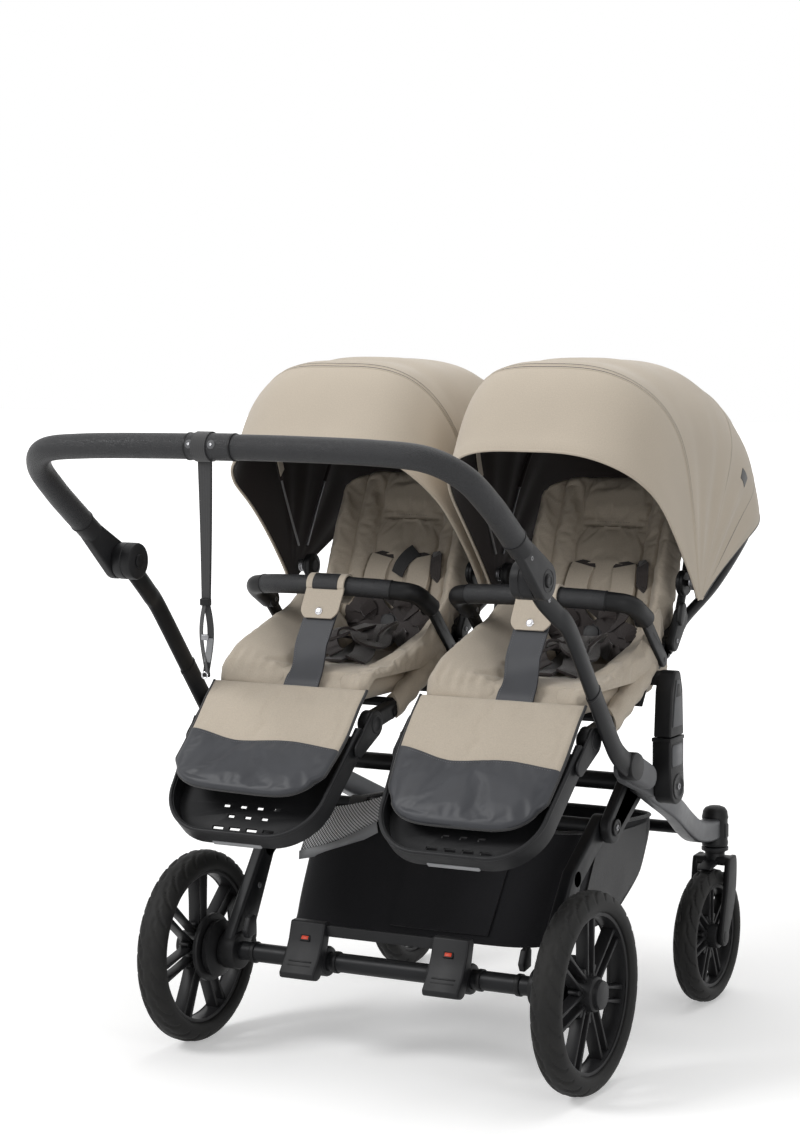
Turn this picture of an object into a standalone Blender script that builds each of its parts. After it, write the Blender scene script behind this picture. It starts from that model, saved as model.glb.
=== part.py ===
"""Side by side double stroller with seats that face the handle.

Metres, Z up, +Y is the way it travels and X runs along the axles. Places are measured from
the point on the ground below the rear axle, and the last step moves the whole stroller so
that its origin is the bottom centre of its bounding box.
"""
import math

import bmesh
import bpy
from mathutils import Matrix, Vector

# Clearances
GAP = 0.0003
SIDES = 14
HALF_TURN = math.pi

# Seat width, from which the width of the whole stroller follows
SEAT_PAD_HALF = 0.122
PAD_CLEARANCE = 0.006
SIDE_TUBE_R = 0.009
SIDE_TUBE_X = SEAT_PAD_HALF + PAD_CLEARANCE + SIDE_TUBE_R
MOUNT_OFFSET = 0.0329
MOUNT_HALF = 0.0145
MOUNT_SPACING = 0.0156
MOUNT_DX = SIDE_TUBE_X + MOUNT_OFFSET
SEAT_X = MOUNT_DX + MOUNT_SPACING
PLATE_INSET = 0.0724
PLATE_X = SEAT_X + MOUNT_DX - PLATE_INSET

# Rear wheels
REAR_WHEEL_R = 0.1525
REAR_TYRE_H = 0.0315
REAR_RIM_R = REAR_WHEEL_R - REAR_TYRE_H
REAR_TYRE_WIDTH = 0.048
REAR_WHEEL_X = PLATE_X + 0.056
REAR_HUB_R = 0.026
REAR_HUB_OUT = 0.029
REAR_PIN_OUT = 0.015
AXLE_R = 0.015
AXLE_HALF = PLATE_X - 0.013
DRUM_R = 0.024
DRUM_FLANGE_R = 0.045
DRUM_FLANGE_T = 0.006
DRUM_LENGTH = 0.030
REAR_PIN_R = 0.006
SPOKE_PAIRS = 7
SPOKE_WIDTH = 0.0055
SPOKE_DEPTH = 0.017

# Front wheels and casters
FRONT_WHEEL_R = 0.1115
FRONT_TYRE_H = 0.0255
FRONT_RIM_R = FRONT_WHEEL_R - FRONT_TYRE_H
FRONT_TYRE_WIDTH = 0.040
FRONT_WHEEL_X = PLATE_X + 0.002
FRONT_HUB_R = 0.020
WHEELBASE = 0.600
CASTER_TRAIL = 0.032
FORK_ARM_T = 0.010
FORK_ARM_R = 0.015
FORK_CLEARANCE = 0.004
FRONT_PIN_R = 0.005
STEM_R = 0.009
STEM_LENGTH = 0.052
HOUSING_R = 0.022
HOUSING_BOTTOM = 0.257
HOUSING_TOP = 0.326
LOCK_RING_R = 0.0225
LOCK_RING_T = 0.006
LOCK_TAB = 0.016

# Chassis side plates, legs and crossbars
HINGE_Y = 0.275
HINGE_Z = 0.421
CROSSBAR_Y = 0.195
CROSSBAR_Z = 0.364
CROSSBAR_R = 0.011
PLATE_T = 0.017
PLATE_HINGE_R = 0.034
PLATE_CROSSBAR_R = 0.025
FRONT_LEG_T = 0.0197
KNUCKLE_T = 0.0182
HINGE_PIN_R = 0.010
BRIDGE_TUBE_R = 0.014
FRONT_BAR_R = 0.010
FRONT_BAR_Y = 0.520
FRONT_BAR_Z = 0.306
REAR_LEG_T = 0.022
REAR_LEG_R = 0.019

# Seat mounts
MOUNT_Z = 0.500
MOUNT_HALF_Y = 0.027
SOCKET_HALF_X = 0.0075
SOCKET_HALF_Y = 0.012
SOCKET_DEPTH = 0.030

# Handle
PIVOT_Y = -0.183
PIVOT_Z = 0.783
LEG_X = PLATE_X + 0.069
LEG_HALF_X = 0.0090
LEG_JOG = 0.0105
LEG_DEPTH_R = 0.018
HEAD_R = 0.028
HEAD_INNER_X = LEG_X - 0.034
JOINT_X = LEG_X - 0.0005
JOINT_T = 0.016
HANDLE_R = 0.018
HANDLE_ARM_X = LEG_X + 0.006
HANDLE_BAR_Y = -0.443
HANDLE_BAR_Z = 0.975
BUTTON_R = 0.010
BUTTON_DEPTH = 0.006
BUTTON_PROUD = 0.003
STRAP_X = -0.030
STRAP_WIDTH = 0.016
STRAP_T = 0.0018
STRAP_LENGTH = 0.303

# Brake
PEDAL_X = 0.125
PEDAL_HALF = 0.031
PEDAL_SLEEVE_R = 0.024
PEDAL_TOP = (-0.012, 0.207)
PEDAL_TIP = (-0.048, 0.138)
BRAKE_BAR_Z = 0.2035

# Seats
FOOT_Y = 0.035
FOOT_Z = 0.524
FRONT_BLOCK_Y = 0.115
FRONT_BLOCK_Z = 0.537
CLAMP_Y = 0.291
CLAMP_Z = 0.615
RECLINE_Y = 0.378
RECLINE_Z = 0.650
LOOP_X = SIDE_TUBE_X + 0.013
LOOP_Y = 0.680
LOOP_Z = 0.802
SEAT_PAD_FRONT = 0.060
SEAT_PAD_REAR = 0.343
SEAT_PAD_TOP = 0.590
SEAT_PAD_T = 0.035
CRADLE_R = 0.006
FRONT_BLOCK_BAR_R = 0.0075
BACK_ANGLE = math.radians(67)
CREASE_Y = 0.345
CREASE_Z = 0.575
BACK_PAD_HALF = SEAT_PAD_HALF - 0.007
BACK_PAD_T = 0.028
BACK_PAD_START = 0.025
BACK_PAD_END = 0.305
BACK_TUBE_R = 0.006
BACK_TUBE_X = SIDE_TUBE_X - 0.0157

# Canopies
CANOPY_Y = 0.366
CANOPY_Z = 0.728
FRONT_EAR_X = SIDE_TUBE_X + 0.0285
CANOPY_HALF = FRONT_EAR_X + 0.0125
CANOPY_OUTER_HALF = CANOPY_HALF + 0.010
CANOPY_T = 0.002
CANOPY_RADII = ((139, 0.350), (117, 0.384), (103, 0.358), (88, 0.348), (70, 0.353),
                (50, 0.366), (34, 0.374), (17.5, 0.370))
ARCH_POWER_X = 3.2
ARCH_POWER_R = 3.9
FRONT_BOW_ANGLE = 117
MID_BOW_ANGLE = 62
BOW_R = 0.0019
BOW_SEAT = 0.0005
ARCH_STEPS = 16
EAR_R = 0.011
EAR_T = 0.004

# Bumper bars and crotch straps
BUMPER_R = 0.0155
BUMPER_X = SIDE_TUBE_X + 0.0145
BUMPER_BAR_Y = 0.144
BUMPER_BAR_Z = 0.722
LUG_T = 0.008
CROTCH_WIDTH = 0.050
CROTCH_T = 0.004
CROTCH_FOOT_Y = 0.092

# Harness
BUCKLE_R = 0.022
BUCKLE_T = 0.016
BUCKLE_ALONG = 0.066
HARNESS_T = 0.004
HARNESS_BUTTON_R = 0.012
PIN_SIDES = 10

# Footrests
FOOT_ANGLE = math.radians(228)
TRAY_HALF = SIDE_TUBE_X + 0.014
TRAY_END_HALF = TRAY_HALF - 0.012
TRAY_LENGTH = 0.236
TRAY_CORNER = 0.085
TRAY_WALL = 0.006
TRAY_FLOOR = 0.004
TRAY_RIM = 0.030
FOOT_DISC_R = 0.021
FOOT_EAR_T = 0.005
MAT_HALF = SEAT_PAD_HALF
MAT_START = 0.004
MAT_END = 0.190
MAT_T = 0.012

# Basket
BASKET_HALF = PLATE_X - 0.038
BASKET_WALL = 0.003
BASKET_BOTTOM = 0.185

for old in list(bpy.data.objects):
    bpy.data.objects.remove(old, do_unlink=True)

parts = bpy.data.collections.new("double_stroller")
bpy.context.scene.collection.children.link(parts)


# Materials
def material(name, colour, roughness, metallic=0.0):
    made = bpy.data.materials.new(name)
    made.use_nodes = True
    shader = made.node_tree.nodes["Principled BSDF"]
    shader.inputs["Base Color"].default_value = (*colour, 1.0)
    shader.inputs["Roughness"].default_value = roughness
    shader.inputs["Metallic"].default_value = metallic
    made.diffuse_color = (*colour, 1.0)
    return made


FRAME_PAINT = ((0.030, 0.031, 0.034), 0.45, 0.3)
BLACK_PLASTIC = ((0.018, 0.018, 0.019), 0.5, 0.0)
GREY_PLASTIC = ((0.055, 0.056, 0.060), 0.55, 0.0)
RUBBER = ((0.022, 0.022, 0.022), 0.8, 0.0)
LEATHER = ((0.035, 0.036, 0.040), 0.5, 0.0)
BEIGE_FABRIC = ((0.520, 0.455, 0.375), 0.9, 0.0)
BLACK_FABRIC = ((0.014, 0.014, 0.016), 0.95, 0.0)
BROWN_WEBBING = ((0.060, 0.042, 0.038), 0.9, 0.0)
STEEL = ((0.450, 0.450, 0.460), 0.35, 1.0)


# Pivots and parts
def pivot(name, place, parent=None, turn_z=0.0):
    empty = bpy.data.objects.new(name, None)
    empty.empty_display_size = 0.03
    parts.objects.link(empty)
    empty.rotation_euler = (0.0, 0.0, turn_z)
    empty.location = place
    if parent is not None:
        bpy.context.view_layer.update()
        empty.parent = parent
        empty.matrix_parent_inverse = parent.matrix_world.inverted()
    bpy.context.view_layer.update()
    return empty


def part(name, obj, look, carrier):
    """Names a finished shape, gives it its material and hangs it on the pivot that carries it."""
    obj.name = name
    obj.data.name = name
    obj.data.materials.clear()
    obj.data.materials.append(material(name, *look))
    obj.data.shade_smooth()
    obj.data.set_sharp_from_angle(angle=math.radians(35))
    obj.parent = carrier
    obj.matrix_parent_inverse = carrier.matrix_world.inverted()
    return obj


# Basic shapes
def from_bmesh(bm):
    mesh = bpy.data.meshes.new("shape")
    bm.normal_update()
    bm.to_mesh(mesh)
    bm.free()
    obj = bpy.data.objects.new("shape", mesh)
    parts.objects.link(obj)
    return obj


def bake(obj, weld=True):
    """Replaces an object by the mesh that its modifiers or its curve give, with welded caps."""
    bpy.context.view_layer.update()
    evaluated = obj.evaluated_get(bpy.context.evaluated_depsgraph_get())
    mesh = bpy.data.meshes.new_from_object(evaluated)
    mesh.transform(obj.matrix_world)
    bm = bmesh.new()
    bm.from_mesh(mesh)
    if weld:
        bmesh.ops.remove_doubles(bm, verts=bm.verts, dist=1e-6)
    bmesh.ops.recalc_face_normals(bm, faces=bm.faces)
    bpy.data.objects.remove(obj, do_unlink=True)
    bpy.data.meshes.remove(mesh)
    return from_bmesh(bm)


def box(low, high):
    low = Vector(low)
    high = Vector(high)
    bm = bmesh.new()
    bmesh.ops.create_cube(bm, size=1.0)
    size = high - low
    bmesh.ops.scale(bm, vec=size, verts=bm.verts)
    bmesh.ops.translate(bm, vec=(low + high) / 2, verts=bm.verts)
    return from_bmesh(bm)


def rod(start, end, radius, sides=SIDES):
    """A solid cylinder between two points."""
    start = Vector(start)
    end = Vector(end)
    axis = end - start
    bm = bmesh.new()
    bmesh.ops.create_cone(bm, cap_ends=True, segments=sides, radius1=radius, radius2=radius,
                          depth=axis.length)
    turn = axis.to_track_quat("Z", "Y").to_matrix().to_4x4()
    bm.transform(Matrix.Translation((start + end) / 2) @ turn)
    return from_bmesh(bm)


def disc(x0, x1, y, z, radius, sides=SIDES):
    return rod((x0, y, z), (x1, y, z), radius, sides)


def turned(profile, centre, closed, steps=26):
    """A profile of (radius, x) points turned about the line along X through centre."""
    mesh = bpy.data.meshes.new("profile")
    points = [(radius, 0.0, -x) for radius, x in profile]
    edges = [(i, i + 1) for i in range(len(points) - 1)]
    if closed:
        edges.append((len(points) - 1, 0))
    mesh.from_pydata(points, edges, [])
    obj = bpy.data.objects.new("profile", mesh)
    parts.objects.link(obj)
    screw = obj.modifiers.new("turn", "SCREW")
    screw.steps = steps
    screw.render_steps = steps
    screw.use_merge_vertices = True
    screw.merge_threshold = 0.0001
    obj.matrix_world = Matrix.Translation(centre) @ Matrix.Rotation(-HALF_TURN / 2, 4, "Y")
    return bake(obj)


def smooth_points(points, steps=5):
    """A Catmull-Rom curve through the points, which keeps both ends."""
    points = [Vector(p) for p in points]
    padded = [2 * points[0] - points[1]] + points + [2 * points[-1] - points[-2]]
    path = []
    for i in range(1, len(padded) - 2):
        a, b, c, d = padded[i - 1:i + 3]
        for k in range(steps):
            t = k / steps
            path.append(0.5 * (2 * b + (c - a) * t + (2 * a - 5 * b + 4 * c - d) * t ** 2
                               + (3 * b - a - 3 * c + d) * t ** 3))
    path.append(points[-1])
    return path


def tube(points, radius, resolution=2):
    curve = bpy.data.curves.new("tube", "CURVE")
    curve.dimensions = "3D"
    curve.bevel_depth = radius
    curve.bevel_resolution = resolution
    curve.use_fill_caps = True
    spline = curve.splines.new("POLY")
    spline.points.add(len(points) - 1)
    for point, place in zip(spline.points, points):
        point.co = (*place, 1.0)
    obj = bpy.data.objects.new("tube", curve)
    parts.objects.link(obj)
    return bake(obj)


def plate(outline, low, high, frame=None):
    """A flat outline of (u, v) points, extruded from low to high along its normal.

    Without a frame, u is Y, v is Z and the normal is X."""
    curve = bpy.data.curves.new("outline", "CURVE")
    curve.dimensions = "2D"
    curve.fill_mode = "BOTH"
    curve.extrude = (high - low) / 2
    spline = curve.splines.new("POLY")
    spline.points.add(len(outline) - 1)
    for point, place in zip(spline.points, outline):
        point.co = (place[0], place[1], 0.0, 1.0)
    spline.use_cyclic_u = True
    obj = bpy.data.objects.new("outline", curve)
    parts.objects.link(obj)
    if frame is None:
        frame = Matrix(((0, 0, 1, 0), (1, 0, 0, 0), (0, 1, 0, 0), (0, 0, 0, 1)))
    obj.matrix_world = frame @ Matrix.Translation((0, 0, (low + high) / 2))
    return bake(obj)


def arc(centre, radius, start, end, steps=5):
    return [(centre[0] + radius * math.cos(start + (end - start) * k / steps),
             centre[1] + radius * math.sin(start + (end - start) * k / steps))
            for k in range(steps + 1)]


def link_outline(a, b, ra, rb, steps=5):
    """The outline of a belt round two circles."""
    span = Vector(b) - Vector(a)
    along = math.atan2(span.y, span.x)
    lean = math.acos((ra - rb) / span.length)
    return (arc(a, ra, along + lean, along + 2 * HALF_TURN - lean, steps)
            + arc(b, rb, along - lean, along + lean, steps))


def link(a, b, ra, rb, x0, x1):
    return plate(link_outline(a, b, ra, rb), min(x0, x1), max(x0, x1))


def bent_link(a, knee, b, ra, rk, rb, x0, x1):
    """A belt from circle a over a bend of half width rk to circle b."""
    first = Vector(knee) - Vector(a)
    second = Vector(b) - Vector(knee)
    angle_a = math.atan2(first.y, first.x)
    angle_b = math.atan2(second.y, second.x)
    middle = (angle_a + angle_b) / 2 + HALF_TURN / 2
    offset = Vector((math.cos(middle), math.sin(middle))) * rk
    outline = arc(a, ra, angle_a + HALF_TURN / 2, angle_a + 1.5 * HALF_TURN)
    outline.append(tuple(Vector(knee) - offset))
    outline += arc(b, rb, angle_b - HALF_TURN / 2, angle_b + HALF_TURN / 2)
    outline.append(tuple(Vector(knee) + offset))
    return plate(outline, min(x0, x1), max(x0, x1))


def combine(obj, others, operation, solver):
    for other in others:
        cut = obj.modifiers.new("join", "BOOLEAN")
        cut.operation = operation
        cut.solver = solver
        cut.object = other
    result = bake(obj, weld=False)
    for other in others:
        bpy.data.objects.remove(other, do_unlink=True)
    return result


def fuse(first, *others, solver="EXACT"):
    return combine(first, others, "UNION", solver)


def carve(obj, *cutters, solver="EXACT"):
    for cutter in cutters:
        cutter.hide_render = True
        cutter.display_type = "WIRE"
    return combine(obj, cutters, "DIFFERENCE", solver)


def bore(radius, sides=SIDES):
    """Radius of a faceted hole in which a faceted pin of this radius can turn freely."""
    return (radius + GAP) / math.cos(HALF_TURN / sides)


def side_name(side):
    return "right" if side > 0 else "left"


# Wheels
def tyre(wheel_r, rim_r, width, centre):
    half = width / 2
    height = wheel_r - rim_r
    profile = [(rim_r + GAP, -0.66 * half), (rim_r + 0.50 * height, -half),
               (wheel_r - 0.12 * height, -0.62 * half), (wheel_r, 0.0),
               (wheel_r - 0.12 * height, 0.62 * half), (rim_r + 0.50 * height, half),
               (rim_r + GAP, 0.66 * half)]
    return turned(profile, centre, closed=True)


def rim(rim_r, width, hub_r, hub, centre):
    """Rim ring and hub joined by pairs of spokes that open outwards."""
    half = 0.62 * width / 2
    ring_t = 0.007
    ring = turned([(rim_r - ring_t, -half), (rim_r, -half), (rim_r, half), (rim_r - ring_t, half)],
                  centre, closed=True)
    spokes = []
    for k in range(2 * SPOKE_PAIRS):
        pair = 2 * HALF_TURN * (k // 2) / SPOKE_PAIRS
        lean = (1 if k % 2 else -1)
        foot = Vector((math.cos(pair + 0.10 * lean), math.sin(pair + 0.10 * lean)))
        head = Vector((math.cos(pair + 0.24 * lean), math.sin(pair + 0.24 * lean)))
        start = foot * (hub_r - 0.003)
        end = head * (rim_r - ring_t / 2)
        along = (end - start).normalized()
        across = Vector((-along.y, along.x)) * SPOKE_WIDTH / 2
        corners = [start - across, end - across, end + across, start + across]
        outline = [(c.x + centre[1], c.y + centre[2]) for c in corners]
        spokes.append(plate(outline, centre[0] - SPOKE_DEPTH / 2, centre[0] + SPOKE_DEPTH / 2))
    return fuse(hub, ring, *spokes)


def rear_wheel(side, carrier):
    name = side_name(side)
    centre = Vector((side * REAR_WHEEL_X, 0.0, REAR_WHEEL_R))
    spin = pivot(f"rear_wheel_{name}_axis", centre, carrier)
    inner = AXLE_HALF + DRUM_LENGTH + DRUM_FLANGE_T + GAP - REAR_WHEEL_X
    cap = REAR_HUB_OUT - 0.004
    hole = bore(REAR_PIN_R)
    bore_end = REAR_PIN_OUT + GAP
    profile = [(0.0, REAR_HUB_OUT), (0.8 * REAR_HUB_R, REAR_HUB_OUT), (REAR_HUB_R, cap),
               (REAR_HUB_R, inner), (hole, inner), (hole, bore_end), (0.0, bore_end)]
    profile = [(radius, side * x) for radius, x in profile]
    hub = turned(profile[::-side], centre, closed=False, steps=SIDES)
    part(f"rear_tyre_{name}", tyre(REAR_WHEEL_R, REAR_RIM_R, REAR_TYRE_WIDTH, centre), RUBBER, spin)
    part(f"rear_rim_{name}", rim(REAR_RIM_R, REAR_TYRE_WIDTH, REAR_HUB_R, hub, centre),
         BLACK_PLASTIC, spin)


def rear_axle(carrier):
    pieces = [disc(-AXLE_HALF, AXLE_HALF, 0.0, REAR_WHEEL_R, AXLE_R)]
    for side in (-1, 1):
        drum = side * (AXLE_HALF + DRUM_LENGTH)
        flange = drum + side * DRUM_FLANGE_T
        pieces.append(disc(side * (AXLE_HALF - 0.004), drum, 0.0, REAR_WHEEL_R, DRUM_R))
        pieces.append(disc(drum - side * 0.001, flange, 0.0, REAR_WHEEL_R, DRUM_FLANGE_R))
        pieces.append(disc(drum, side * (REAR_WHEEL_X + REAR_PIN_OUT), 0.0, REAR_WHEEL_R, REAR_PIN_R))
    part("rear_axle", fuse(*pieces), FRAME_PAINT, carrier)


def front_caster(side, carrier):
    name = side_name(side)
    x = side * FRONT_WHEEL_X
    stem_y = WHEELBASE + CASTER_TRAIL
    lock_low = HOUSING_BOTTOM - GAP - LOCK_RING_T
    swivel = pivot(f"caster_{name}_axis", (x, stem_y, HOUSING_BOTTOM), carrier)
    spin = pivot(f"front_wheel_{name}_axis", (x, WHEELBASE, FRONT_WHEEL_R), swivel)
    lock = pivot(f"swivel_lock_{name}_axis", (x, stem_y, lock_low), carrier)

    arm_in = FRONT_TYRE_WIDTH / 2 + FORK_CLEARANCE
    arm_out = arm_in + FORK_ARM_T
    crown_low = FRONT_WHEEL_R * 2 + FORK_CLEARANCE
    crown_top = lock_low - GAP
    crown_y = stem_y - 0.004
    stem_low = crown_low + 0.004
    pieces = [rod((x, stem_y, stem_low), (x, stem_y, crown_top), 0.018),
              rod((x, stem_y, stem_low + 0.004), (x, stem_y, HOUSING_BOTTOM + STEM_LENGTH - 0.010),
                  STEM_R),
              box((x - arm_out + 0.001, crown_y - 0.014, crown_low),
                  (x + arm_out - 0.001, crown_y + 0.014, crown_low + 0.014))]
    for arm in (-1, 1):
        pieces.append(link((crown_y, crown_low + 0.002), (WHEELBASE, FRONT_WHEEL_R),
                           FORK_ARM_R, FORK_ARM_R - 0.002, x + arm * arm_in, x + arm * arm_out))
    pieces.append(disc(x - arm_in - 0.002, x + arm_in + 0.002, WHEELBASE, FRONT_WHEEL_R,
                       FRONT_PIN_R))
    part(f"fork_{name}", fuse(*pieces), BLACK_PLASTIC, swivel)

    ring = fuse(rod((x, stem_y, lock_low), (x, stem_y, lock_low + LOCK_RING_T), LOCK_RING_R),
                box((x - 0.007, stem_y, lock_low), (x + 0.007, stem_y + LOCK_RING_R + LOCK_TAB,
                                                    lock_low + 0.003)))
    hole = rod((x, stem_y, lock_low - 0.01), (x, stem_y, lock_low + 0.02), bore(STEM_R))
    part(f"swivel_lock_{name}", carve(ring, hole), GREY_PLASTIC, lock)

    centre = Vector((x, WHEELBASE, FRONT_WHEEL_R))
    part(f"front_tyre_{name}", tyre(FRONT_WHEEL_R, FRONT_RIM_R, FRONT_TYRE_WIDTH, centre),
         RUBBER, spin)
    reach = arm_in - GAP
    hole = bore(FRONT_PIN_R)
    hub = turned([(hole, -reach), (FRONT_HUB_R, -reach), (FRONT_HUB_R, reach), (hole, reach)],
                 centre, closed=True, steps=SIDES)
    part(f"front_rim_{name}", rim(FRONT_RIM_R, FRONT_TYRE_WIDTH, FRONT_HUB_R, hub, centre),
         BLACK_PLASTIC, spin)


# Chassis
def side_plate(side, carrier):
    x0 = side * PLATE_X
    x1 = side * (PLATE_X + PLATE_T)
    pin_end = side * (PLATE_X + PLATE_T + FRONT_LEG_T + KNUCKLE_T + 2 * GAP)
    body = link((HINGE_Y, HINGE_Z), (CROSSBAR_Y, CROSSBAR_Z), PLATE_HINGE_R, PLATE_CROSSBAR_R, x0, x1)
    pin = disc(x0 + side * 0.004, pin_end, HINGE_Y, HINGE_Z, HINGE_PIN_R)
    part(f"side_plate_{side_name(side)}", fuse(body, pin), FRAME_PAINT, carrier)


def front_leg_rows():
    """Centre, half width and half depth of the front leg from its hinge to the caster housing."""
    top_x = PLATE_X + PLATE_T + GAP + FRONT_LEG_T / 2
    return [(top_x, HINGE_Y - 0.012, HINGE_Z + 0.004, FRONT_LEG_T / 2, 0.019),
            (top_x, HINGE_Y + 0.030, HINGE_Z - 0.016, FRONT_LEG_T / 2, 0.019),
            (top_x - 0.004, 0.400, 0.362, 0.012, 0.018),
            (FRONT_WHEEL_X + 0.004, 0.500, 0.315, 0.014, 0.018),
            (FRONT_WHEEL_X, 0.552, 0.293, 0.015, 0.018),
            (FRONT_WHEEL_X, WHEELBASE + CASTER_TRAIL, 0.290, 0.015, 0.018)]


def front_leg_inner_x(y):
    """Distance from the middle plane to the inner face of the front leg at one Y."""
    rows = front_leg_rows()
    for first, second in zip(rows, rows[1:]):
        if first[1] <= y <= second[1]:
            t = (y - first[1]) / (second[1] - first[1])
            return (first[0] - first[3]) * (1 - t) + (second[0] - second[3]) * t
    return rows[-1][0] - rows[-1][3]


def front_leg(side, carrier):
    """A bent beam that runs from the hinge, forwards and inwards, to the caster housing."""
    stem_y = WHEELBASE + CASTER_TRAIL
    rows = front_leg_rows()
    bm = bmesh.new()
    rings = []
    for i, (x, y, z, half_x, half_z) in enumerate(rows):
        before = Vector(rows[max(i - 1, 0)][1:3])
        after = Vector(rows[min(i + 1, len(rows) - 1)][1:3])
        along = (after - before).normalized()
        up = Vector((-along.y, along.x)) * half_z
        ring = [bm.verts.new((side * (x + sx * half_x), y + sz * up.x, z + sz * up.y))
                for sx, sz in ((-1, -1), (1, -1), (1, 1), (-1, 1))]
        rings.append(ring)
    for first, second in zip(rings, rings[1:]):
        for k in range(4):
            bm.faces.new((first[k], first[(k + 1) % 4], second[(k + 1) % 4], second[k]))
    bm.faces.new(rings[0])
    bm.faces.new(rings[-1])
    bmesh.ops.recalc_face_normals(bm, faces=bm.faces)
    beam = from_bmesh(bm)
    x = side * FRONT_WHEEL_X
    housing = rod((x, stem_y, HOUSING_BOTTOM), (x, stem_y, HOUSING_TOP), HOUSING_R)
    stem_bore = rod((x, stem_y, HOUSING_BOTTOM - 0.01), (x, stem_y, HOUSING_BOTTOM + STEM_LENGTH),
                    bore(STEM_R))
    pin_bore = disc(side * (PLATE_X - 0.033), side * (PLATE_X + 0.067), HINGE_Y, HINGE_Z, bore(HINGE_PIN_R))
    part(f"front_leg_{side_name(side)}", carve(fuse(beam, housing), stem_bore, pin_bore),
         GREY_PLASTIC, carrier)


def socket(x):
    return box((x - SOCKET_HALF_X, HINGE_Y - SOCKET_HALF_Y - 0.005, MOUNT_Z - SOCKET_DEPTH),
               (x + SOCKET_HALF_X, HINGE_Y + SOCKET_HALF_Y - 0.005, MOUNT_Z + 0.01))


def mount_y():
    return HINGE_Y - 0.005


def adaptor(side, carrier):
    """Post on the end of the hinge pin, with a socket in its top for one side of a seat."""
    x0 = PLATE_X + PLATE_T + FRONT_LEG_T + KNUCKLE_T + 3 * GAP
    x1 = SEAT_X + MOUNT_DX + MOUNT_HALF
    low = min(side * x0, side * x1)
    high = max(side * x0, side * x1)
    foot = disc(low, high, HINGE_Y, HINGE_Z, 0.028)
    y = mount_y()
    post = plate([(y - 0.021, HINGE_Z), (y + 0.024, HINGE_Z), (y + MOUNT_HALF_Y, HINGE_Z + 0.045),
                  (y + MOUNT_HALF_Y, MOUNT_Z), (y - MOUNT_HALF_Y, MOUNT_Z),
                  (y - MOUNT_HALF_Y, HINGE_Z + 0.045)], low, high)
    body = fuse(foot, post)
    part(f"adaptor_{side_name(side)}", carve(body, socket(side * (SEAT_X + MOUNT_DX))),
         GREY_PLASTIC, carrier)


def centre_bridge(carrier):
    """Crossbar between the two side plates, with the middle tower that both seats share."""
    x = PLATE_X - GAP
    inner = SEAT_X - MOUNT_DX
    bar = disc(-x, x, HINGE_Y, HINGE_Z, BRIDGE_TUBE_R)
    y = mount_y()
    tower = box((-inner - MOUNT_HALF, y - MOUNT_HALF_Y, HINGE_Z - 0.020),
                (inner + MOUNT_HALF, y + MOUNT_HALF_Y, MOUNT_Z))
    part("centre_bridge", carve(fuse(bar, tower), socket(-inner), socket(inner)), BLACK_PLASTIC,
         carrier)


def crossbars(carrier):
    x = PLATE_X - GAP
    part("rear_crossbar", disc(-x, x, CROSSBAR_Y, CROSSBAR_Z, CROSSBAR_R), FRAME_PAINT, carrier)
    x = front_leg_inner_x(FRONT_BAR_Y + FRONT_BAR_R) - GAP
    part("front_crossbar", disc(-x, x, FRONT_BAR_Y, FRONT_BAR_Z, FRONT_BAR_R), FRAME_PAINT, carrier)


def basket(carrier):
    """Open topped cloth basket slung between the rear and the front crossbar."""
    top = CROSSBAR_Z - CROSSBAR_R - GAP
    front = FRONT_BAR_Y - FRONT_BAR_R - GAP
    wall = BASKET_WALL
    low = BASKET_BOTTOM
    outer = [(0.182, top), (0.112, 0.296), (0.066, low + 0.012), (0.078, low), (0.330, low),
             (front, 0.272), (front, 0.334), (CROSSBAR_Y, top)]
    inner = [(0.1865, top + 0.01), (0.1855, top - 0.001), (0.115, 0.2945), (0.0692, low + 0.0127),
             (0.0794, low + wall), (0.3295, low + wall), (front - wall, 0.2736), (front - wall, 0.36)]
    body = plate(outer, -BASKET_HALF, BASKET_HALF)
    hollow = plate(inner, -BASKET_HALF + wall, BASKET_HALF - wall)
    part("basket", carve(body, hollow), BLACK_FABRIC, carrier)


def rear_leg(side, carrier):
    x1 = side * (PLATE_X - GAP)
    x0 = side * (PLATE_X - GAP - REAR_LEG_T)
    leg = bent_link((CROSSBAR_Y, CROSSBAR_Z), (0.095, 0.300), (0.0, REAR_WHEEL_R), REAR_LEG_R,
                    REAR_LEG_R, DRUM_R + 0.006, x0, x1)
    hole_in = side * (PLATE_X - 0.083)
    hole_out = side * (PLATE_X + 0.017)
    eye = disc(hole_in, hole_out, CROSSBAR_Y, CROSSBAR_Z, bore(CROSSBAR_R))
    axle_hole = disc(hole_in, hole_out, 0.0, REAR_WHEEL_R, AXLE_R + GAP)
    drum_hole = disc(side * (AXLE_HALF - 0.004 - GAP), hole_out, 0.0, REAR_WHEEL_R, DRUM_R + GAP)
    part(f"rear_leg_{side_name(side)}", carve(leg, eye, axle_hole, drum_hole),
         FRAME_PAINT, carrier)


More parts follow.
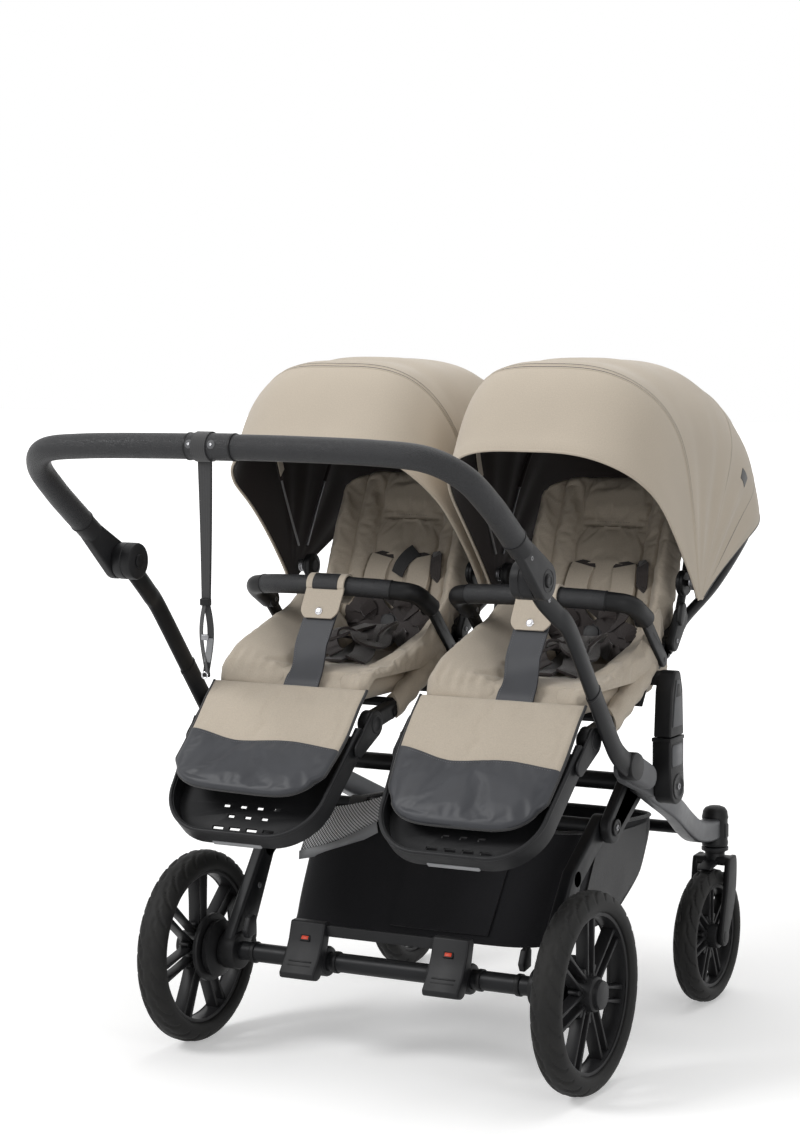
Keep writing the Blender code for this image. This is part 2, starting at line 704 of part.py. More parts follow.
def brake(carrier):
    """Two foot pedals on sleeves that turn on the axle, joined by a flat bar above it."""
    top_y = PEDAL_TOP[0]
    pieces = [box((-PEDAL_X, top_y - 0.003, BRAKE_BAR_Z - 0.009),
                  (PEDAL_X, top_y + 0.003, BRAKE_BAR_Z + 0.009))]
    for x in (-PEDAL_X, PEDAL_X):
        pieces.append(disc(x - PEDAL_HALF + 0.002, x + PEDAL_HALF - 0.002, 0.0, REAR_WHEEL_R,
                           PEDAL_SLEEVE_R))
        pieces.append(link(PEDAL_TOP, PEDAL_TIP, 0.011, 0.009, x - PEDAL_HALF, x + PEDAL_HALF))
        pieces.append(link((0.0, REAR_WHEEL_R), (-0.031, 0.173), 0.018, 0.009,
                           x - PEDAL_HALF + 0.005, x + PEDAL_HALF - 0.005))
    hole = disc(-0.2, 0.2, 0.0, REAR_WHEEL_R, bore(AXLE_R))
    part("brake_pedals", carve(fuse(*pieces), hole), GREY_PLASTIC, carrier)


# Handle
def handle_leg(side, carrier):
    """Flat oval leg that rises from the chassis hinge to the handle's pivot."""
    flat = LEG_HALF_X / LEG_DEPTH_R
    jog = -side * LEG_JOG / flat
    path = smooth_points([(jog, PIVOT_Y, PIVOT_Z), (jog, PIVOT_Y + 0.050, PIVOT_Z - 0.044),
                          (0, -0.080, 0.702), (0, 0.000, 0.600), (0, 0.068, 0.516),
                          (0, 0.110, 0.482), (0, 0.170, 0.456)], 2)
    leg = tube(path, LEG_DEPTH_R)
    leg.data.transform(Matrix.Translation((side * LEG_X, 0, 0))
                       @ Matrix.Diagonal((flat, 1, 1, 1)))
    head_out = side * (JOINT_X - GAP)
    head = disc(side * HEAD_INNER_X, head_out, PIVOT_Y, PIVOT_Z, HEAD_R)
    k0 = side * (PLATE_X + PLATE_T + FRONT_LEG_T + 2 * GAP)
    k1 = side * (PLATE_X + PLATE_T + FRONT_LEG_T + KNUCKLE_T + 2 * GAP)
    knuckle = link((HINGE_Y, HINGE_Z), (0.160, 0.460), 0.021, 0.018, k0, k1)
    block = link((0.186, 0.450), (0.130, 0.474), 0.0165, 0.0165, k0 + side * 0.002,
                 side * (LEG_X + LEG_HALF_X - 0.001))
    hole = disc(side * (PLATE_X - 0.033), side * (PLATE_X + 0.067), HINGE_Y, HINGE_Z, bore(HINGE_PIN_R))
    part(f"handle_leg_{side_name(side)}", carve(fuse(leg, head, knuckle, block), hole), FRAME_PAINT,
         carrier)


def handle_arm_end(side):
    return Vector((side * HANDLE_ARM_X, PIVOT_Y - 0.079, PIVOT_Z + 0.058))


def handle(carrier):
    end = handle_arm_end(1)
    along = (end - Vector((HANDLE_ARM_X, PIVOT_Y, PIVOT_Z))).normalized()
    x = HANDLE_ARM_X
    half = [end, end + along * 0.040, (x - 0.0015, -0.342, 0.900), (x - 0.012, -0.394, 0.938),
            (x - 0.049, -0.430, 0.964), (x - 0.123, -0.440, 0.972),
            (x - 0.248, HANDLE_BAR_Y, HANDLE_BAR_Z)]
    half = [Vector(p) for p in half]
    other = [Vector((-p.x, p.y, p.z)) for p in half]
    path = smooth_points(half + other[::-1], 3)
    part("handle_bar", tube(path, HANDLE_R), LEATHER, carrier)

    for side in (-1, 1):
        name = side_name(side)
        end = handle_arm_end(side)
        foot = Vector((end.x, PIVOT_Y, PIVOT_Z))
        along = (foot - end).normalized()
        neck = rod(end + along * 2 * GAP, end + along * 0.045, HANDLE_R - 0.001)
        x0 = side * JOINT_X
        x1 = side * (JOINT_X + JOINT_T)
        cheek = link((PIVOT_Y, PIVOT_Z), (end.y + along.y * 0.022, end.z + along.z * 0.022),
                     HEAD_R, 0.016, x0, x1)
        face = x1
        recess = disc(face - side * BUTTON_DEPTH, face + side * 0.01, PIVOT_Y, PIVOT_Z,
                      BUTTON_R + GAP)
        part(f"handle_joint_{name}", carve(fuse(cheek, neck), recess), BLACK_PLASTIC, carrier)
        press = pivot(f"handle_button_{name}_axis", (face, PIVOT_Y, PIVOT_Z), carrier)
        button = disc(face - side * (BUTTON_DEPTH - BUTTON_PROUD - GAP), face + side * BUTTON_PROUD,
                      PIVOT_Y, PIVOT_Z, BUTTON_R)
        part(f"handle_button_{name}", button, GREY_PLASTIC, press)

    middle = path[len(path) // 2]
    inside = bore(HANDLE_R)
    outside = inside + STRAP_T
    half = STRAP_WIDTH / 2
    loop = turned([(inside, -half), (outside, -half), (outside, half), (inside, half)],
                  (STRAP_X, middle.y, middle.z), closed=True, steps=SIDES)
    top = middle.z - HANDLE_R - GAP - 0.7 * STRAP_T
    tail = box((STRAP_X - 0.98 * half, middle.y - STRAP_T / 2, top - STRAP_LENGTH),
               (STRAP_X + 0.98 * half, middle.y + STRAP_T / 2, top))
    part("wrist_strap", fuse(loop, tail), BLACK_FABRIC, carrier)


# Seats
def back_frame(x):
    """Matrix of the backrest plane: first axis is X, second runs up the back, third is its front."""
    up = (math.cos(BACK_ANGLE), math.sin(BACK_ANGLE))
    front = (-up[1], up[0])
    return Matrix(((1, 0, 0, x), (0, up[0], front[0], CREASE_Y), (0, up[1], front[1], CREASE_Z),
                   (0, 0, 0, 1)))


def foot_frame(x):
    """Matrix of the footrest plane: X, then down its length, then out of its top face."""
    down = (math.cos(FOOT_ANGLE), math.sin(FOOT_ANGLE))
    out = (down[1], -down[0])
    return Matrix(((-1, 0, 0, x), (0, down[0], out[0], FOOT_Y), (0, down[1], out[1], FOOT_Z),
                   (0, 0, 0, 1)))


def seat_frame(x, name, carrier):
    pieces = []
    loop = [(SIDE_TUBE_X, FRONT_BLOCK_Y, FRONT_BLOCK_Z), (SIDE_TUBE_X, CLAMP_Y, CLAMP_Z),
            (SIDE_TUBE_X, RECLINE_Y, RECLINE_Z), (SIDE_TUBE_X, RECLINE_Y + 0.035, RECLINE_Z + 0.018),
            (LOOP_X, 0.500, 0.713), (LOOP_X, 0.610, 0.770),
            (LOOP_X - 0.010, LOOP_Y - 0.035, LOOP_Z - 0.018), (LOOP_X - 0.045, LOOP_Y, LOOP_Z)]
    left = [Vector((x - p[0], p[1], p[2])) for p in loop]
    right = [Vector((x + p[0], p[1], p[2])) for p in loop]
    pieces.append(tube(smooth_points(left + right[::-1], 2), SIDE_TUBE_R))
    cradle_y = 0.255
    cradle_z = SEAT_PAD_TOP - SEAT_PAD_T - GAP - CRADLE_R
    reach = SEAT_PAD_HALF + CRADLE_R + 0.002
    tube_z = 0.596
    pieces.append(tube([(x - SIDE_TUBE_X, cradle_y, tube_z), (x - reach, cradle_y, cradle_z),
                        (x + reach, cradle_y, cradle_z), (x + SIDE_TUBE_X, cradle_y, tube_z)],
                       CRADLE_R, 1))
    pieces.append(disc(x - SIDE_TUBE_X, x + SIDE_TUBE_X, FRONT_BLOCK_Y,
                       cradle_z + CRADLE_R - FRONT_BLOCK_BAR_R, FRONT_BLOCK_BAR_R))
    for side in (-1, 1):
        tube_x = x + side * SIDE_TUBE_X
        pieces.append(disc(tube_x - side * 0.005, tube_x + side * 0.0125, FOOT_Y, FOOT_Z, FOOT_DISC_R))
        pieces.append(link((FOOT_Y, FOOT_Z), (FRONT_BLOCK_Y, FRONT_BLOCK_Z), 0.014, 0.013,
                           tube_x - side * 0.0105, tube_x + side * 0.0105))
        pieces.append(disc(tube_x + side * 0.007, tube_x + side * 0.018, FOOT_Y, FOOT_Z, 0.006,
                           PIN_SIDES))
        y = mount_y()
        m0 = x + side * (MOUNT_DX - MOUNT_HALF)
        m1 = x + side * (MOUNT_DX + MOUNT_HALF)
        low = MOUNT_Z + GAP
        pieces.append(plate([(y - MOUNT_HALF_Y, low), (y + MOUNT_HALF_Y, low), (y + 0.022, 0.575),
                             (y + 0.012, 0.602), (y - 0.008, 0.602), (y - 0.020, 0.575)],
                            min(m0, m1), max(m0, m1)))
        s = x + side * MOUNT_DX
        pieces.append(box((s - SOCKET_HALF_X + GAP, y - SOCKET_HALF_Y + GAP,
                           MOUNT_Z - SOCKET_DEPTH + 0.001),
                          (s + SOCKET_HALF_X - GAP, y + SOCKET_HALF_Y - GAP, MOUNT_Z + 0.010)))
        b0 = tube_x
        b1 = m0 + side * 0.004
        pieces.append(box((min(b0, b1), y - 0.012, 0.578), (max(b0, b1), y + 0.012, 0.600)))
        pieces.append(disc(tube_x, x + side * (BUMPER_X + 0.003), CLAMP_Y, CLAMP_Z, 0.004,
                           PIN_SIDES))
        post_top = Vector((tube_x + side * 0.017, CANOPY_Y, CANOPY_Z))
        post = [Vector((tube_x, RECLINE_Y - 0.004, RECLINE_Z - 0.002)),
                Vector((tube_x + side * 0.006, RECLINE_Y - 0.006, 0.690)), post_top]
        pieces.append(tube(smooth_points(post, 2), 0.007, 1))
        pieces.append(disc(tube_x + side * 0.009, tube_x + side * 0.023, CANOPY_Y, CANOPY_Z, 0.020))
        pieces.append(disc(tube_x + side * 0.022, tube_x + side * 0.0368, CANOPY_Y, CANOPY_Z, 0.005,
                           PIN_SIDES))
        pieces.append(disc(tube_x, tube_x - side * 0.017, RECLINE_Y, RECLINE_Z, 0.005, PIN_SIDES))
    part(f"seat_frame_{name}", fuse(*pieces, solver="MANIFOLD"), FRAME_PAINT, carrier)


def backrest(x, name, carrier):
    frame = back_frame(x)
    behind = -BACK_PAD_T - GAP - BACK_TUBE_R
    top = BACK_PAD_END - 0.020
    hinge = frame.inverted() @ Vector((x, RECLINE_Y, RECLINE_Z))
    half = [(BACK_TUBE_X, hinge.y, hinge.z), (BACK_TUBE_X, hinge.y + 0.012, behind),
            (BACK_TUBE_X, hinge.y + 0.06, behind), (BACK_TUBE_X - 0.0033, top - 0.05, behind),
            (0.075, top, behind)]
    left = [Vector((-p[0], p[1], p[2])) for p in half]
    right = [Vector(p) for p in half]
    pieces = [tube([frame @ p for p in smooth_points(left + right[::-1], 2)], BACK_TUBE_R, 1)]
    holes = []
    for side in (-1, 1):
        tube_x = x + side * SIDE_TUBE_X
        pieces.append(disc(tube_x - side * 0.0175, tube_x - side * 0.0097, RECLINE_Y, RECLINE_Z, 0.012))
        holes.append(disc(tube_x - side * 0.027, tube_x + side * 0.003, RECLINE_Y, RECLINE_Z,
                          bore(0.005)))
    frame_body = carve(fuse(*pieces, solver="MANIFOLD"), *holes, solver="MANIFOLD")
    part(f"backrest_frame_{name}", frame_body, FRAME_PAINT, carrier)

    outline = [(-BACK_PAD_HALF, BACK_PAD_START), (BACK_PAD_HALF, BACK_PAD_START)]
    outline += arc((BACK_PAD_HALF - 0.05, BACK_PAD_END - 0.05), 0.05, 0, HALF_TURN / 2, 5)
    outline += arc((-BACK_PAD_HALF + 0.05, BACK_PAD_END - 0.05), 0.05, HALF_TURN / 2, HALF_TURN, 5)
    part(f"back_pad_{name}", plate(outline, -BACK_PAD_T, 0.0, frame), BEIGE_FABRIC, carrier)


def seat_pad(x, name, carrier):
    """Cushion with a rolled front edge and a bolster along each side, inside the side tubes."""
    low = SEAT_PAD_TOP - SEAT_PAD_T
    front = SEAT_PAD_FRONT
    side_view = [(SEAT_PAD_REAR, low), (SEAT_PAD_REAR, SEAT_PAD_TOP), (front + 0.05, SEAT_PAD_TOP),
                 (front + 0.02, SEAT_PAD_TOP - 0.006), (front + 0.004, SEAT_PAD_TOP - 0.018),
                 (front, low + 0.008), (front + 0.006, low)]
    pieces = [plate(side_view, x - SEAT_PAD_HALF, x + SEAT_PAD_HALF)]
    for side in (-1, 1):
        pieces.append(link((0.115, SEAT_PAD_TOP - 0.012), (0.283, 0.612), 0.016, 0.018,
                           x + side * (SEAT_PAD_HALF - 0.018),
                           x + side * (SIDE_TUBE_X - SIDE_TUBE_R - 2 * GAP)))
    part(f"seat_pad_{name}", fuse(*pieces), BEIGE_FABRIC, carrier)


def canopy_radius(angle):
    """Height of the arch at one angle about the canopy's hinge, read smoothly from its table."""
    table = CANOPY_RADII
    angle = min(max(angle, table[-1][0]), table[0][0])
    for (a0, r0), (a1, r1) in zip(table, table[1:]):
        if a1 <= angle <= a0:
            t = (a0 - angle) / (a0 - a1)
            t = t * t * (3 - 2 * t)
            return r0 + (r1 - r0) * t
    return table[-1][1]


def arch_point(x, turn, angle, half, radius):
    """A point of the arch: turn runs from 0 at the right foot to pi at the left foot."""
    c = math.cos(turn)
    s = max(math.sin(turn), 0.0)
    out = half * math.copysign(abs(c) ** (2 / ARCH_POWER_X), c)
    reach = radius * s ** (2 / ARCH_POWER_R)
    a = math.radians(angle)
    return Vector((x + out, CANOPY_Y + reach * math.cos(a), CANOPY_Z + reach * math.sin(a)))


def arch_turns(steps, lead=0.012):
    return [lead + (HALF_TURN - 2 * lead) * (1 - math.cos(HALF_TURN * k / steps)) / 2
            for k in range(steps + 1)]


def canopy(x, name, side, carrier):
    """Closed shell from the brim over the top to the rear edge, open to the front and below.

    It bulges a little more on the stroller's outer side than towards the other seat."""
    angles = [139, 128, 117, 105, 92, 77, 62, 47, 32, 17.5]
    turns = arch_turns(ARCH_STEPS)
    bm = bmesh.new()
    rows = []
    for angle in angles:
        radius = canopy_radius(angle)
        halves = [CANOPY_OUTER_HALF if side * math.cos(t) > 0 else CANOPY_HALF for t in turns]
        rows.append([bm.verts.new(arch_point(x, t, angle, half, radius))
                     for t, half in zip(turns, halves)])
    for first, second in zip(rows, rows[1:]):
        for k in range(len(turns) - 1):
            bm.faces.new((first[k], second[k], second[k + 1], first[k + 1]))
    shell = from_bmesh(bm)
    solid = shell.modifiers.new("cloth", "SOLIDIFY")
    solid.thickness = CANOPY_T
    solid.offset = -1.0
    part(f"canopy_{name}", bake(shell), BEIGE_FABRIC, carrier)


def canopy_bow(x, name, label, angle, ear_x, carrier):
    radius = canopy_radius(angle) - CANOPY_T - BOW_SEAT - BOW_R
    half = ear_x + EAR_T / 2
    path = [arch_point(x, t, angle, half, radius) for t in arch_turns(ARCH_STEPS)]
    out = Vector((0, math.cos(math.radians(angle)), math.sin(math.radians(angle)))) * 0.008
    path.insert(0, Vector((x + half, CANOPY_Y, CANOPY_Z)) + out)
    path.append(Vector((x - half, CANOPY_Y, CANOPY_Z)) + out)
    ends = []
    holes = []
    for side in (-1, 1):
        ends.append(disc(x + side * ear_x, x + side * (ear_x + EAR_T), CANOPY_Y, CANOPY_Z, EAR_R,
                         PIN_SIDES))
        holes.append(disc(x + side * (ear_x - 0.01), x + side * (ear_x + 0.02), CANOPY_Y, CANOPY_Z,
                          bore(0.005, PIN_SIDES), PIN_SIDES))
    bow = carve(fuse(tube(path, BOW_R, 0), *ends), *holes)
    part(f"canopy_{label}_bow_{name}", bow, STEEL, carrier)


def bumper(x, name, carrier):
    half = [(BUMPER_X, 0.222, 0.686), (BUMPER_X - 0.001, 0.184, 0.707),
            (BUMPER_X - 0.018, 0.160, 0.7165), (BUMPER_X - 0.055, 0.148, 0.7205),
            (0.035, BUMPER_BAR_Y, BUMPER_BAR_Z)]
    right = [Vector((x + p[0], p[1], p[2])) for p in half]
    left = [Vector((x - p[0], p[1], p[2])) for p in half]
    pieces = [tube(smooth_points(right + left[::-1], 2), BUMPER_R)]
    holes = []
    for side in (-1, 1):
        x0 = x + side * (SIDE_TUBE_X + SIDE_TUBE_R + GAP)
        x1 = x0 + side * LUG_T
        pieces.append(link((CLAMP_Y, CLAMP_Z), (0.222, 0.686), 0.012, 0.0125, x0, x1))
        holes.append(disc(x0 - side * 0.01, x1 + side * 0.01, CLAMP_Y, CLAMP_Z, bore(0.004)))
    part(f"bumper_bar_{name}", carve(fuse(*pieces), *holes), LEATHER, carrier)


def crotch_strap(x, name, carrier):
    foot = Vector((CROTCH_FOOT_Y, SEAT_PAD_TOP + GAP))
    bar = Vector((BUMPER_BAR_Y, BUMPER_BAR_Z))
    along = (bar - foot).normalized()
    across = Vector((-along.y, along.x)) * CROTCH_T
    head = bar - along * (BUMPER_R + GAP)
    outline = [foot, foot - Vector((across.x / along.y * 1.0, 0)), head - across, head]
    strap = plate([tuple(p) for p in outline], x - CROTCH_WIDTH / 2, x + CROTCH_WIDTH / 2)
    part(f"crotch_strap_{name}", strap, LEATHER, carrier)


def harness(x, name, carrier):
    """Shoulder and lap straps that lie on the back pad, with the round buckle between them."""
    frame = back_frame(x)
    low = GAP
    high = GAP + HARNESS_T
    pieces = []
    for side in (-1, 1):
        shoulder = [(side * 0.010, 0.075), (side * 0.034, 0.075), (side * 0.060, 0.205),
                    (side * 0.032, 0.205)]
        lap = [(side * 0.008, 0.052), (side * 0.008, 0.080), (side * 0.105, 0.062), (side * 0.105, 0.036)]
        pieces.append(plate(shoulder, low, high, frame))
        pieces.append(plate(lap, low, high, frame))
    axis = frame.col[2].xyz
    base = frame @ Vector((0, BUCKLE_ALONG, low))
    face = frame @ Vector((0, BUCKLE_ALONG, low + BUCKLE_T))
    pieces.append(rod(base, face, BUCKLE_R))
    hollow = rod(face - axis * 0.006, face + axis * 0.01, HARNESS_BUTTON_R + GAP)
    straps = carve(fuse(*pieces, solver="MANIFOLD"), hollow, solver="MANIFOLD")
    part(f"harness_{name}", straps, BROWN_WEBBING, carrier)
    press = pivot(f"harness_button_{name}_axis", face, carrier)
    button = rod(face - axis * (0.006 - 0.002 - GAP), face + axis * 0.002, HARNESS_BUTTON_R)
    part(f"harness_button_{name}", button, GREY_PLASTIC, press)


def tray_outline(half, end_half, start, end, corner):
    """Tapered U with round corners, start and end measured down from the hinge."""
    outline = [(half, start)]
    outline += arc((end_half - corner, end - corner), corner, 0, HALF_TURN / 2, 6)
    outline += arc((-end_half + corner, end - corner), corner, HALF_TURN / 2, HALF_TURN, 6)
    outline += [(-half, start)]
    return outline


def footrest(x, name, carrier):
    frame = foot_frame(x)
    start = 0.028
    body = plate(tray_outline(TRAY_HALF, TRAY_END_HALF, start, TRAY_LENGTH, TRAY_CORNER), 0.0,
                 TRAY_RIM, frame)
    hollow = plate(tray_outline(TRAY_HALF - TRAY_WALL, TRAY_END_HALF - TRAY_WALL, start - 0.02,
                                TRAY_LENGTH - TRAY_WALL, TRAY_CORNER - TRAY_WALL),
                   TRAY_FLOOR, TRAY_RIM + 0.02, frame)
    slots = []
    for k in (-1.5, -0.5, 0.5, 1.5):
        slots.append(plate([(k * 0.030 - 0.010, 0.206), (k * 0.030 + 0.010, 0.206),
                            (k * 0.030 + 0.010, 0.213), (k * 0.030 - 0.010, 0.213)],
                           -0.01, 0.02, frame))
    tray = carve(body, hollow, *slots, solver="MANIFOLD")
    ears = []
    holes = []
    for side in (-1, 1):
        e0 = x + side * (SIDE_TUBE_X + 0.0128)
        e1 = e0 + side * FOOT_EAR_T
        low = frame @ Vector((0, 0.050, 0.015))
        ears.append(link((FOOT_Y, FOOT_Z), (low.y, low.z), FOOT_DISC_R, 0.012, e0, e1))
        holes.append(disc(e0 - side * 0.01, e1 + side * 0.01, FOOT_Y, FOOT_Z, bore(0.006)))
    tray = carve(fuse(tray, *ears, solver="MANIFOLD"), *holes, solver="MANIFOLD")
    part(f"footrest_tray_{name}", tray, GREY_PLASTIC, carrier)
    low = TRAY_FLOOR + GAP
    mat = plate(tray_outline(MAT_HALF, MAT_HALF, MAT_START, MAT_END, 0.05), low, low + MAT_T, frame)
    part(f"footrest_mat_{name}", mat, BEIGE_FABRIC, carrier)


def seat(side, carrier):
    name = side_name(side)
    x = side * SEAT_X
    lift = pivot(f"seat_{name}_lift", (x, mount_y(), MOUNT_Z), carrier)
    seat_frame(x, name, lift)
    seat_pad(x, name, lift)
    crotch_strap(x, name, lift)
    recline = pivot(f"backrest_{name}_axis", (x, RECLINE_Y, RECLINE_Z), lift)
    backrest(x, name, recline)
    harness(x, name, recline)
    canopy(x, name, side, lift)
    fold = pivot(f"canopy_front_{name}_axis", (x, CANOPY_Y, CANOPY_Z), lift)
    canopy_bow(x, name, "front", FRONT_BOW_ANGLE, FRONT_EAR_X, fold)
    follow = pivot(f"canopy_mid_{name}_axis", (x, CANOPY_Y, CANOPY_Z), lift)
    canopy_bow(x, name, "mid", MID_BOW_ANGLE, FRONT_EAR_X + EAR_T + GAP, follow)
    gate = pivot(f"bumper_{name}_axis", (x, CLAMP_Y, CLAMP_Z), lift)
    bumper(x, name, gate)
    flap = pivot(f"footrest_{name}_axis", (x, FOOT_Y, FOOT_Z), lift)
    footrest(x, name, flap)


# The whole stroller
def centre_on_ground(root):
    """Moves the stroller so that the origin is the bottom centre of its bounding box."""
    bpy.context.view_layer.update()
    ys = []
    for obj in parts.objects:
        if obj.type == "MESH":
            ys += [(obj.matrix_world @ v.co).y for v in obj.data.vertices]
    root.location.y -= (min(ys) + max(ys)) / 2


def main():
    root = pivot("stroller", (0, 0, 0))
    for side in (-1, 1):
        side_plate(side, root)
        front_leg(side, root)
        adaptor(side, root)
        front_caster(side, root)
    centre_bridge(root)
    crossbars(root)
    basket(root)
    rear = pivot("rear_frame_axis", (0, CROSSBAR_Y, CROSSBAR_Z), root)
    rear_axle(rear)
    brake_axis = pivot("brake_axis", (0, 0, REAR_WHEEL_R), rear)
    brake(brake_axis)
    fold = pivot("fold_axis", (0, HINGE_Y, HINGE_Z), root)
    for side in (-1, 1):
        rear_leg(side, rear)
        rear_wheel(side, rear)
        handle_leg(side, fold)
    tilt = pivot("handle_axis", (0, PIVOT_Y, PIVOT_Z), fold)
    handle(tilt)
    for side in (-1, 1):
        seat(side, root)
    centre_on_ground(root)


main()
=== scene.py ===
"""Finish of a side by side double stroller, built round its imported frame.

Places are in metres. They are given from the point on the ground below the rear axle, and at()
moves them to the frame's own origin. X runs along the axles, +Y is the way it travels.
"""
from math import acos, atan2, copysign, cos, exp, hypot, inf, pi, radians, sin, sqrt

import bmesh
import bpy
from mathutils import Matrix, Vector, noise


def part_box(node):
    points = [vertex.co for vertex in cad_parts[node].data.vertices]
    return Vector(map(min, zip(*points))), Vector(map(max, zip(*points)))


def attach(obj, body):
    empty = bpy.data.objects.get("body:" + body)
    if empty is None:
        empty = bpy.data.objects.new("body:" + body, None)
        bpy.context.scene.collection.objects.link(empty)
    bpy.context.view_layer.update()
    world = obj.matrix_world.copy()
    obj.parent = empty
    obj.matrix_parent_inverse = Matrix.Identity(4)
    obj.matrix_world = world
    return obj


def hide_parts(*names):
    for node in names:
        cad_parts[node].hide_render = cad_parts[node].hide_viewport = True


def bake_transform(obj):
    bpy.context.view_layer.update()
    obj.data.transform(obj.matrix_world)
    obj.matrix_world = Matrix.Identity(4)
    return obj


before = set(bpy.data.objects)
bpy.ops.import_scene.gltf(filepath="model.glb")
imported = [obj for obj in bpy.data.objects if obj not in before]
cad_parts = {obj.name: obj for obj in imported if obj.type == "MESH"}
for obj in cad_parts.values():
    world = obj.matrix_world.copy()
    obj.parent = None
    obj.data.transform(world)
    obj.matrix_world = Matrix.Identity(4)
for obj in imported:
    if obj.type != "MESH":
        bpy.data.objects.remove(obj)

bl_info = {
    "name": "Double stroller finish",
    "version": (1, 0, 0),
    "blender": (4, 5, 0),
    "location": "3D View > Sidebar > Stroller",
    "description": "Dresses the double stroller in its finished shells, tubes and cloth",
    "category": "Object",
}

TURN = 2 * pi
SIDES = (("left", -1), ("right", 1))

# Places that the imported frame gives
REAR_RIM_LOW, REAR_RIM_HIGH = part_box("rear_rim_left")
AXLE_Y = (REAR_RIM_LOW.y + REAR_RIM_HIGH.y) / 2
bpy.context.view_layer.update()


def at(x, y, z):
    """A place measured from the ground below the rear axle."""
    return Vector((x, y + AXLE_Y, z))


# Sizes and colours that a user may change
class StrollerSizes(bpy.types.PropertyGroup):
    piping: bpy.props.FloatProperty(name="Piping",
        description="Radius of the piping sewn into canopy and liner seams", default=0.0021, min=0.0005,
        max=0.004, unit="LENGTH")
    tread_depth: bpy.props.FloatProperty(name="Tread depth", description="Depth of the grooves in the tyres",
        default=0.0023, min=0.0, max=0.003, unit="LENGTH")
    cloth_thickness: bpy.props.FloatProperty(name="Cloth thickness",
        description="Thickness of the canopy and basket cloth", default=0.0011, min=0.0005, max=0.003,
        unit="LENGTH")


class StrollerColours(bpy.types.PropertyGroup):
    cloth: bpy.props.FloatVectorProperty(name="Cloth",
        description="Colour of the canopies and the seat liners", subtype="COLOR", size=3,
        default=(0.52, 0.455, 0.372))
    lining: bpy.props.FloatVectorProperty(name="Lining", description="Colour of the inside of the canopies",
        subtype="COLOR", size=3, default=(0.015, 0.0105, 0.0098))
    paint: bpy.props.FloatVectorProperty(name="Paint", description="Colour of the painted tubes",
        subtype="COLOR", size=3, default=(0.01, 0.0104, 0.0116))
    plastic: bpy.props.FloatVectorProperty(name="Plastic", description="Colour of the moulded housings",
        subtype="COLOR", size=3, default=(0.008, 0.0081, 0.0088))
    leather: bpy.props.FloatVectorProperty(name="Leatherette",
        description="Colour of the handle and bumper bar covers", subtype="COLOR", size=3,
        default=(0.019, 0.0195, 0.0215))
    basket: bpy.props.FloatVectorProperty(name="Basket", description="Colour of the basket cloth",
        subtype="COLOR", size=3, default=(0.01, 0.01, 0.012))
    webbing: bpy.props.FloatVectorProperty(name="Webbing", description="Colour of the harness webbing",
        subtype="COLOR", size=3, default=(0.02, 0.013, 0.012))


def sizes():
    return bpy.context.scene.stroller_sizes


def colours():
    return bpy.context.scene.stroller_colours


# Node helpers
def add_node(tree, kind, values=None, **settings):
    made = tree.nodes.new(kind)
    for key, value in settings.items():
        setattr(made, key, value)
    for key, value in (values or {}).items():
        made.inputs[key].default_value = value
    return made


def surface(name, colour, roughness, metallic=0.0, **sockets):
    """A new material with its colour and gloss on the shader's own sockets."""
    made = bpy.data.materials.new(name)
    made.use_nodes = True
    made.diffuse_color = (*colour, 1.0)
    shader = made.node_tree.nodes["Principled BSDF"]
    shader.inputs["Base Color"].default_value = (*colour, 1.0)
    shader.inputs["Roughness"].default_value = roughness
    shader.inputs["Metallic"].default_value = metallic
    for key, value in sockets.items():
        shader.inputs[key.replace("_", " ").title().replace("Ior", "IOR")].default_value = value
    return made, made.node_tree, shader


def coordinates(tree, source="Object", scale=(1, 1, 1), turn=(0, 0, 0)):
    place = add_node(tree, "ShaderNodeTexCoord")
    mapping = add_node(tree, "ShaderNodeMapping", {"Scale": scale, "Rotation": turn})
    tree.links.new(place.outputs[source], mapping.inputs["Vector"])
    return mapping.outputs["Vector"]


def ramp(tree, value, low, high, from_low=0.0, from_high=1.0):
    made = add_node(tree, "ShaderNodeMapRange", {"From Min": from_low, "From Max": from_high, "To Min": low,
        "To Max": high})
    tree.links.new(value, made.inputs["Value"])
    return made.outputs["Result"]


def noise_of(tree, vector, scale, detail=3.0, rough=0.5):
    made = add_node(tree, "ShaderNodeTexNoise", {"Scale": scale, "Detail": detail, "Roughness": rough})
    tree.links.new(vector, made.inputs["Vector"])
    return made.outputs["Fac"]


def math_of(tree, operation, a, b=None):
    made = add_node(tree, "ShaderNodeMath", operation=operation)
    for socket, value in zip(made.inputs, (a, b)):
        if value is None:
            continue
        if isinstance(value, (int, float)):
            socket.default_value = value
        else:
            tree.links.new(value, socket)
    return made.outputs["Value"]


def tint(tree, shader, factor, colour_a, colour_b):
    mix = add_node(tree, "ShaderNodeMix", data_type="RGBA")
    mix.inputs["A"].default_value = (*colour_a, 1.0)
    mix.inputs["B"].default_value = (*colour_b, 1.0)
    tree.links.new(factor, mix.inputs["Factor"])
    tree.links.new(mix.outputs["Result"], shader.inputs["Base Color"])
    return mix.outputs["Result"]


def bump(tree, shader, height, strength, distance):
    made = add_node(tree, "ShaderNodeBump", {"Strength": strength, "Distance": distance})
    tree.links.new(height, made.inputs["Height"])
    tree.links.new(made.outputs["Normal"], shader.inputs["Normal"])


def lighter(colour, share):
    return tuple(c * share for c in colour)


def waves_of(tree, spot, axes, counts):
    """Sine waves along some axes of a pattern."""
    separate = add_node(tree, "ShaderNodeSeparateXYZ")
    tree.links.new(spot, separate.inputs["Vector"])
    return [math_of(tree, "SINE", math_of(tree, "MULTIPLY", separate.outputs[axis], count)) for axis,
        count in zip(axes, counts)]


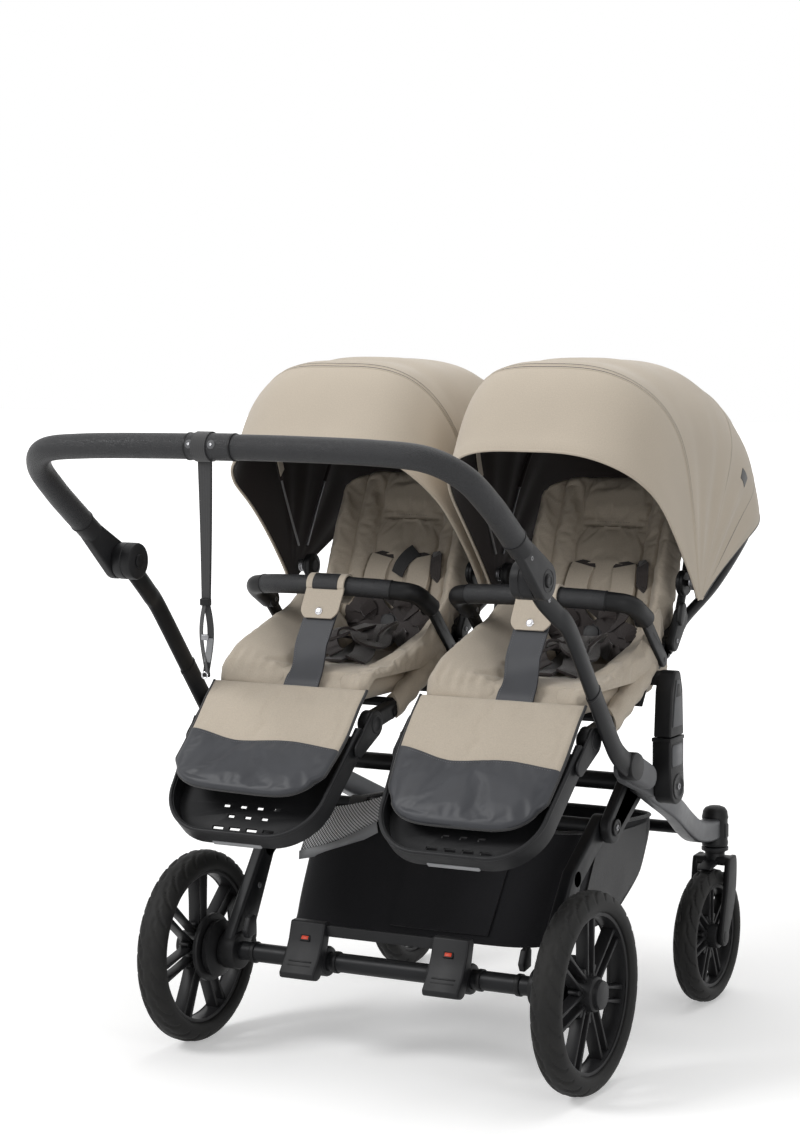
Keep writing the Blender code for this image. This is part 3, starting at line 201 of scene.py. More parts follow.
# Finishes
def clouded(name, colour, clouds, shades, gloss, grain, roughness, metallic=0.0, **sockets):
    """Colour that changes in soft clouds, gloss that changes in finer ones, and a fine grain."""
    made, tree, shader = surface(name, colour, roughness, metallic, **sockets)
    spot = coordinates(tree)
    scale, detail, low, high = clouds
    tint(tree, shader, ramp(tree, noise_of(tree, spot, scale, detail), 0.0, 1.0, low, high),
        *(lighter(colour, share) for share in shades))
    scale, detail, low, high = gloss
    tree.links.new(ramp(tree, noise_of(tree, spot, scale, detail), low, high), shader.inputs["Roughness"])
    scale, detail, strength, depth = grain
    bump(tree, shader, noise_of(tree, spot, scale, detail), strength, depth)
    return made


def moulded(name, colour, grain=0.22, rough=(0.36, 0.52)):
    made, tree, shader = surface(name, colour, 0.5, specular_ior_level=0.2)
    spot = coordinates(tree)
    cloudy = noise_of(tree, spot, 14.0, 4.0)
    tint(tree, shader, ramp(tree, cloudy, 0.0, 1.0, 0.3, 0.75), lighter(colour, 0.88), lighter(colour, 1.2))
    tree.links.new(ramp(tree, noise_of(tree, spot, 45.0, 4.0), *rough), shader.inputs["Roughness"])
    cells = add_node(tree, "ShaderNodeTexVoronoi", {"Scale": 1100.0})
    tree.links.new(spot, cells.inputs["Vector"])
    bump(tree, shader, cells.outputs["Distance"], grain, 0.0003)
    return made


def tyre_rubber():
    colour = (0.012, 0.0119, 0.0118)
    made, tree, shader = surface("tyre rubber", colour, 0.82, specular_ior_level=0.2)
    spot = coordinates(tree)
    dust = noise_of(tree, spot, 22.0, 6.0, 0.62)
    tint(tree, shader, ramp(tree, dust, 0.0, 1.0, 0.42, 0.8), colour, (0.022, 0.0215, 0.0205))
    tree.links.new(ramp(tree, dust, 0.48, 0.74), shader.inputs["Roughness"])
    bump(tree, shader, noise_of(tree, spot, 900.0, 3.0), 0.25, 0.0003)
    return made


def leatherette():
    """Pebbled leatherette with creases between its grains."""
    colour = colours().leather
    made, tree, shader = surface("charcoal leatherette", colour, 0.4, specular_ior_level=0.3)
    spot = coordinates(tree)
    grains = add_node(tree, "ShaderNodeTexVoronoi", {"Scale": 420.0}, feature="DISTANCE_TO_EDGE")
    tree.links.new(spot, grains.inputs["Vector"])
    crease = ramp(tree, grains.outputs["Distance"], 0.0, 1.0, 0.0, 0.22)
    fine = math_of(tree, "MULTIPLY", noise_of(tree, spot, 1600.0, 3.0), 0.4)
    tint(tree, shader, crease, lighter(colour, 0.72), lighter(colour, 1.08))
    tree.links.new(ramp(tree, noise_of(tree, spot, 30.0, 3.0), 0.34, 0.5), shader.inputs["Roughness"])
    bump(tree, shader, math_of(tree, "ADD", crease, fine), 0.6, 0.0005)
    return made


def plain_cloth(name, colour, sheen=0.3, melange=0.1, thread=0.0009, source="Object", rough=0.85):
    """Woven cloth: fine threads both ways, small colour changes from thread to thread."""
    made, tree, shader = surface(name, colour, rough, sheen_weight=sheen, sheen_roughness=0.4,
        specular_ior_level=0.25)
    spot = coordinates(tree, source)
    waves = waves_of(tree, spot, "XYZ", [TURN / thread] * 3)
    threads = math_of(tree, "MULTIPLY", waves[0], waves[1])
    if source == "Object":
        threads = math_of(tree, "ADD", threads, math_of(tree, "MULTIPLY", waves[1], waves[2]))
        threads = math_of(tree, "ADD", threads, math_of(tree, "MULTIPLY", waves[0], waves[2]))
    fleck = noise_of(tree, spot, 520.0, 3.0, 0.6)
    shade = noise_of(tree, spot, 7.0, 3.0)
    both = math_of(tree, "ADD", math_of(tree, "MULTIPLY", fleck, 0.7), math_of(tree, "MULTIPLY", shade, 0.3))
    tint(tree, shader, ramp(tree, both, 0.0, 1.0, 0.3, 0.7), lighter(colour, 1 - melange),
        lighter(colour, 1 + melange))
    height = math_of(tree, "ADD", math_of(tree, "MULTIPLY", threads, 0.3), noise_of(tree, spot, 260.0, 3.0))
    bump(tree, shader, height, 0.2, 0.0006)
    return made


def ribbed_webbing(name, colour, rib=0.0016):
    """Webbing with ribs across its length; its UV map runs along the strap in metres."""
    made, tree, shader = surface(name, colour, 0.72, sheen_weight=0.35, sheen_roughness=0.5)
    spot = coordinates(tree, "UV")
    along, across = waves_of(tree, spot, "XY", (TURN / (2 * rib), TURN / rib))
    height = math_of(tree, "ADD", across, math_of(tree, "MULTIPLY", along, 0.5))
    tint(tree, shader, ramp(tree, height, 0.0, 1.0, -1.5, 1.5), lighter(colour, 0.75), lighter(colour, 1.2))
    bump(tree, shader, height, 0.3, 0.0004)
    return made


def net_cloth(name, colour, gap_colour, pitch=0.0052):
    """Net with round holes, drawn on its own UV map in metres."""
    made, tree, shader = surface(name, colour, 0.6, sheen_weight=0.2)
    spot = coordinates(tree, "UV")
    holes = math_of(tree, "MULTIPLY", *waves_of(tree, spot, "XY", [TURN / pitch] * 2))
    share = ramp(tree, holes, 0.0, 1.0, -0.15, 0.15)
    tint(tree, shader, share, gap_colour, colour)
    bump(tree, shader, share, 0.5, 0.0006)
    return made


def steel(name, colour, roughness, scale, gloss):
    made, tree, shader = surface(name, colour, roughness, 1.0)
    worn = noise_of(tree, coordinates(tree), scale, 4.0)
    tree.links.new(ramp(tree, worn, *gloss), shader.inputs["Roughness"])
    return made


# Each finish with the record's material slot that it stands for
FINISHES = {
    "paint": ("frame_paint", lambda: clouded(
        "satin frame paint", colours().paint, (9, 4, 0.35, 0.75), (0.9, 1.25), (60, 5, 0.34, 0.5),
        (1400, 2, 0.08, 0.0002), 0.4, 0.15, specular_ior_level=0.22)),
    "satin": ("frame_paint", lambda: clouded(
        "satin grey metal", (0.06, 0.062, 0.067), (16, 4, 0.3, 0.75), (0.85, 1.2), (70, 5, 0.3, 0.46),
        (1500, 2, 0.06, 0.0002), 0.36, 0.55)),
    "vinyl": ("leather", lambda: clouded(
        "smooth grey vinyl", (0.04, 0.042, 0.048), (26, 4, 0.3, 0.75), (0.88, 1.12), (26, 4, 0.4, 0.52),
        (700, 4, 0.16, 0.0003), 0.45, specular_ior_level=0.32)),
    "black": ("black_plastic", lambda: moulded("black moulded plastic", colours().plastic)),
    "dark": ("grey_plastic", lambda: moulded(
        "dark grey moulded plastic", lighter(colours().plastic, 1.7), 0.26)),
    "grey": ("grey_plastic", lambda: moulded(
        "grey moulded plastic", (0.105, 0.107, 0.112), 0.2, (0.42, 0.55))),
    "strip": ("grey_plastic", lambda: moulded("light grey strip", (0.3, 0.305, 0.315), 0.12, (0.35, 0.48))),
    "hub": ("black_plastic", lambda: moulded("wheel hub plastic", (0.014, 0.014, 0.015), 0.18, (0.36, 0.5))),
    "orange": ("grey_plastic", lambda: moulded("orange indicator", (0.62, 0.055, 0.02), 0.05, (0.3, 0.4))),
    "rubber": ("tyre", tyre_rubber),
    "leather": ("leather", leatherette),
    "canopy": ("beige_fabric", lambda: plain_cloth("canopy cloth", colours().cloth, source="UV")),
    "liner": ("beige_fabric", lambda: plain_cloth("seat liner cloth", colours().cloth)),
    "lining": ("black_fabric", lambda: plain_cloth("canopy lining", colours().lining, 0.2, 0.18)),
    "basket": ("black_fabric", lambda: plain_cloth("basket cloth", colours().basket, 0.25, 0.25)),
    "thread": ("beige_fabric", lambda: plain_cloth("light sewing thread", (0.42, 0.38, 0.33), 0.2, 0.08)),
    "grey_thread": ("leather", lambda: plain_cloth("grey sewing thread", (0.15, 0.15, 0.16), 0.2, 0.08)),
    "seam": ("beige_fabric", lambda: plain_cloth("shaded seam", (0.3, 0.262, 0.215), 0.2, 0.08)),
    "webbing": ("brown_webbing", lambda: ribbed_webbing("brown webbing", colours().webbing)),
    "tape": ("black_fabric", lambda: ribbed_webbing("black webbing", (0.012, 0.012, 0.013))),
    "net": ("black_fabric", lambda: net_cloth("pale net", (0.66, 0.66, 0.67), (0.012, 0.012, 0.013))),
    "net_dark": ("black_fabric", lambda: net_cloth("dark net", (0.03, 0.03, 0.032), (0.006, 0.006, 0.007),
                                                   0.0036)),
    "chrome": ("steel", lambda: steel("polished steel", (0.62, 0.62, 0.64), 0.22, 220, (0.16, 0.34))),
    "steel": ("steel", lambda: steel("zinc plated steel", (0.24, 0.24, 0.25), 0.4, 300, (0.32, 0.5))),
}
made_finishes = {}


def finish_named(name):
    if name not in made_finishes:
        made_finishes[name] = FINISHES[name][1]()
    return made_finishes[name]


# Modelling helpers
def link(name, data):
    """A new object of the scene, at the origin."""
    obj = bpy.data.objects.new(name, data)
    bpy.context.scene.collection.objects.link(obj)
    return obj


def from_bmesh(bm, name):
    """A new object with the faces of a bmesh, which is freed."""
    mesh = bpy.data.meshes.new(name)
    bm.to_mesh(mesh)
    bm.free()
    return link(name, mesh)


def start():
    """Object mode with nothing selected, so that the next operator acts on the new piece alone."""
    active = bpy.context.view_layer.objects.active
    if active is not None and active.mode != "OBJECT":
        bpy.ops.object.mode_set(mode="OBJECT")
    bpy.ops.object.select_all(action="DESELECT")


def pick(obj):
    start()
    bpy.context.view_layer.objects.active = obj
    obj.select_set(True)
    return obj


def apply(obj, kind, **settings):
    """Adds a modifier and applies it."""
    pick(obj)
    made = obj.modifiers.new(kind.lower(), kind)
    for key, value in settings.items():
        setattr(made, key, value)
    bpy.ops.object.modifier_apply(modifier=made.name)
    return obj


def soften(obj, width, segments=3, angle=32):
    """Rounds the sharp edges of a moulded piece."""
    return apply(obj, "BEVEL", width=width, segments=segments, limit_method="ANGLE",
        angle_limit=radians(angle), use_clamp_overlap=True)


def tidy(obj):
    """Merges doubles and turns every face outwards."""
    pick(obj)
    bpy.ops.object.mode_set(mode="EDIT")
    bpy.ops.mesh.select_all(action="SELECT")
    bpy.ops.mesh.remove_doubles(threshold=1e-6)
    bpy.ops.mesh.normals_make_consistent(inside=False)
    bpy.ops.object.mode_set(mode="OBJECT")
    return obj


def settle(obj, name, finish, body, replaces=(), smooth=38):
    """Names a finished piece, puts its place into its mesh, gives it its finish and its body."""
    pick(obj)
    bpy.ops.object.transform_apply(location=True, rotation=True, scale=True)
    obj.name = name
    obj.data.name = name
    obj.data.materials.clear()
    obj.data.materials.append(finish_named(finish))
    bpy.ops.object.shade_smooth_by_angle(angle=radians(smooth))
    if isinstance(body, str):
        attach(obj, body)
    if replaces:
        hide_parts(*replaces)
    return obj


def join(first, *others):
    """Joins shapes that belong to one piece."""
    pick(first)
    for other in others:
        other.select_set(True)
    bpy.ops.object.join()
    return first


def block(low, high, round_by=0.001, segments=3):
    low = Vector(low)
    high = Vector(high)
    start()
    bpy.ops.mesh.primitive_cube_add(size=1.0, location=(low + high) / 2)
    obj = bpy.context.object
    obj.scale = [abs(c) for c in high - low]
    bpy.ops.object.transform_apply(location=True, rotation=True, scale=True)
    if round_by:
        soften(obj, round_by, segments)
    return obj


def lathe(profile, centre, axis=(1, 0, 0), steps=64):
    """A closed profile of (radius, along) points, spun about an axis through centre."""
    start()
    bpy.ops.mesh.primitive_circle_add(vertices=len(profile), fill_type="NOTHING")
    obj = bpy.context.object
    for vertex, (radius, along) in zip(obj.data.vertices, profile):
        vertex.co = (radius, 0.0, along)
    bpy.ops.object.mode_set(mode="EDIT")
    bpy.ops.mesh.select_all(action="SELECT")
    bpy.ops.mesh.spin(steps=steps, angle=TURN, center=(0, 0, 0), axis=(0, 0, 1))
    bpy.ops.object.mode_set(mode="OBJECT")
    tidy(obj)
    turn = Vector(axis).to_track_quat("Z", "Y").to_matrix().to_4x4()
    obj.data.transform(Matrix.Translation(centre) @ turn)
    return obj


def puck(centre, axis, radius, low, high, round_by=0.001, steps=48, dish=0.0):
    """A round cap or boss with a rounded edge, from low to high along its axis."""
    r = round_by
    profile = [(0.0, low), (radius - r, low), (radius - 0.3 * r, low + 0.3 * r), (radius, low + r),
        (radius, high - r), (radius - 0.3 * r, high - 0.3 * r), (radius - r, high)]
    if dish:
        profile += [(0.72 * radius, high), (0.66 * radius, high - dish)]
        profile.append((0.0, high - dish))
    else:
        profile.append((0.0, high))
    return lathe(profile, centre, axis, steps)


def catmull(points, steps=8):
    """A smooth curve through the points, which keeps both ends."""
    points = [Vector(p) for p in points]
    padded = [2 * points[0] - points[1]] + points + [2 * points[-1] - points[-2]]
    path = []
    for i in range(1, len(padded) - 2):
        a, b, c, d = padded[i - 1:i + 3]
        for k in range(steps):
            t = k / steps
            path.append(0.5 * (2 * b + (c - a) * t + (2 * a - 5 * b + 4 * c - d) * t ** 2
                + (3 * b - a - 3 * c + d) * t ** 3))
    path.append(points[-1])
    return path


def pipe(points, radius, sides=16, radii=None):
    """A round tube along the points, closed at both ends."""
    start()
    bpy.ops.curve.primitive_nurbs_path_add()
    obj = bpy.context.object
    curve = obj.data
    curve.splines.clear()
    curve.dimensions = "3D"
    curve.bevel_depth = radius
    curve.bevel_resolution = max(0, sides // 2 - 2)
    curve.use_fill_caps = True
    spline = curve.splines.new("POLY")
    spline.points.add(len(points) - 1)
    for i, (point, place) in enumerate(zip(spline.points, points)):
        point.co = (*place, 1.0)
        if radii is not None:
            point.radius = radii[i]
    bpy.ops.object.convert(target="MESH")
    return tidy(bpy.context.object)


def slab(outline, low, high, round_by=0.0, segments=3, place=None):
    """A flat outline of (u, v) points from low to high. Without a place, u is Y and v is Z."""
    low, high = sorted((low, high))
    if place is None:
        place = Matrix(((0, 0, 1, 0), (1, 0, 0, AXLE_Y), (0, 1, 0, 0), (0, 0, 0, 1)))
    start()
    bpy.ops.mesh.primitive_circle_add(vertices=len(outline), fill_type="NGON")
    obj = bpy.context.object
    for vertex, (u, v) in zip(obj.data.vertices, outline):
        vertex.co = (u, v, low)
    bpy.ops.object.mode_set(mode="EDIT")
    bpy.ops.mesh.select_all(action="SELECT")
    bpy.ops.mesh.extrude_region_move(TRANSFORM_OT_translate={"value": (0, 0, high - low)})
    bpy.ops.mesh.select_all(action="SELECT")
    bpy.ops.mesh.normals_make_consistent(inside=False)
    bpy.ops.object.mode_set(mode="OBJECT")
    obj.data.transform(place)
    if round_by:
        soften(obj, round_by, segments)
    return tidy(obj)


def arc(centre, radius, start_angle, end_angle, steps=12):
    return [(centre[0] + radius * cos(start_angle + (end_angle - start_angle) * k / steps),
        centre[1] + radius * sin(start_angle + (end_angle - start_angle) * k / steps))
        for k in range(steps + 1)]


def belt(a, b, ra, rb, steps=14):
    """The outline of a belt round two circles."""
    span = Vector(b) - Vector(a)
    along = atan2(span.y, span.x)
    lean = acos((ra - rb) / span.length)
    return (arc(a, ra, along + lean, along + TURN - lean, steps)
        + arc(b, rb, along - lean, along + lean, steps))


def ribbon(points, normals, width, thickness, widths=None):
    """A flat strap along the points, lying square to the normals, with its UV map in metres."""
    bm = bmesh.new()
    uv = bm.loops.layers.uv.new("UVMap")
    rings = []
    runs = []
    run = 0.0
    for i, place in enumerate(points):
        before = points[max(i - 1, 0)]
        after = points[min(i + 1, len(points) - 1)]
        along = (after - before).normalized()
        across = along.cross(normals[i]).normalized()
        up = across.cross(along).normalized()
        half = (widths[i] if widths else width) / 2
        if i:
            run += (place - points[i - 1]).length
        runs.append(run)
        ring = [(-half, -0.5), (half, -0.5), (half, 0.5), (-half, 0.5)]
        rings.append([bm.verts.new(place + across * s + up * thickness * t) for s, t in ring])
    for i in range(len(rings) - 1):
        for k in range(4):
            quad = (rings[i][k], rings[i][(k + 1) % 4], rings[i + 1][(k + 1) % 4], rings[i + 1][k])
            face = bm.faces.new(quad)
            edge = (0.0, width) if k in (0, 2) else (0.0, thickness)
            values = ((edge[0], runs[i]), (edge[1], runs[i]), (edge[1], runs[i + 1]), (edge[0], runs[i + 1]))
            for loop, value in zip(face.loops, values):
                loop[uv].uv = value
    bm.faces.new(rings[0][::-1])
    bm.faces.new(rings[-1])
    bmesh.ops.recalc_face_normals(bm, faces=bm.faces)
    return soften(from_bmesh(bm, "strap"), min(0.0004, thickness * 0.3), 1, 60)


def stitches(points, radius=0.00045, length=0.003, gap=0.0018):
    """A row of short sewing stitches that lie along the points."""
    run = [0.0]
    for a, b in zip(points, points[1:]):
        run.append(run[-1] + (b - a).length)

    def place(distance):
        for i in range(len(points) - 1):
            if run[i] <= distance <= run[i + 1]:
                share = (distance - run[i]) / max(run[i + 1] - run[i], 1e-9)
                return points[i].lerp(points[i + 1], share)
        return points[-1]

    bm = bmesh.new()
    for k in range(int(run[-1] // (length + gap))):
        a = place(k * (length + gap))
        b = place(k * (length + gap) + length)
        along = b - a
        if along.length < 1e-6:
            continue
        turn = along.to_track_quat("Z", "Y").to_matrix().to_4x4()
        grow = Matrix.Diagonal((radius, radius, along.length / 2, 1.0))
        made = bmesh.ops.create_icosphere(bm, subdivisions=1, radius=1.0)
        bmesh.ops.transform(bm, matrix=Matrix.Translation((a + b) / 2) @ turn @ grow, verts=made["verts"])
    return from_bmesh(bm, "stitches")


# Wheels
REAR_WHEEL = {"x": 0.339, "y": 0.0, "r": 0.1525, "rim": 0.121, "width": 0.048, "hub": 0.026}
FRONT_WHEEL = {"x": 0.285, "y": 0.6, "r": 0.1115, "rim": 0.086, "width": 0.04, "hub": 0.02}
SPOKE_ARMS = 7


def tyre_profile(wheel):
    """Crowned tread, full shoulders and a sidewall that tucks in to the rim."""
    half = wheel["width"] / 2
    crown = 0.64 * (wheel["r"] - wheel["rim"])
    waist = wheel["r"] - crown
    bead = 0.7 * half
    points = []
    for k in range(25):
        angle = radians(90 - 180 * k / 24)
        s = copysign(abs(sin(angle)) ** 0.86, sin(angle))
        points.append((waist + crown * abs(cos(angle)) ** 0.92, half * s))
    low = []
    for k in range(1, 7):
        angle = pi / 2 * k / 6
        low.append((waist - (waist - wheel["rim"]) * sin(angle), bead + (half - bead) * cos(angle)))
    return points + [(r, -x) for r, x in low] + low[::-1]


def tyre(name, wheel, centre, body, node):
    obj = lathe(tyre_profile(wheel), (0, 0, 0), (1, 0, 0), 640)
    half = wheel["width"] / 2
    depth = sizes().tread_depth
    count = round(TURN * wheel["r"] / 0.033)
    pitch = TURN * wheel["r"] / count
    for vertex in obj.data.vertices:
        x, y, z = vertex.co
        radius = hypot(y, z)
        share = abs(x) / half
        if radius < wheel["rim"] + 0.5 * (wheel["r"] - wheel["rim"]) or share > 0.97:
            continue
        run = atan2(z, y) * wheel["r"] * (1 if x > 0 else -1) + (pitch / 2 if x < 0 else 0)
        hook = max(share - 0.26, 0.0) / 0.7
        bend = 0.052 * hook ** 0.42
        slope = 0.052 * 0.42 * max(hook, 0.02) ** -0.58 / (0.7 * half)
        offset = (run - bend + pitch / 2) % pitch - pitch / 2
        distance = abs(offset) / hypot(1, slope)
        groove = min(1.0, 1.7 * max(0.0, 1 - distance / 0.0022)) if share > 0.27 else 0.0
        line = max(0.0, 1 - abs(share - 0.19) * half / 0.0009)
        cut = depth * max(groove, 0.55 * line)
        vertex.co.y -= y / radius * cut
        vertex.co.z -= z / radius * cut
    obj.data.transform(Matrix.Translation(centre))
    settle(obj, name, "rubber", body, [node], smooth=60)


def rim(name, wheel, centre, body, node, spoke_depth):
    """Thin rim with V shaped pairs of deep, narrow spokes."""
    half = 0.66 * wheel["width"] / 2
    top = wheel["rim"] - 0.0004
    wall = 0.0042
    ring = lathe([(top - wall, -half + 0.003), (top - wall - 0.001, -half + 0.001),
        (top - wall + 0.001, -half), (top, -half), (top, half), (top - wall + 0.001, half),
        (top - wall - 0.001, half - 0.001), (top - wall, half - 0.003), (top - wall - 0.0022, 0.004),
        (top - wall - 0.0022, -0.004)], centre, steps=112)
    pieces = []
    inner = wheel["hub"] + 0.004
    for k in range(2 * SPOKE_ARMS):
        lean = 1 if k % 2 else -1
        middle = TURN * (k // 2 + 0.25) / SPOKE_ARMS
        foot_angle = middle + 0.07 * lean
        head_angle = middle + 0.355 * lean
        foot = Vector((cos(foot_angle), sin(foot_angle))) * (inner - 0.004)
        head = Vector((cos(head_angle), sin(head_angle))) * (top - wall - 0.0015)
        along = (head - foot).normalized()
        across = Vector((-along.y, along.x))
        wide, slim = 0.0031, 0.0021
        outline = [foot - across * wide, foot.lerp(head, 0.5) - across * slim, head - across * wide * 1.2,
            head + across * wide * 1.2, foot.lerp(head, 0.5) + across * slim, foot + across * wide]
        outline = [(p.x + centre.y - AXLE_Y, p.y + centre.z) for p in outline]
        low = centre.x - spoke_depth / 2
        pieces.append(slab(outline, low, low + spoke_depth, 0.0012, 2))
    for k in range(SPOKE_ARMS):
        middle = TURN * (k + 0.25) / SPOKE_ARMS
        web = belt((0.0, 0.0), (0.016, 0.0), 0.0085, 0.0035, 6)
        foot = Vector((cos(middle), sin(middle))) * (inner - 0.005)
        turned = [Vector(p) @ Matrix.Rotation(-middle, 2) for p in web]
        outline = [(p.x + foot.x + centre.y - AXLE_Y, p.y + foot.y + centre.z) for p in turned]
        low = centre.x - 0.42 * spoke_depth
        pieces.append(slab(outline, low, low + 0.84 * spoke_depth, 0.001, 2))
    settle(join(ring, *pieces), name, "hub", body, [node])


def hub(name, centre, side, body, radius, low, high, cap_radius):
    out = Vector((side, 0, 0))
    settle(lathe([(0.0, low), (radius, low), (radius + 0.0005, low + 0.001), (radius + 0.0005, high - 0.011),
        (radius - 0.0005, high - 0.009), (cap_radius + 0.0012, high - 0.0075),
        (cap_radius + 0.0008, high - 0.004), (0.0, high - 0.004)], centre, out, 64), f"{name}_barrel", "hub",
        body)
    settle(puck(centre, out, cap_radius, high - 0.0075, high, 0.0012, 64), f"{name}_cap", "dark", body)


class STROLLER_OT_rear_wheels(bpy.types.Operator):
    """Tyres with cut treads, spoked rims and hub caps of the rear wheels"""
    bl_idname = "stroller.rear_wheels"
    bl_label = "Rear wheels"

    def execute(self, context):
        for name, side in SIDES:
            wheel = REAR_WHEEL
            centre = at(side * wheel["x"], wheel["y"], wheel["r"])
            body = f"rear_wheel_{name}"
            tyre(f"rear_tyre_{name}_rubber", wheel, centre, body, f"rear_tyre_{name}")
            rim(f"rear_rim_{name}_spokes", wheel, centre, body, f"rear_rim_{name}", 0.02)
            hub(f"rear_hub_{name}", centre, side, body, wheel["hub"], -0.0185, 0.029, 0.0215)
            settle(lathe([(0.01, -0.03), (0.052, -0.03), (0.054, -0.028), (0.054, -0.0235), (0.05, -0.0215),
                (0.01, -0.0215)], centre, (side, 0, 0), 72), f"rear_brake_ring_{name}", "hub", body)
        return {"FINISHED"}


class STROLLER_OT_front_wheels(bpy.types.Operator):
    """Tyres and rims of the front wheels with their forks and lock levers"""
    bl_idname = "stroller.front_wheels"
    bl_label = "Front wheels and forks"

    def execute(self, context):
        for name, side in SIDES:
            wheel = FRONT_WHEEL
            centre = at(side * wheel["x"], wheel["y"], wheel["r"])
            body = f"front_wheel_{name}"
            tyre(f"front_tyre_{name}_rubber", wheel, centre, body, f"front_tyre_{name}")
            rim(f"front_rim_{name}_spokes", wheel, centre, body, f"front_rim_{name}", 0.016)
            settle(puck(centre, (side, 0, 0), wheel["hub"], -0.023, 0.023, 0.002, 48),
                f"front_hub_{name}_barrel", "hub", body)
            fork(name, side)
        return {"FINISHED"}


STEM_Y = 0.632


def fork(name, side):
    """Two curved arms, a crown over the tyre and a stem collar."""
    x = side * FRONT_WHEEL["x"]
    body = f"caster_{name}"
    axle = (FRONT_WHEEL["y"], FRONT_WHEEL["r"])
    pieces = []
    for arm in (-1, 1):
        low = x + arm * 0.0242
        high = x + arm * 0.0338
        back = [(STEM_Y + 0.013, 0.243), (STEM_Y + 0.0165, 0.228), (STEM_Y + 0.014, 0.19),
            (STEM_Y + 0.002, 0.15), (axle[0] + 0.015, axle[1] + 0.006)]
        front = [(axle[0] - 0.0145, axle[1] + 0.005), (axle[0] - 0.006, 0.15), (axle[0] + 0.006, 0.19),
            (STEM_Y - 0.02, 0.226), (STEM_Y - 0.016, 0.241)]
        foot = arc(axle, 0.0155, radians(10), radians(-190), 16)
        outline = catmull(back, 5) + foot + catmull(front, 5)
        pieces.append(slab(outline, low, high, 0.0028))
        pieces.append(puck(at(x, *axle), (arm, 0, 0), 0.0095, 0.033, 0.0344, 0.0006, 40))
    crown = block(at(x - 0.0335, STEM_Y - 0.017, 0.2275), at(x + 0.0335, STEM_Y + 0.014, 0.2415), 0.004)
    neck = lathe([(0.0, 0.231), (0.0185, 0.231), (0.0185, 0.2395), (0.0165, 0.2425), (0.0165, 0.247),
        (0.018, 0.2485), (0.018, 0.2503), (0.0, 0.2503)], at(x, STEM_Y, 0.0), (0, 0, 1), 56)
    guard = slab([(STEM_Y - 0.048, 0.224), (STEM_Y - 0.018, 0.2285), (STEM_Y - 0.014, 0.236),
        (STEM_Y - 0.022, 0.2355), (STEM_Y - 0.05, 0.2265)], x - 0.012, x + 0.012, 0.0012, 2)
    settle(join(crown, neck, guard, *pieces), f"fork_{name}_casting", "black", body, [f"fork_{name}"])
    settle(puck(at(x, *axle), (side, 0, 0), 0.0048, -0.0243, 0.0243, 0.0004, 24), f"front_axle_pin_{name}",
        "steel", body)
    settle(puck(at(x, STEM_Y, 0.0), (0, 0, 1), 0.0088, 0.25, 0.295, 0.0005, 32), f"stem_{name}", "steel",
        body)
    lock = lathe([(0.0095, 0.2508), (0.0222, 0.2508), (0.0225, 0.2515), (0.0225, 0.256), (0.0218, 0.2566),
        (0.0095, 0.2566)], at(x, STEM_Y, 0.0), (0, 0, 1), 64)
    tab = slab([(x - 0.0075, STEM_Y + 0.015), (x + 0.0075, STEM_Y + 0.015), (x + 0.0062, STEM_Y + 0.037),
        (x + 0.004, STEM_Y + 0.0388), (x - 0.004, STEM_Y + 0.0388), (x - 0.0062, STEM_Y + 0.037)], 0.251,
        0.2538, 0.0009, 2, place=Matrix.Translation((0, AXLE_Y, 0)))
    ridges = [block(at(x - 0.0045, STEM_Y + 0.028 + 0.003 * k, 0.2532),
        at(x + 0.0045, STEM_Y + 0.0292 + 0.003 * k, 0.2544), 0.0004, 2) for k in range(3)]
    settle(join(lock, tab, *ridges), f"swivel_lock_{name}_ring", "dark", f"swivel_lock_{name}",
        [f"swivel_lock_{name}"])


# Chassis
HINGE = (0.275, 0.421)
CROSSBAR = (0.195, 0.364)
FRONT_BAR = (0.52, 0.306)
LEG_KNEE = (0.095, 0.3)
PLATE_X = 0.283


def screw(name, centre, axis, radius, body, finish="steel", proud=0.0016):
    """Round screw head with a hexagon socket."""
    out = Vector(axis).normalized()
    return settle(lathe([(0.0, -0.002), (radius, -0.002), (radius, 0.6 * proud), (0.8 * radius, proud),
        (0.5 * radius, proud), (0.46 * radius, 0.3 * proud), (0.0, 0.3 * proud)], centre, out, 24), name,
        finish, body)


def rounded_beam(rows, side, corner=0.3, per_corner=4):
    """A bent beam through rows of centre, half width and half depth, with rounded corners."""
    bm = bmesh.new()
    rings = []
    path = [Vector((side * x, y, z)) for x, y, z, _, _ in rows]
    for i, (_, _, _, half_x, half_z) in enumerate(rows):
        along = (path[min(i + 1, len(path) - 1)] - path[max(i - 1, 0)]).normalized()
        up = Vector((1, 0, 0)).cross(along).normalized()
        if up.z < 0:
            up = -up
        radius = corner * min(half_x, half_z)
        ring = []
        for cx, cz, first in ((1, 1, 0), (-1, 1, 90), (-1, -1, 180), (1, -1, 270)):
            for k in range(per_corner + 1):
                angle = radians(first + 90 * k / per_corner)
                u = cx * (half_x - radius) + radius * cos(angle)
                v = cz * (half_z - radius) + radius * sin(angle)
                ring.append(bm.verts.new(path[i] + Vector((u, 0, 0)) + up * v))
        rings.append(ring)
    count = len(rings[0])
    for first, second in zip(rings, rings[1:]):
        for k in range(count):
            bm.faces.new((first[k], first[(k + 1) % count], second[(k + 1) % count], second[k]))
    bm.faces.new(rings[0])
    bm.faces.new(rings[-1])
    bmesh.ops.recalc_face_normals(bm, faces=bm.faces)
    return from_bmesh(bm, "beam")


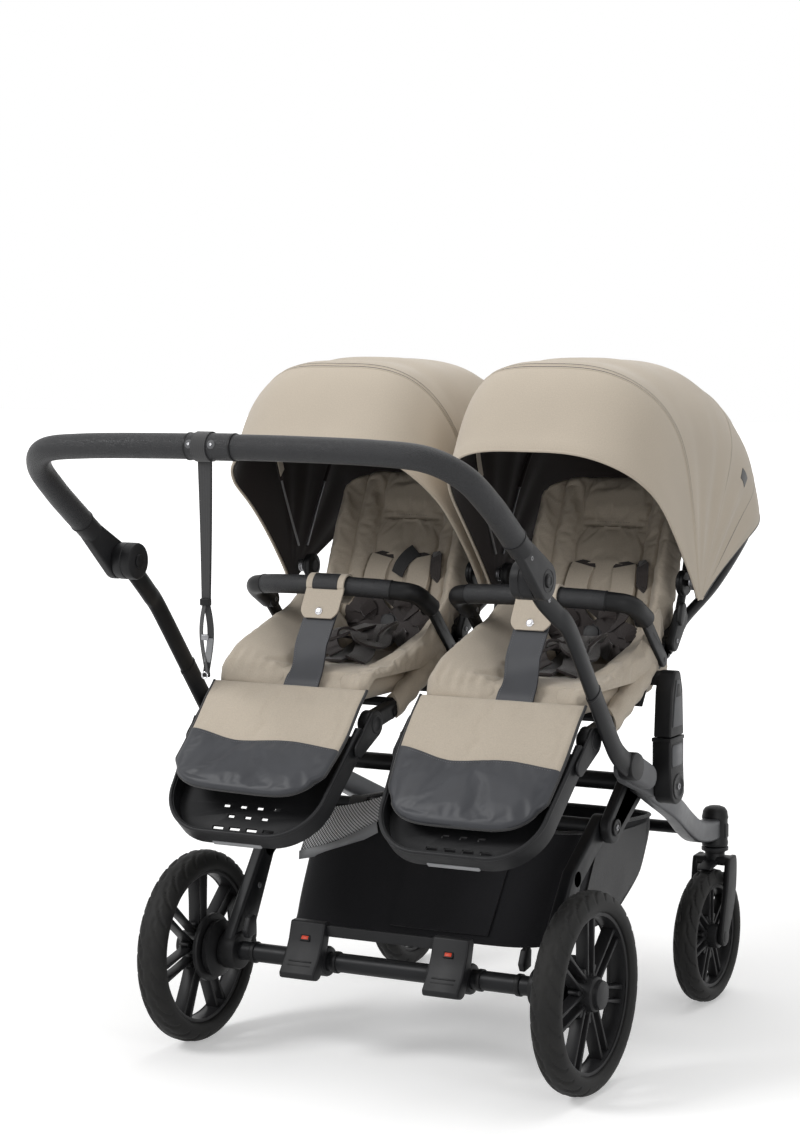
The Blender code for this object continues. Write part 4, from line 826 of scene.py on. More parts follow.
def smooth_rows(rows, steps=6):
    """Fills in rows of numbers along a smooth curve."""
    filled = []
    for i in range(len(rows) - 1):
        a = rows[max(i - 1, 0)]
        b = rows[i]
        c = rows[i + 1]
        d = rows[min(i + 2, len(rows) - 1)]
        for k in range(steps):
            t = k / steps
            filled.append(tuple(0.5 * (2 * q + (r - p) * t + (2 * p - 5 * q + 4 * r - s) * t ** 2
                + (3 * q - p - 3 * r + s) * t ** 3) for p, q, r, s in zip(a, b, c, d)))
    filled.append(tuple(rows[-1]))
    return filled


class STROLLER_OT_chassis(bpy.types.Operator):
    """Side plates, front legs, seat posts, centre tower and crossbars"""
    bl_idname = "stroller.chassis"
    bl_label = "Chassis"

    def execute(self, context):
        for name, side in SIDES:
            side_plate(name, side)
            front_leg(name, side)
            seat_post(name, side)
            rear_leg(name, side)
        bar = pipe([at(x, *HINGE) for x in (-0.2826, -0.1, 0.1, 0.2826)], 0.014, 40)
        tower = slab([(0.249, 0.401), (0.291, 0.401), (0.297, 0.409), (0.297, 0.494), (0.293, 0.4998),
            (0.247, 0.4998), (0.243, 0.494), (0.243, 0.409)], -0.0299, 0.0299, 0.0045, 4)
        cuts = [block(at(s * 0.0156 - 0.0075, 0.258, 0.47), at(s * 0.0156 + 0.0075, 0.282, 0.51), 0)
            for s in (-1, 1)]
        for cut in cuts:
            carve(tower, cut)
        face = slab([(0.2442, 0.428), (0.2442, 0.48), (0.2428, 0.4785), (0.2428, 0.4295)], -0.02, 0.02,
            0.0006, 2)
        settle(join(tower, face), "centre_tower", "black", "chassis", ["centre_bridge"])
        settle(bar, "centre_bar", "paint", "chassis")
        for x in (-0.062, 0.062):
            settle(puck(at(x, *HINGE), (1, 0, 0), 0.0172, -0.014, 0.014, 0.003),
                f"centre_collar_{'left' if x < 0 else 'right'}", "black", "chassis")
        settle(pipe(catmull([at(0.0, 0.2435, 0.462), at(0.0, 0.236, 0.461), at(0.0, 0.2335, 0.452),
            at(0.0, 0.235, 0.444), at(0.0, 0.24, 0.442)], 5), 0.0015, 10), "centre_hook", "chrome", "chassis")
        settle(pipe([at(x, *CROSSBAR) for x in (-0.2826, 0.0, 0.2826)], 0.011, 36), "rear_crossbar_tube",
            "paint", "chassis", ["rear_crossbar"])
        settle(pipe([at(x, *FRONT_BAR) for x in (-0.2716, 0.0, 0.2716)], 0.01, 32), "front_crossbar_tube",
            "paint", "chassis", ["front_crossbar"])
        return {"FINISHED"}


def carve(obj, cutter):
    """Cuts one shape out of another and removes the cutter."""
    apply(obj, "BOOLEAN", operation="DIFFERENCE", solver="EXACT", object=cutter)
    bpy.data.objects.remove(cutter, do_unlink=True)
    return obj


def side_plate(name, side):
    x0 = side * PLATE_X
    x1 = side * (PLATE_X + 0.0169)
    plate = slab(belt(HINGE, CROSSBAR, 0.034, 0.025, 20), x0, x1, 0.004, 4)
    rib = slab(belt(HINGE, CROSSBAR, 0.022, 0.014, 16), x0 - side * 0.0012, x1, 0.001, 2)
    settle(join(plate, rib), f"side_plate_{name}_casting", "dark", "chassis", [f"side_plate_{name}"])
    settle(puck(at(0, *HINGE), (side, 0, 0), 0.0099, PLATE_X + 0.004, 0.3384, 0.0008, 32),
        f"hinge_pin_{name}", "steel", "chassis")
    settle(puck(at(0, *CROSSBAR), (side, 0, 0), 0.0135, 0.2995, 0.3032, 0.0012, 40, 0.0008),
        f"crossbar_cap_{name}", "black", "chassis")
    screw(f"crossbar_screw_{name}", at(side * 0.3026, *CROSSBAR), (side, 0, 0), 0.0048, "chassis")


def front_leg(name, side):
    rows = smooth_rows([(0.31015, 0.252, 0.43, 0.0097, 0.0185), (0.31015, 0.282, 0.417, 0.0097, 0.019),
        (0.31015, 0.312, 0.402, 0.0098, 0.019), (0.30615, 0.4, 0.362, 0.0119, 0.0183),
        (0.293, 0.48, 0.324, 0.0138, 0.018), (0.2865, 0.535, 0.3, 0.0148, 0.0178),
        (0.285, 0.585, 0.29, 0.015, 0.0176), (0.285, 0.632, 0.289, 0.015, 0.0172)])
    path = [(x, y + AXLE_Y, z, hx, hz) for x, y, z, hx, hz in rows]
    settle(rounded_beam(path, side, 0.34), f"front_leg_{name}_beam", "satin", "chassis",
        [f"front_leg_{name}"])
    x = side * FRONT_WHEEL["x"]
    stem = at(x, STEM_Y, 0.0)
    settle(lathe([(0.0, 0.2571), (0.015, 0.2571), (0.0215, 0.259), (0.022, 0.261), (0.022, 0.266),
        (0.0212, 0.2672), (0.0212, 0.303), (0.0222, 0.3045), (0.0222, 0.3085), (0.0214, 0.31),
        (0.0205, 0.317), (0.0165, 0.3225), (0.0095, 0.3252), (0.0, 0.3258)], stem, (0, 0, 1), 64),
        f"caster_housing_{name}", "black", "chassis")
    window = block(at(x - 0.0085, STEM_Y + 0.012, 0.272), at(x + 0.0085, STEM_Y + 0.0222, 0.298), 0.003)
    inset = block(at(x - 0.0062, STEM_Y + 0.02, 0.2745), at(x + 0.0062, STEM_Y + 0.0229, 0.2955), 0.0022)
    settle(window, f"caster_window_{name}", "dark", "chassis")
    settle(inset, f"caster_window_{name}_inset", "black", "chassis")
    settle(block(at(x + side * 0.0135, STEM_Y - 0.0075, 0.272), at(x + side * 0.0224, STEM_Y + 0.0075, 0.297),
        0.003), f"caster_badge_{name}", "dark", "chassis")
    settle(puck(at(side * 0.31015, *HINGE), (side, 0, 0), 0.0195, -0.0099, 0.0099, 0.003, 48),
        f"front_leg_{name}_eye", "dark", "chassis")


def seat_post(name, side):
    """Post on the hinge pin that carries a seat, with its round foot, badge plate, cap and a slot for the
    seat's peg.
    """
    x0 = side * 0.3389
    x1 = side * 0.3698
    outline = arc(HINGE, 0.028, radians(205), radians(335), 20)
    outline += [(0.2968, 0.452), (0.2968, 0.492), (0.294, 0.4996), (0.246, 0.4996), (0.2432, 0.492),
        (0.2432, 0.452)]
    post = slab(outline, x0, x1, 0.0045, 4)
    x = side * 0.3554
    cut = block(at(x - 0.0075, 0.258, 0.47), at(x + 0.0075, 0.282, 0.52), 0)
    carve(post, cut)
    settle(post, f"seat_post_{name}", "black", "chassis", [f"adaptor_{name}"])
    settle(slab([(0.25, 0.452), (0.29, 0.452), (0.292, 0.458), (0.292, 0.484), (0.289, 0.49), (0.251, 0.49),
        (0.248, 0.484), (0.248, 0.458)], side * 0.369, side * 0.3704, 0.0004, 2), f"seat_post_{name}_badge",
        "dark", "chassis")
    settle(slab([(0.252, 0.4545), (0.288, 0.4545), (0.2898, 0.46), (0.2898, 0.483), (0.2874, 0.4875),
        (0.2526, 0.4875), (0.2502, 0.483), (0.2502, 0.46)], side * 0.37, side * 0.37075, 0.0003, 2),
        f"seat_post_{name}_badge_face", "satin", "chassis")
    settle(puck(at(0, *HINGE), (side, 0, 0), 0.0205, 0.369, 0.3712, 0.001, 48, 0.0009),
        f"seat_post_{name}_cap", "dark", "chassis")
    screw(f"seat_post_{name}_screw", at(side * 0.3704, *HINGE), (side, 0, 0), 0.0052, "chassis")
    collar = slab([(0.2424, 0.4935), (0.2976, 0.4935), (0.2976, 0.4995), (0.2424, 0.4995)], side * 0.3385,
        side * 0.3702, 0.001, 2)
    carve(collar, block(at(x - 0.0078, 0.257, 0.48), at(x + 0.0078, 0.283, 0.52), 0))
    settle(collar, f"seat_post_{name}_rim", "black", "chassis")


def rear_leg(name, side):
    x0 = side * 0.2608
    x1 = side * 0.2826
    upper = slab(belt(CROSSBAR, LEG_KNEE, 0.0188, 0.0175, 18), x0, x1, 0.0055, 4)
    lower = slab(belt((0.0, REAR_WHEEL["r"]), LEG_KNEE, 0.0295, 0.0175, 18), x0, x1, 0.0055, 4)
    settle(join(upper, lower), f"rear_leg_{name}_arm", "paint", "rear_frame", [f"rear_leg_{name}"])
    settle(puck(at(0, 0.0, REAR_WHEEL["r"]), (side, 0, 0), 0.03, 0.256, 0.287, 0.004, 56),
        f"rear_leg_{name}_hub", "black", "rear_frame")
    screw(f"rear_leg_{name}_screw", at(side * 0.2608, 0.06, 0.246), (-side, 0, 0), 0.0048, "rear_frame")


class STROLLER_OT_axle(bpy.types.Operator):
    """Rear axle with its brake drums, and the two brake pedals joined by a flat bar"""
    bl_idname = "stroller.axle"
    bl_label = "Axle and brake"

    def execute(self, context):
        height = REAR_WHEEL["r"]
        tube = pipe([at(x, 0.0, height) for x in (-0.2699, -0.1, 0.1, 0.2699)], 0.015, 48)
        pieces = []
        for name, side in SIDES:
            settle(lathe([(0.0, 0.2665), (0.024, 0.2665), (0.024, 0.288), (0.032, 0.2905), (0.045, 0.2965),
                (0.045, 0.304), (0.0425, 0.3055), (0.0, 0.3055)], at(0, 0, height), (side, 0, 0), 72),
                f"brake_drum_{name}", "black", "rear_frame")
            settle(puck(at(0, 0, height), (side, 0, 0), 0.0058, 0.3, 0.3538, 0.0006, 24),
                f"rear_axle_pin_{name}", "steel", "rear_frame")
            pieces += [puck(at(side * x, 0, height), (1, 0, 0), 0.0172, -0.004, 0.004, 0.001)
                for x in (0.0835, 0.1665, 0.232)]
            settle(slab([(-0.012, 0.176), (0.01, 0.18), (0.012, 0.206), (0.006, 0.212), (-0.008, 0.2085),
                (-0.018, 0.188)], side * 0.236, side * 0.246, 0.002), f"release_lever_{name}", "dark",
                "rear_frame")
        settle(join(*pieces), "axle_collars", "black", "rear_frame")
        settle(tube, "rear_axle_tube", "paint", "rear_frame", ["rear_axle"])

        settle(block(at(-0.15, -0.0146, 0.1948), at(0.15, -0.0094, 0.2122), 0.0012), "brake_bar", "dark",
            "brake", ["brake_pedals"])
        for name, side in SIDES:
            x = side * 0.125
            sleeve = puck(at(x, 0, height), (1, 0, 0), 0.0238, -0.0288, 0.0288, 0.004, 56)
            carve(sleeve, lathe([(0.0, -0.05), (0.0154, -0.05), (0.0154, 0.05), (0.0, 0.05)],
                at(x, 0, height), (1, 0, 0), 48))
            back = slab([(-0.019, 0.2165), (-0.005, 0.217), (0.0, 0.209), (-0.008, 0.18), (-0.033, 0.133),
                (-0.042, 0.13), (-0.056, 0.1335), (-0.0575, 0.142), (-0.04, 0.164), (-0.027, 0.19)],
                x - 0.0308, x + 0.0308, 0.0032, 4)
            web = slab([(-0.004, 0.172), (0.01, 0.16), (0.004, 0.142), (-0.022, 0.14), (-0.044, 0.1345),
                (-0.03, 0.17), (-0.016, 0.196)], x - 0.024, x + 0.024, 0.002, 2)
            settle(join(sleeve, back, web), f"brake_pedal_{name}", "dark", "brake")
            along = Vector((0.0, -0.0175, -0.026)).normalized()
            out = Vector((0.0, -0.83, 0.557)).normalized()
            frame_at = Matrix(((1, 0, 0, 0), (0, along.y, out.y, 0), (0, along.z, out.z, 0), (0, 0, 0, 1)))
            corner = Matrix.Translation(at(x, -0.0265, 0.1925)) @ frame_at
            settle(slab([(-0.0085, -0.0045), (0.0085, -0.0045), (0.0085, 0.0055), (-0.0085, 0.0055)], -0.003,
                0.0016, 0.0009, 2, place=corner), f"brake_indicator_{name}_frame", "black", "brake")
            settle(slab([(-0.0058, -0.0024), (0.0058, -0.0024), (0.0058, 0.0034), (-0.0058, 0.0034)], 0.0,
                0.0021, 0.0003, 2, place=corner), f"brake_indicator_{name}", "orange", "brake")
            grips = []
            for k in range(4):
                slide = Matrix.Translation(at(x, -0.0445 - 0.0045 * k * 0.8, 0.159 - 0.0062 * k))
                grips.append(slab([(-0.02, -0.001), (0.02, -0.001), (0.02, 0.001), (-0.02, 0.001)], -0.003,
                    0.0011, 0.0004, 2, place=slide @ frame_at))
            settle(join(*grips), f"brake_pedal_{name}_grips", "black", "brake")
        return {"FINISHED"}


# Handle
PIVOT = (-0.183, 0.783)
ARM_END = Vector((0.358, -0.262, 0.841))
HANDLE_R = 0.018


def handle_path():
    """Centre line of the leather covered bar, from the left joint to the right joint."""
    along = (ARM_END - Vector((ARM_END.x, *PIVOT))).normalized()
    half = [ARM_END - along * 0.016, ARM_END + along * 0.02, ARM_END + along * 0.05,
        Vector((0.3565, -0.342, 0.9)), Vector((0.346, -0.394, 0.938)), Vector((0.309, -0.43, 0.964)),
        Vector((0.235, -0.44, 0.972)), Vector((0.11, -0.443, 0.975))]
    path = half + [Vector((0.0, -0.4437, 0.9755))] + [Vector((-p.x, p.y, p.z)) for p in half[::-1]]
    return [at(*p) for p in catmull(path, 12)][::-1]


def surface_line(points, radius, angle):
    """A line along the surface of a tube, at an angle from its top."""
    line = []
    for i, place in enumerate(points):
        along = (points[min(i + 1, len(points) - 1)] - points[max(i - 1, 0)]).normalized()
        up = (Vector((0, 0, 1)) - along * along.z).normalized()
        out = along.cross(up)
        line.append(place + (up * cos(angle) + out * sin(angle)) * radius)
    return line


def ring_at(path, index, radius, width, depth=0.0008):
    """A narrow band round a tube at one point of its path."""
    along = (path[index + 1] - path[index - 1]).normalized()
    profile = [(radius - 0.004, -width / 2), (radius + 0.5 * depth, -width / 2), (radius + depth, -width / 3),
        (radius + depth, width / 3), (radius + 0.5 * depth, width / 2), (radius - 0.004, width / 2)]
    return lathe(profile, path[index], along, 48)


def handle_leg(name, side):
    """Flat oval leg in two sections, with the round head, hinge block and knuckle."""
    flat = 0.0095 / 0.018
    jog = -0.0105 / flat
    path = catmull([(jog, *PIVOT), (jog, -0.15, 0.754), (0.5 * jog, -0.115, 0.728), (0, -0.08, 0.7),
        (0, 0.0, 0.6), (0, 0.06, 0.525), (0, 0.085, 0.499), (0, 0.12, 0.478), (0, 0.172, 0.455)], 10)
    cut = min(range(len(path)), key=lambda i: abs(path[i].z - 0.602))
    place = Matrix.Translation(at(side * 0.352, 0, 0)) @ Matrix.Diagonal((side * flat, 1, 1, 1))
    for label, part, radius, finish in (("upper", path[:cut + 1], 0.0166, "paint"),
            ("lower", path[cut:], 0.0179, "dark")):
        tube = pipe(part, radius, 36)
        tube.data.transform(place)
        tidy(tube)
        owner = [f"handle_leg_{name}"] if label == "upper" else ()
        settle(tube, f"handle_leg_{name}_{label}", finish, "handle_frame", owner)
    ring = ring_at(path, cut, 0.0176, 0.0045, 0.0009)
    ring.data.transform(place)
    tidy(ring)
    settle(ring, f"handle_leg_{name}_ring", "black", "handle_frame")
    settle(lathe([(0.0, 0.318), (0.024, 0.318), (0.027, 0.3195), (0.028, 0.322), (0.028, 0.3325),
        (0.027, 0.3335), (0.027, 0.3347), (0.028, 0.3357), (0.028, 0.3475), (0.0265, 0.351), (0.0, 0.351)],
        at(0, *PIVOT), (side, 0, 0), 64), f"handle_drum_{name}", "dark", "handle_frame")
    settle(puck(at(0, *PIVOT), (side, 0, 0), 0.0105, 0.315, 0.319, 0.001, 40, 0.0008),
        f"handle_drum_{name}_cap", "black", "handle_frame")
    screw(f"handle_leg_{name}_screw", at(side * 0.3506, -0.146, 0.7515), (side, 0, 0), 0.0034, "handle_frame")
    sleeve = slab(belt((0.19, 0.4485), (0.134, 0.473), 0.019, 0.0196, 16), side * 0.3395, side * 0.3625,
        0.0048, 4)
    lip = slab(belt((0.1395, 0.4708), (0.132, 0.474), 0.0206, 0.0206, 16), side * 0.339, side * 0.3632,
        0.0018)
    inner = slab(belt(HINGE, (0.165, 0.458), 0.021, 0.0185, 20), side * 0.3205, side * 0.3384,
        0.0032, 4)
    bridge = slab(belt((0.2, 0.446), (0.15, 0.4655), 0.0165, 0.0165, 16), side * 0.3225, side * 0.36, 0.0032)
    settle(join(sleeve, inner, bridge), f"handle_knuckle_{name}", "grey", "handle_frame")
    settle(lip, f"handle_knuckle_{name}_lip", "black", "handle_frame")


def wrist_strap():
    """Webbing that loops over the bar, hangs plumb and doubles below its slider."""
    centre = at(-0.03, -0.4434, 0.9754)
    count = 40
    loop = []
    normals = []
    for k in range(count + 1):
        angle = radians(-78 + 336 * k / count)
        out = Vector((0, cos(angle), sin(angle)))
        loop.append(centre + out * (HANDLE_R + 0.0024))
        normals.append(out)
    settle(ribbon(loop, normals, 0.0235, 0.0016), "wrist_strap_loop", "tape", "handle", ["wrist_strap"])
    top = centre + Vector((0, -0.003, -HANDLE_R - 0.0014))
    hang = [top + Vector((0.0012 * sin(3.1 * t), -0.0016 * sin(2.2 * t), -0.196 * t))
        for t in (k / 24 for k in range(25))]
    widths = [0.0215 - 0.0085 * (k / 24) for k in range(25)]
    second = [p + Vector((0.0006, 0.0024, 0.0)) for p in hang]
    face = [Vector((0, -1, 0))] * 25
    settle(ribbon(hang, face, 0.0155, 0.0013, widths), "wrist_strap_front", "tape", "handle")
    settle(ribbon(second, face, 0.0155, 0.0013, widths), "wrist_strap_back", "tape", "handle")
    split = hang[-1]
    for label, lean in (("left", -1), ("right", 1)):
        cord = []
        for k in range(29):
            t = k / 28
            swing = sin(pi * t) * 0.006 + 0.0016 * sin(5 * t)
            cord.append(split + Vector((lean * swing, 0.0008 * lean, -0.104 * t + 0.003)))
        turned = [(Vector((0.5 * lean, -1, 0))).normalized()] * 29
        settle(ribbon(cord, turned, 0.0095, 0.0013), f"wrist_strap_strand_{label}", "tape", "handle")
    settle(ribbon([p + Vector((0.0, -0.0016, 0.0)) for p in cord[14:24]], turned[14:24], 0.0085, 0.0012),
        "wrist_strap_tag", "strip", "handle")
    settle(pipe([cord[-1] + Vector((0.0046 * cos(TURN * k / 24), -0.003, 0.0046 * sin(TURN * k / 24)))
        for k in range(25)], 0.0009, 10), "wrist_strap_eye", "chrome", "handle")
    settle(block(split + Vector((-0.0075, -0.0042, -0.004)), split + Vector((0.0075, 0.0042, 0.006)), 0.0015),
        "wrist_strap_slider", "black", "handle")
    settle(block(split + Vector((-0.0055, -0.0048, -0.052)), split + Vector((0.0055, 0.0034, -0.044)),
        0.0012), "wrist_strap_buckle", "steel", "handle")
    settle(block(split + Vector((-0.0052, -0.0026, -0.1035)), split + Vector((0.0052, 0.0026, -0.0965)),
        0.0012), "wrist_strap_end", "black", "handle")


class STROLLER_OT_handle(bpy.types.Operator):
    """Handle legs, joints, leather covered bar, its sleeve and the wrist strap"""
    bl_idname = "stroller.handle"
    bl_label = "Handle"

    def execute(self, context):
        path = handle_path()
        ends = (10, len(path) - 11)
        settle(pipe(path[ends[0]:ends[1] + 1], HANDLE_R, 40), "handle_cover", "leather", "handle",
            ["handle_bar"])
        for label, angle in (("front", -0.62), ("rear", -0.36)):
            line = surface_line(path[ends[0] + 1:ends[1]], HANDLE_R + 0.0001, angle)
            settle(stitches(line, 0.00042, 0.003, 0.0016), f"handle_stitch_{label}", "grey_thread", "handle")
        line = surface_line(path[ends[0] + 1:ends[1]], HANDLE_R - 0.0001, -0.49)
        settle(pipe(line, 0.00042, 6), "handle_seam", "black", "handle")
        for index, name in ((ends[0], "left"), (ends[1], "right")):
            settle(ring_at(path, index, HANDLE_R, 0.0026), f"handle_cover_ring_{name}", "black", "handle")
        for index, name, side in ((0, "left", -1), (len(path) - 1, "right", 1)):
            part = path[:ends[0] + 1] if side < 0 else path[ends[1]:]
            neck = pipe(part, HANDLE_R - 0.0006, 36)
            cheek = slab(belt((PIVOT[0], PIVOT[1]), (-0.252, 0.8335), 0.028, 0.0172, 24), side * 0.3516,
                side * 0.3674, 0.004, 4)
            bore = lathe([(0.0, 0.3618), (0.0102, 0.3618), (0.0102, 0.38), (0.0, 0.38)], at(0, *PIVOT),
                (side, 0, 0), 40)
            carve(cheek, bore)
            settle(join(neck, cheek), f"handle_joint_{name}_shell", "dark", "handle",
                [f"handle_joint_{name}"])
            settle(lathe([(0.0, 0.3622), (0.0099, 0.3622), (0.0099, 0.369), (0.0092, 0.37), (0.0068, 0.3703),
                (0.006, 0.3697), (0.0, 0.3697)], at(0, *PIVOT), (side, 0, 0), 48),
                f"handle_button_{name}_cap", "black", f"handle_button_{name}", [f"handle_button_{name}"])
            settle(lathe([(0.015, 0.3672), (0.0158, 0.368), (0.0166, 0.368), (0.0174, 0.3672)], at(0, *PIVOT),
                (side, 0, 0), 56), f"handle_joint_{name}_ring", "black", "handle")
            spot = at(side * 0.366, -0.234, 0.819)
            screw(f"handle_joint_{name}_screw", spot, (side, 0, 0), 0.0036, "handle")
            handle_leg(name, side)
        sleeve = [p for p in path if -0.058 <= p.x <= 0.0185]
        settle(pipe(sleeve, HANDLE_R + 0.0011, 40), "handle_sleeve", "leather", "handle")
        low = path.index(sleeve[0])
        high = path.index(sleeve[-1])
        for index, name in ((low, "left"), (high, "right")):
            settle(ring_at(path, index, HANDLE_R + 0.0008, 0.003), f"handle_sleeve_ring_{name}", "black",
                "handle")
        for k, x in enumerate((-0.047, -0.013)):
            near = min(path, key=lambda p: abs(p.x - x))
            out = Vector((0, -sin(1.35), cos(1.35)))
            settle(puck(near, out, 0.0062, HANDLE_R - 0.002, HANDLE_R + 0.0016, 0.0006, 32),
                f"strap_stud_plate_{k}", "grey", "handle")
            screw(f"strap_stud_{k}", near + out * (HANDLE_R + 0.0013), out, 0.0022, "handle", "chrome")
        wrist_strap()
        return {"FINISHED"}


# Seats
SEATS = (("left", -1, -0.1855), ("right", 1, 0.1855))
SIDE_TUBE = 0.137
CLAMP = (0.291, 0.615)
BUMPER_ELBOW = (0.222, 0.686)
RECLINE = (0.378, 0.65)
CANOPY_HINGE = (0.366, 0.728)
FOOT_HINGE = (0.035, 0.524)
CREASE = (0.345, 0.575)
BACK_ANGLE = radians(67)
FOOT_ANGLE = radians(228)


def back_place(x):
    """The backrest's plane: across, up the back, out of its front."""
    up = (cos(BACK_ANGLE), sin(BACK_ANGLE))
    place = Matrix(((1, 0, 0, 0), (0, up[0], -up[1], 0), (0, up[1], up[0], 0), (0, 0, 0, 1)))
    return Matrix.Translation(at(x, *CREASE)) @ place


def foot_place(x):
    """The footrest's plane: across, down its length, out of its top."""
    down = (cos(FOOT_ANGLE), sin(FOOT_ANGLE))
    place = Matrix(((-1, 0, 0, 0), (0, down[0], down[1], 0), (0, down[1], -down[0], 0), (0, 0, 0, 1)))
    return Matrix.Translation(at(x, *FOOT_HINGE)) @ place


def both_halves(points, middle=None):
    """A right half of places and its mirror image, as one path from right to left."""
    right = [Vector(p) for p in points]
    left = [Vector((-p.x, p.y, p.z)) for p in right[::-1]]
    return right + ([Vector(middle)] if middle else []) + left


def seat_side(name, label, s, x, body):
    key = f"{name}_{label}"
    out = Vector((s, 0, 0))
    arm = slab(belt(FOOT_HINGE, (0.115, 0.537), 0.014, 0.013, 16), x + s * 0.1268, x + s * 0.1473, 0.0042, 4)
    disc = puck(at(x, *FOOT_HINGE), out, 0.0208, 0.1322, 0.1493, 0.003, 56, 0.001)
    settle(join(arm, disc), f"foot_arm_{key}", "black", body)
    along = Vector((0, 0.176, 0.078)).normalized()
    settle(lathe([(0.0088, -0.012), (0.0118, -0.012), (0.013, -0.01), (0.013, 0.026), (0.0118, 0.03),
        (0.0088, 0.03)], at(x + s * SIDE_TUBE, 0.112, 0.5357), along, 40), f"side_tube_end_{key}", "black",
        body)
    plate = slab([(0.2434, 0.5004), (0.2966, 0.5004), (0.2925, 0.572), (0.2838, 0.598), (0.279, 0.6018),
        (0.265, 0.6018), (0.26, 0.598), (0.2495, 0.572)], x + s * 0.1555, x + s * 0.1843, 0.0048, 4)
    peg = block(at(x + s * 0.1628, 0.2584, 0.4712), at(x + s * 0.177, 0.2816, 0.51), 0.001)
    lug = block(at(x + s * 0.137, 0.2585, 0.5785), at(x + s * 0.16, 0.2815, 0.5995), 0.003)
    settle(join(plate, peg, lug), f"seat_mount_{key}", "black", body)
    if (s > 0) == (x > 0):
        latch = slab([(0.252, 0.516), (0.289, 0.516), (0.286, 0.552), (0.277, 0.588), (0.266, 0.588),
            (0.257, 0.552)], x + s * 0.1838, x + s * 0.1858, 0.0006)
        inset = slab([(0.262, 0.562), (0.28, 0.562), (0.2755, 0.582), (0.2675, 0.582)], x + s * 0.1846,
            x + s * 0.1862, 0.0005, 2)
        settle(latch, f"seat_latch_{key}", "grey", body)
        settle(inset, f"seat_latch_{key}_inset", "black", body)
    clamp = slab(belt(CLAMP, (0.366, 0.6455), 0.0158, 0.0132, 18), x + s * 0.1262, x + s * 0.146, 0.0036, 4)
    ribs = [puck(at(x, 0.3 + 0.011 * k, 0.6188 + 0.0045 * k), out, 0.015, 0.1268, 0.1462, 0.0012, 36)
        for k in range(4)]
    pin = puck(at(x, *CLAMP), out, 0.004, 0.144, 0.1545, 0.0004, 20)
    settle(join(clamp, pin, *ribs), f"side_clamp_{key}", "black", body)
    post = pipe([at(x + s * a, b, c) for a, b, c in catmull([(0.137, 0.374, 0.648), (0.141, 0.3735, 0.672),
        (0.147, 0.371, 0.7), (0.153, 0.367, 0.722)], 5)], 0.0068, 20)
    hinge = lathe([(0.0, 0.1462), (0.0165, 0.1462), (0.0195, 0.148), (0.0199, 0.15), (0.0199, 0.1532),
        (0.019, 0.1538), (0.019, 0.1545), (0.0199, 0.1551), (0.0199, 0.1585), (0.0185, 0.1598),
        (0.0, 0.1598)], at(x, *CANOPY_HINGE), out, 48)
    axle = puck(at(x, *CANOPY_HINGE), out, 0.0049, 0.158, 0.1737, 0.0005, 20)
    settle(join(post, hinge, axle), f"canopy_hinge_{key}", "black", body)
    lever = slab(belt((0.352, 0.674), (0.322, 0.637), 0.017, 0.0128, 16), x + s * 0.1472, x + s * 0.16,
        0.0034, 4)
    grip = slab(belt((0.345, 0.69), (0.338, 0.672), 0.01, 0.0085, 12), x + s * 0.156, x + s * 0.164, 0.0024)
    settle(join(lever, grip), f"seat_lever_{key}", "black", body)
    screw(f"seat_lever_{key}_screw", at(x + s * 0.1599, 0.3255, 0.641), out, 0.0036, body)
    settle(puck(at(x, *CANOPY_HINGE), -out, 0.0125, -0.147, -0.1446, 0.0008, 36, 0.0007),
        f"canopy_hinge_{key}_cap", "dark", body)


def backrest_tubes(name, x):
    place = back_place(x)
    body = f"backrest_{name}"
    path = both_halves([(0.1213, 0.0819, -0.0011), (0.1213, 0.088, -0.02), (0.1213, 0.108, -0.0335),
        (0.1213, 0.15, -0.0343), (0.118, 0.235, -0.0343), (0.103, 0.272, -0.0343), (0.075, 0.285, -0.0343)],
        (0, 0.287, -0.0343))
    tube = pipe([place @ p for p in catmull(path, 6)], 0.006, 18)
    discs = [puck(at(x, *RECLINE), Vector((s, 0, 0)), 0.0119, 0.1196, 0.1272, 0.0014, 36) for s in (-1, 1)]
    settle(join(tube, *discs), f"backrest_{name}_tube", "paint", body, [f"backrest_frame_{name}"])


class STROLLER_OT_seat_frames(bpy.types.Operator):
    """Side tubes, clamps, seat mounts, backrest tubes and canopy hinges of both seats"""
    bl_idname = "stroller.seat_frames"
    bl_label = "Seat frames"

    def execute(self, context):
        for name, _, x in SEATS:
            body = f"seat_{name}"
            loop = both_halves([(0.137, 0.1, 0.5304), (0.137, 0.15, 0.5525), (0.137, 0.291, 0.615),
                (0.137, 0.378, 0.65), (0.137, 0.413, 0.668), (0.15, 0.5, 0.713), (0.15, 0.61, 0.77),
                (0.14, 0.645, 0.784), (0.105, 0.678, 0.801)], (0, 0.684, 0.804))
            settle(pipe([at(x + p.x, p.y, p.z) for p in catmull(loop, 8)], 0.009, 24),
                f"seat_frame_{name}_tube", "paint", body, [f"seat_frame_{name}"])
            cradle = both_halves([(0.137, 0.255, 0.598), (0.134, 0.255, 0.575), (0.128, 0.255, 0.5495)])
            rod = pipe([at(x + p.x, p.y, p.z) for p in cradle], 0.006, 16)
            bar = pipe([at(x + s, 0.115, 0.547) for s in (-0.137, 0.0, 0.137)], 0.0075, 20)
            settle(join(rod, bar), f"seat_frame_{name}_bars", "paint", body)
            for label, s in SIDES:
                seat_side(name, label, s, x, body)
            backrest_tubes(name, x)
        return {"FINISHED"}


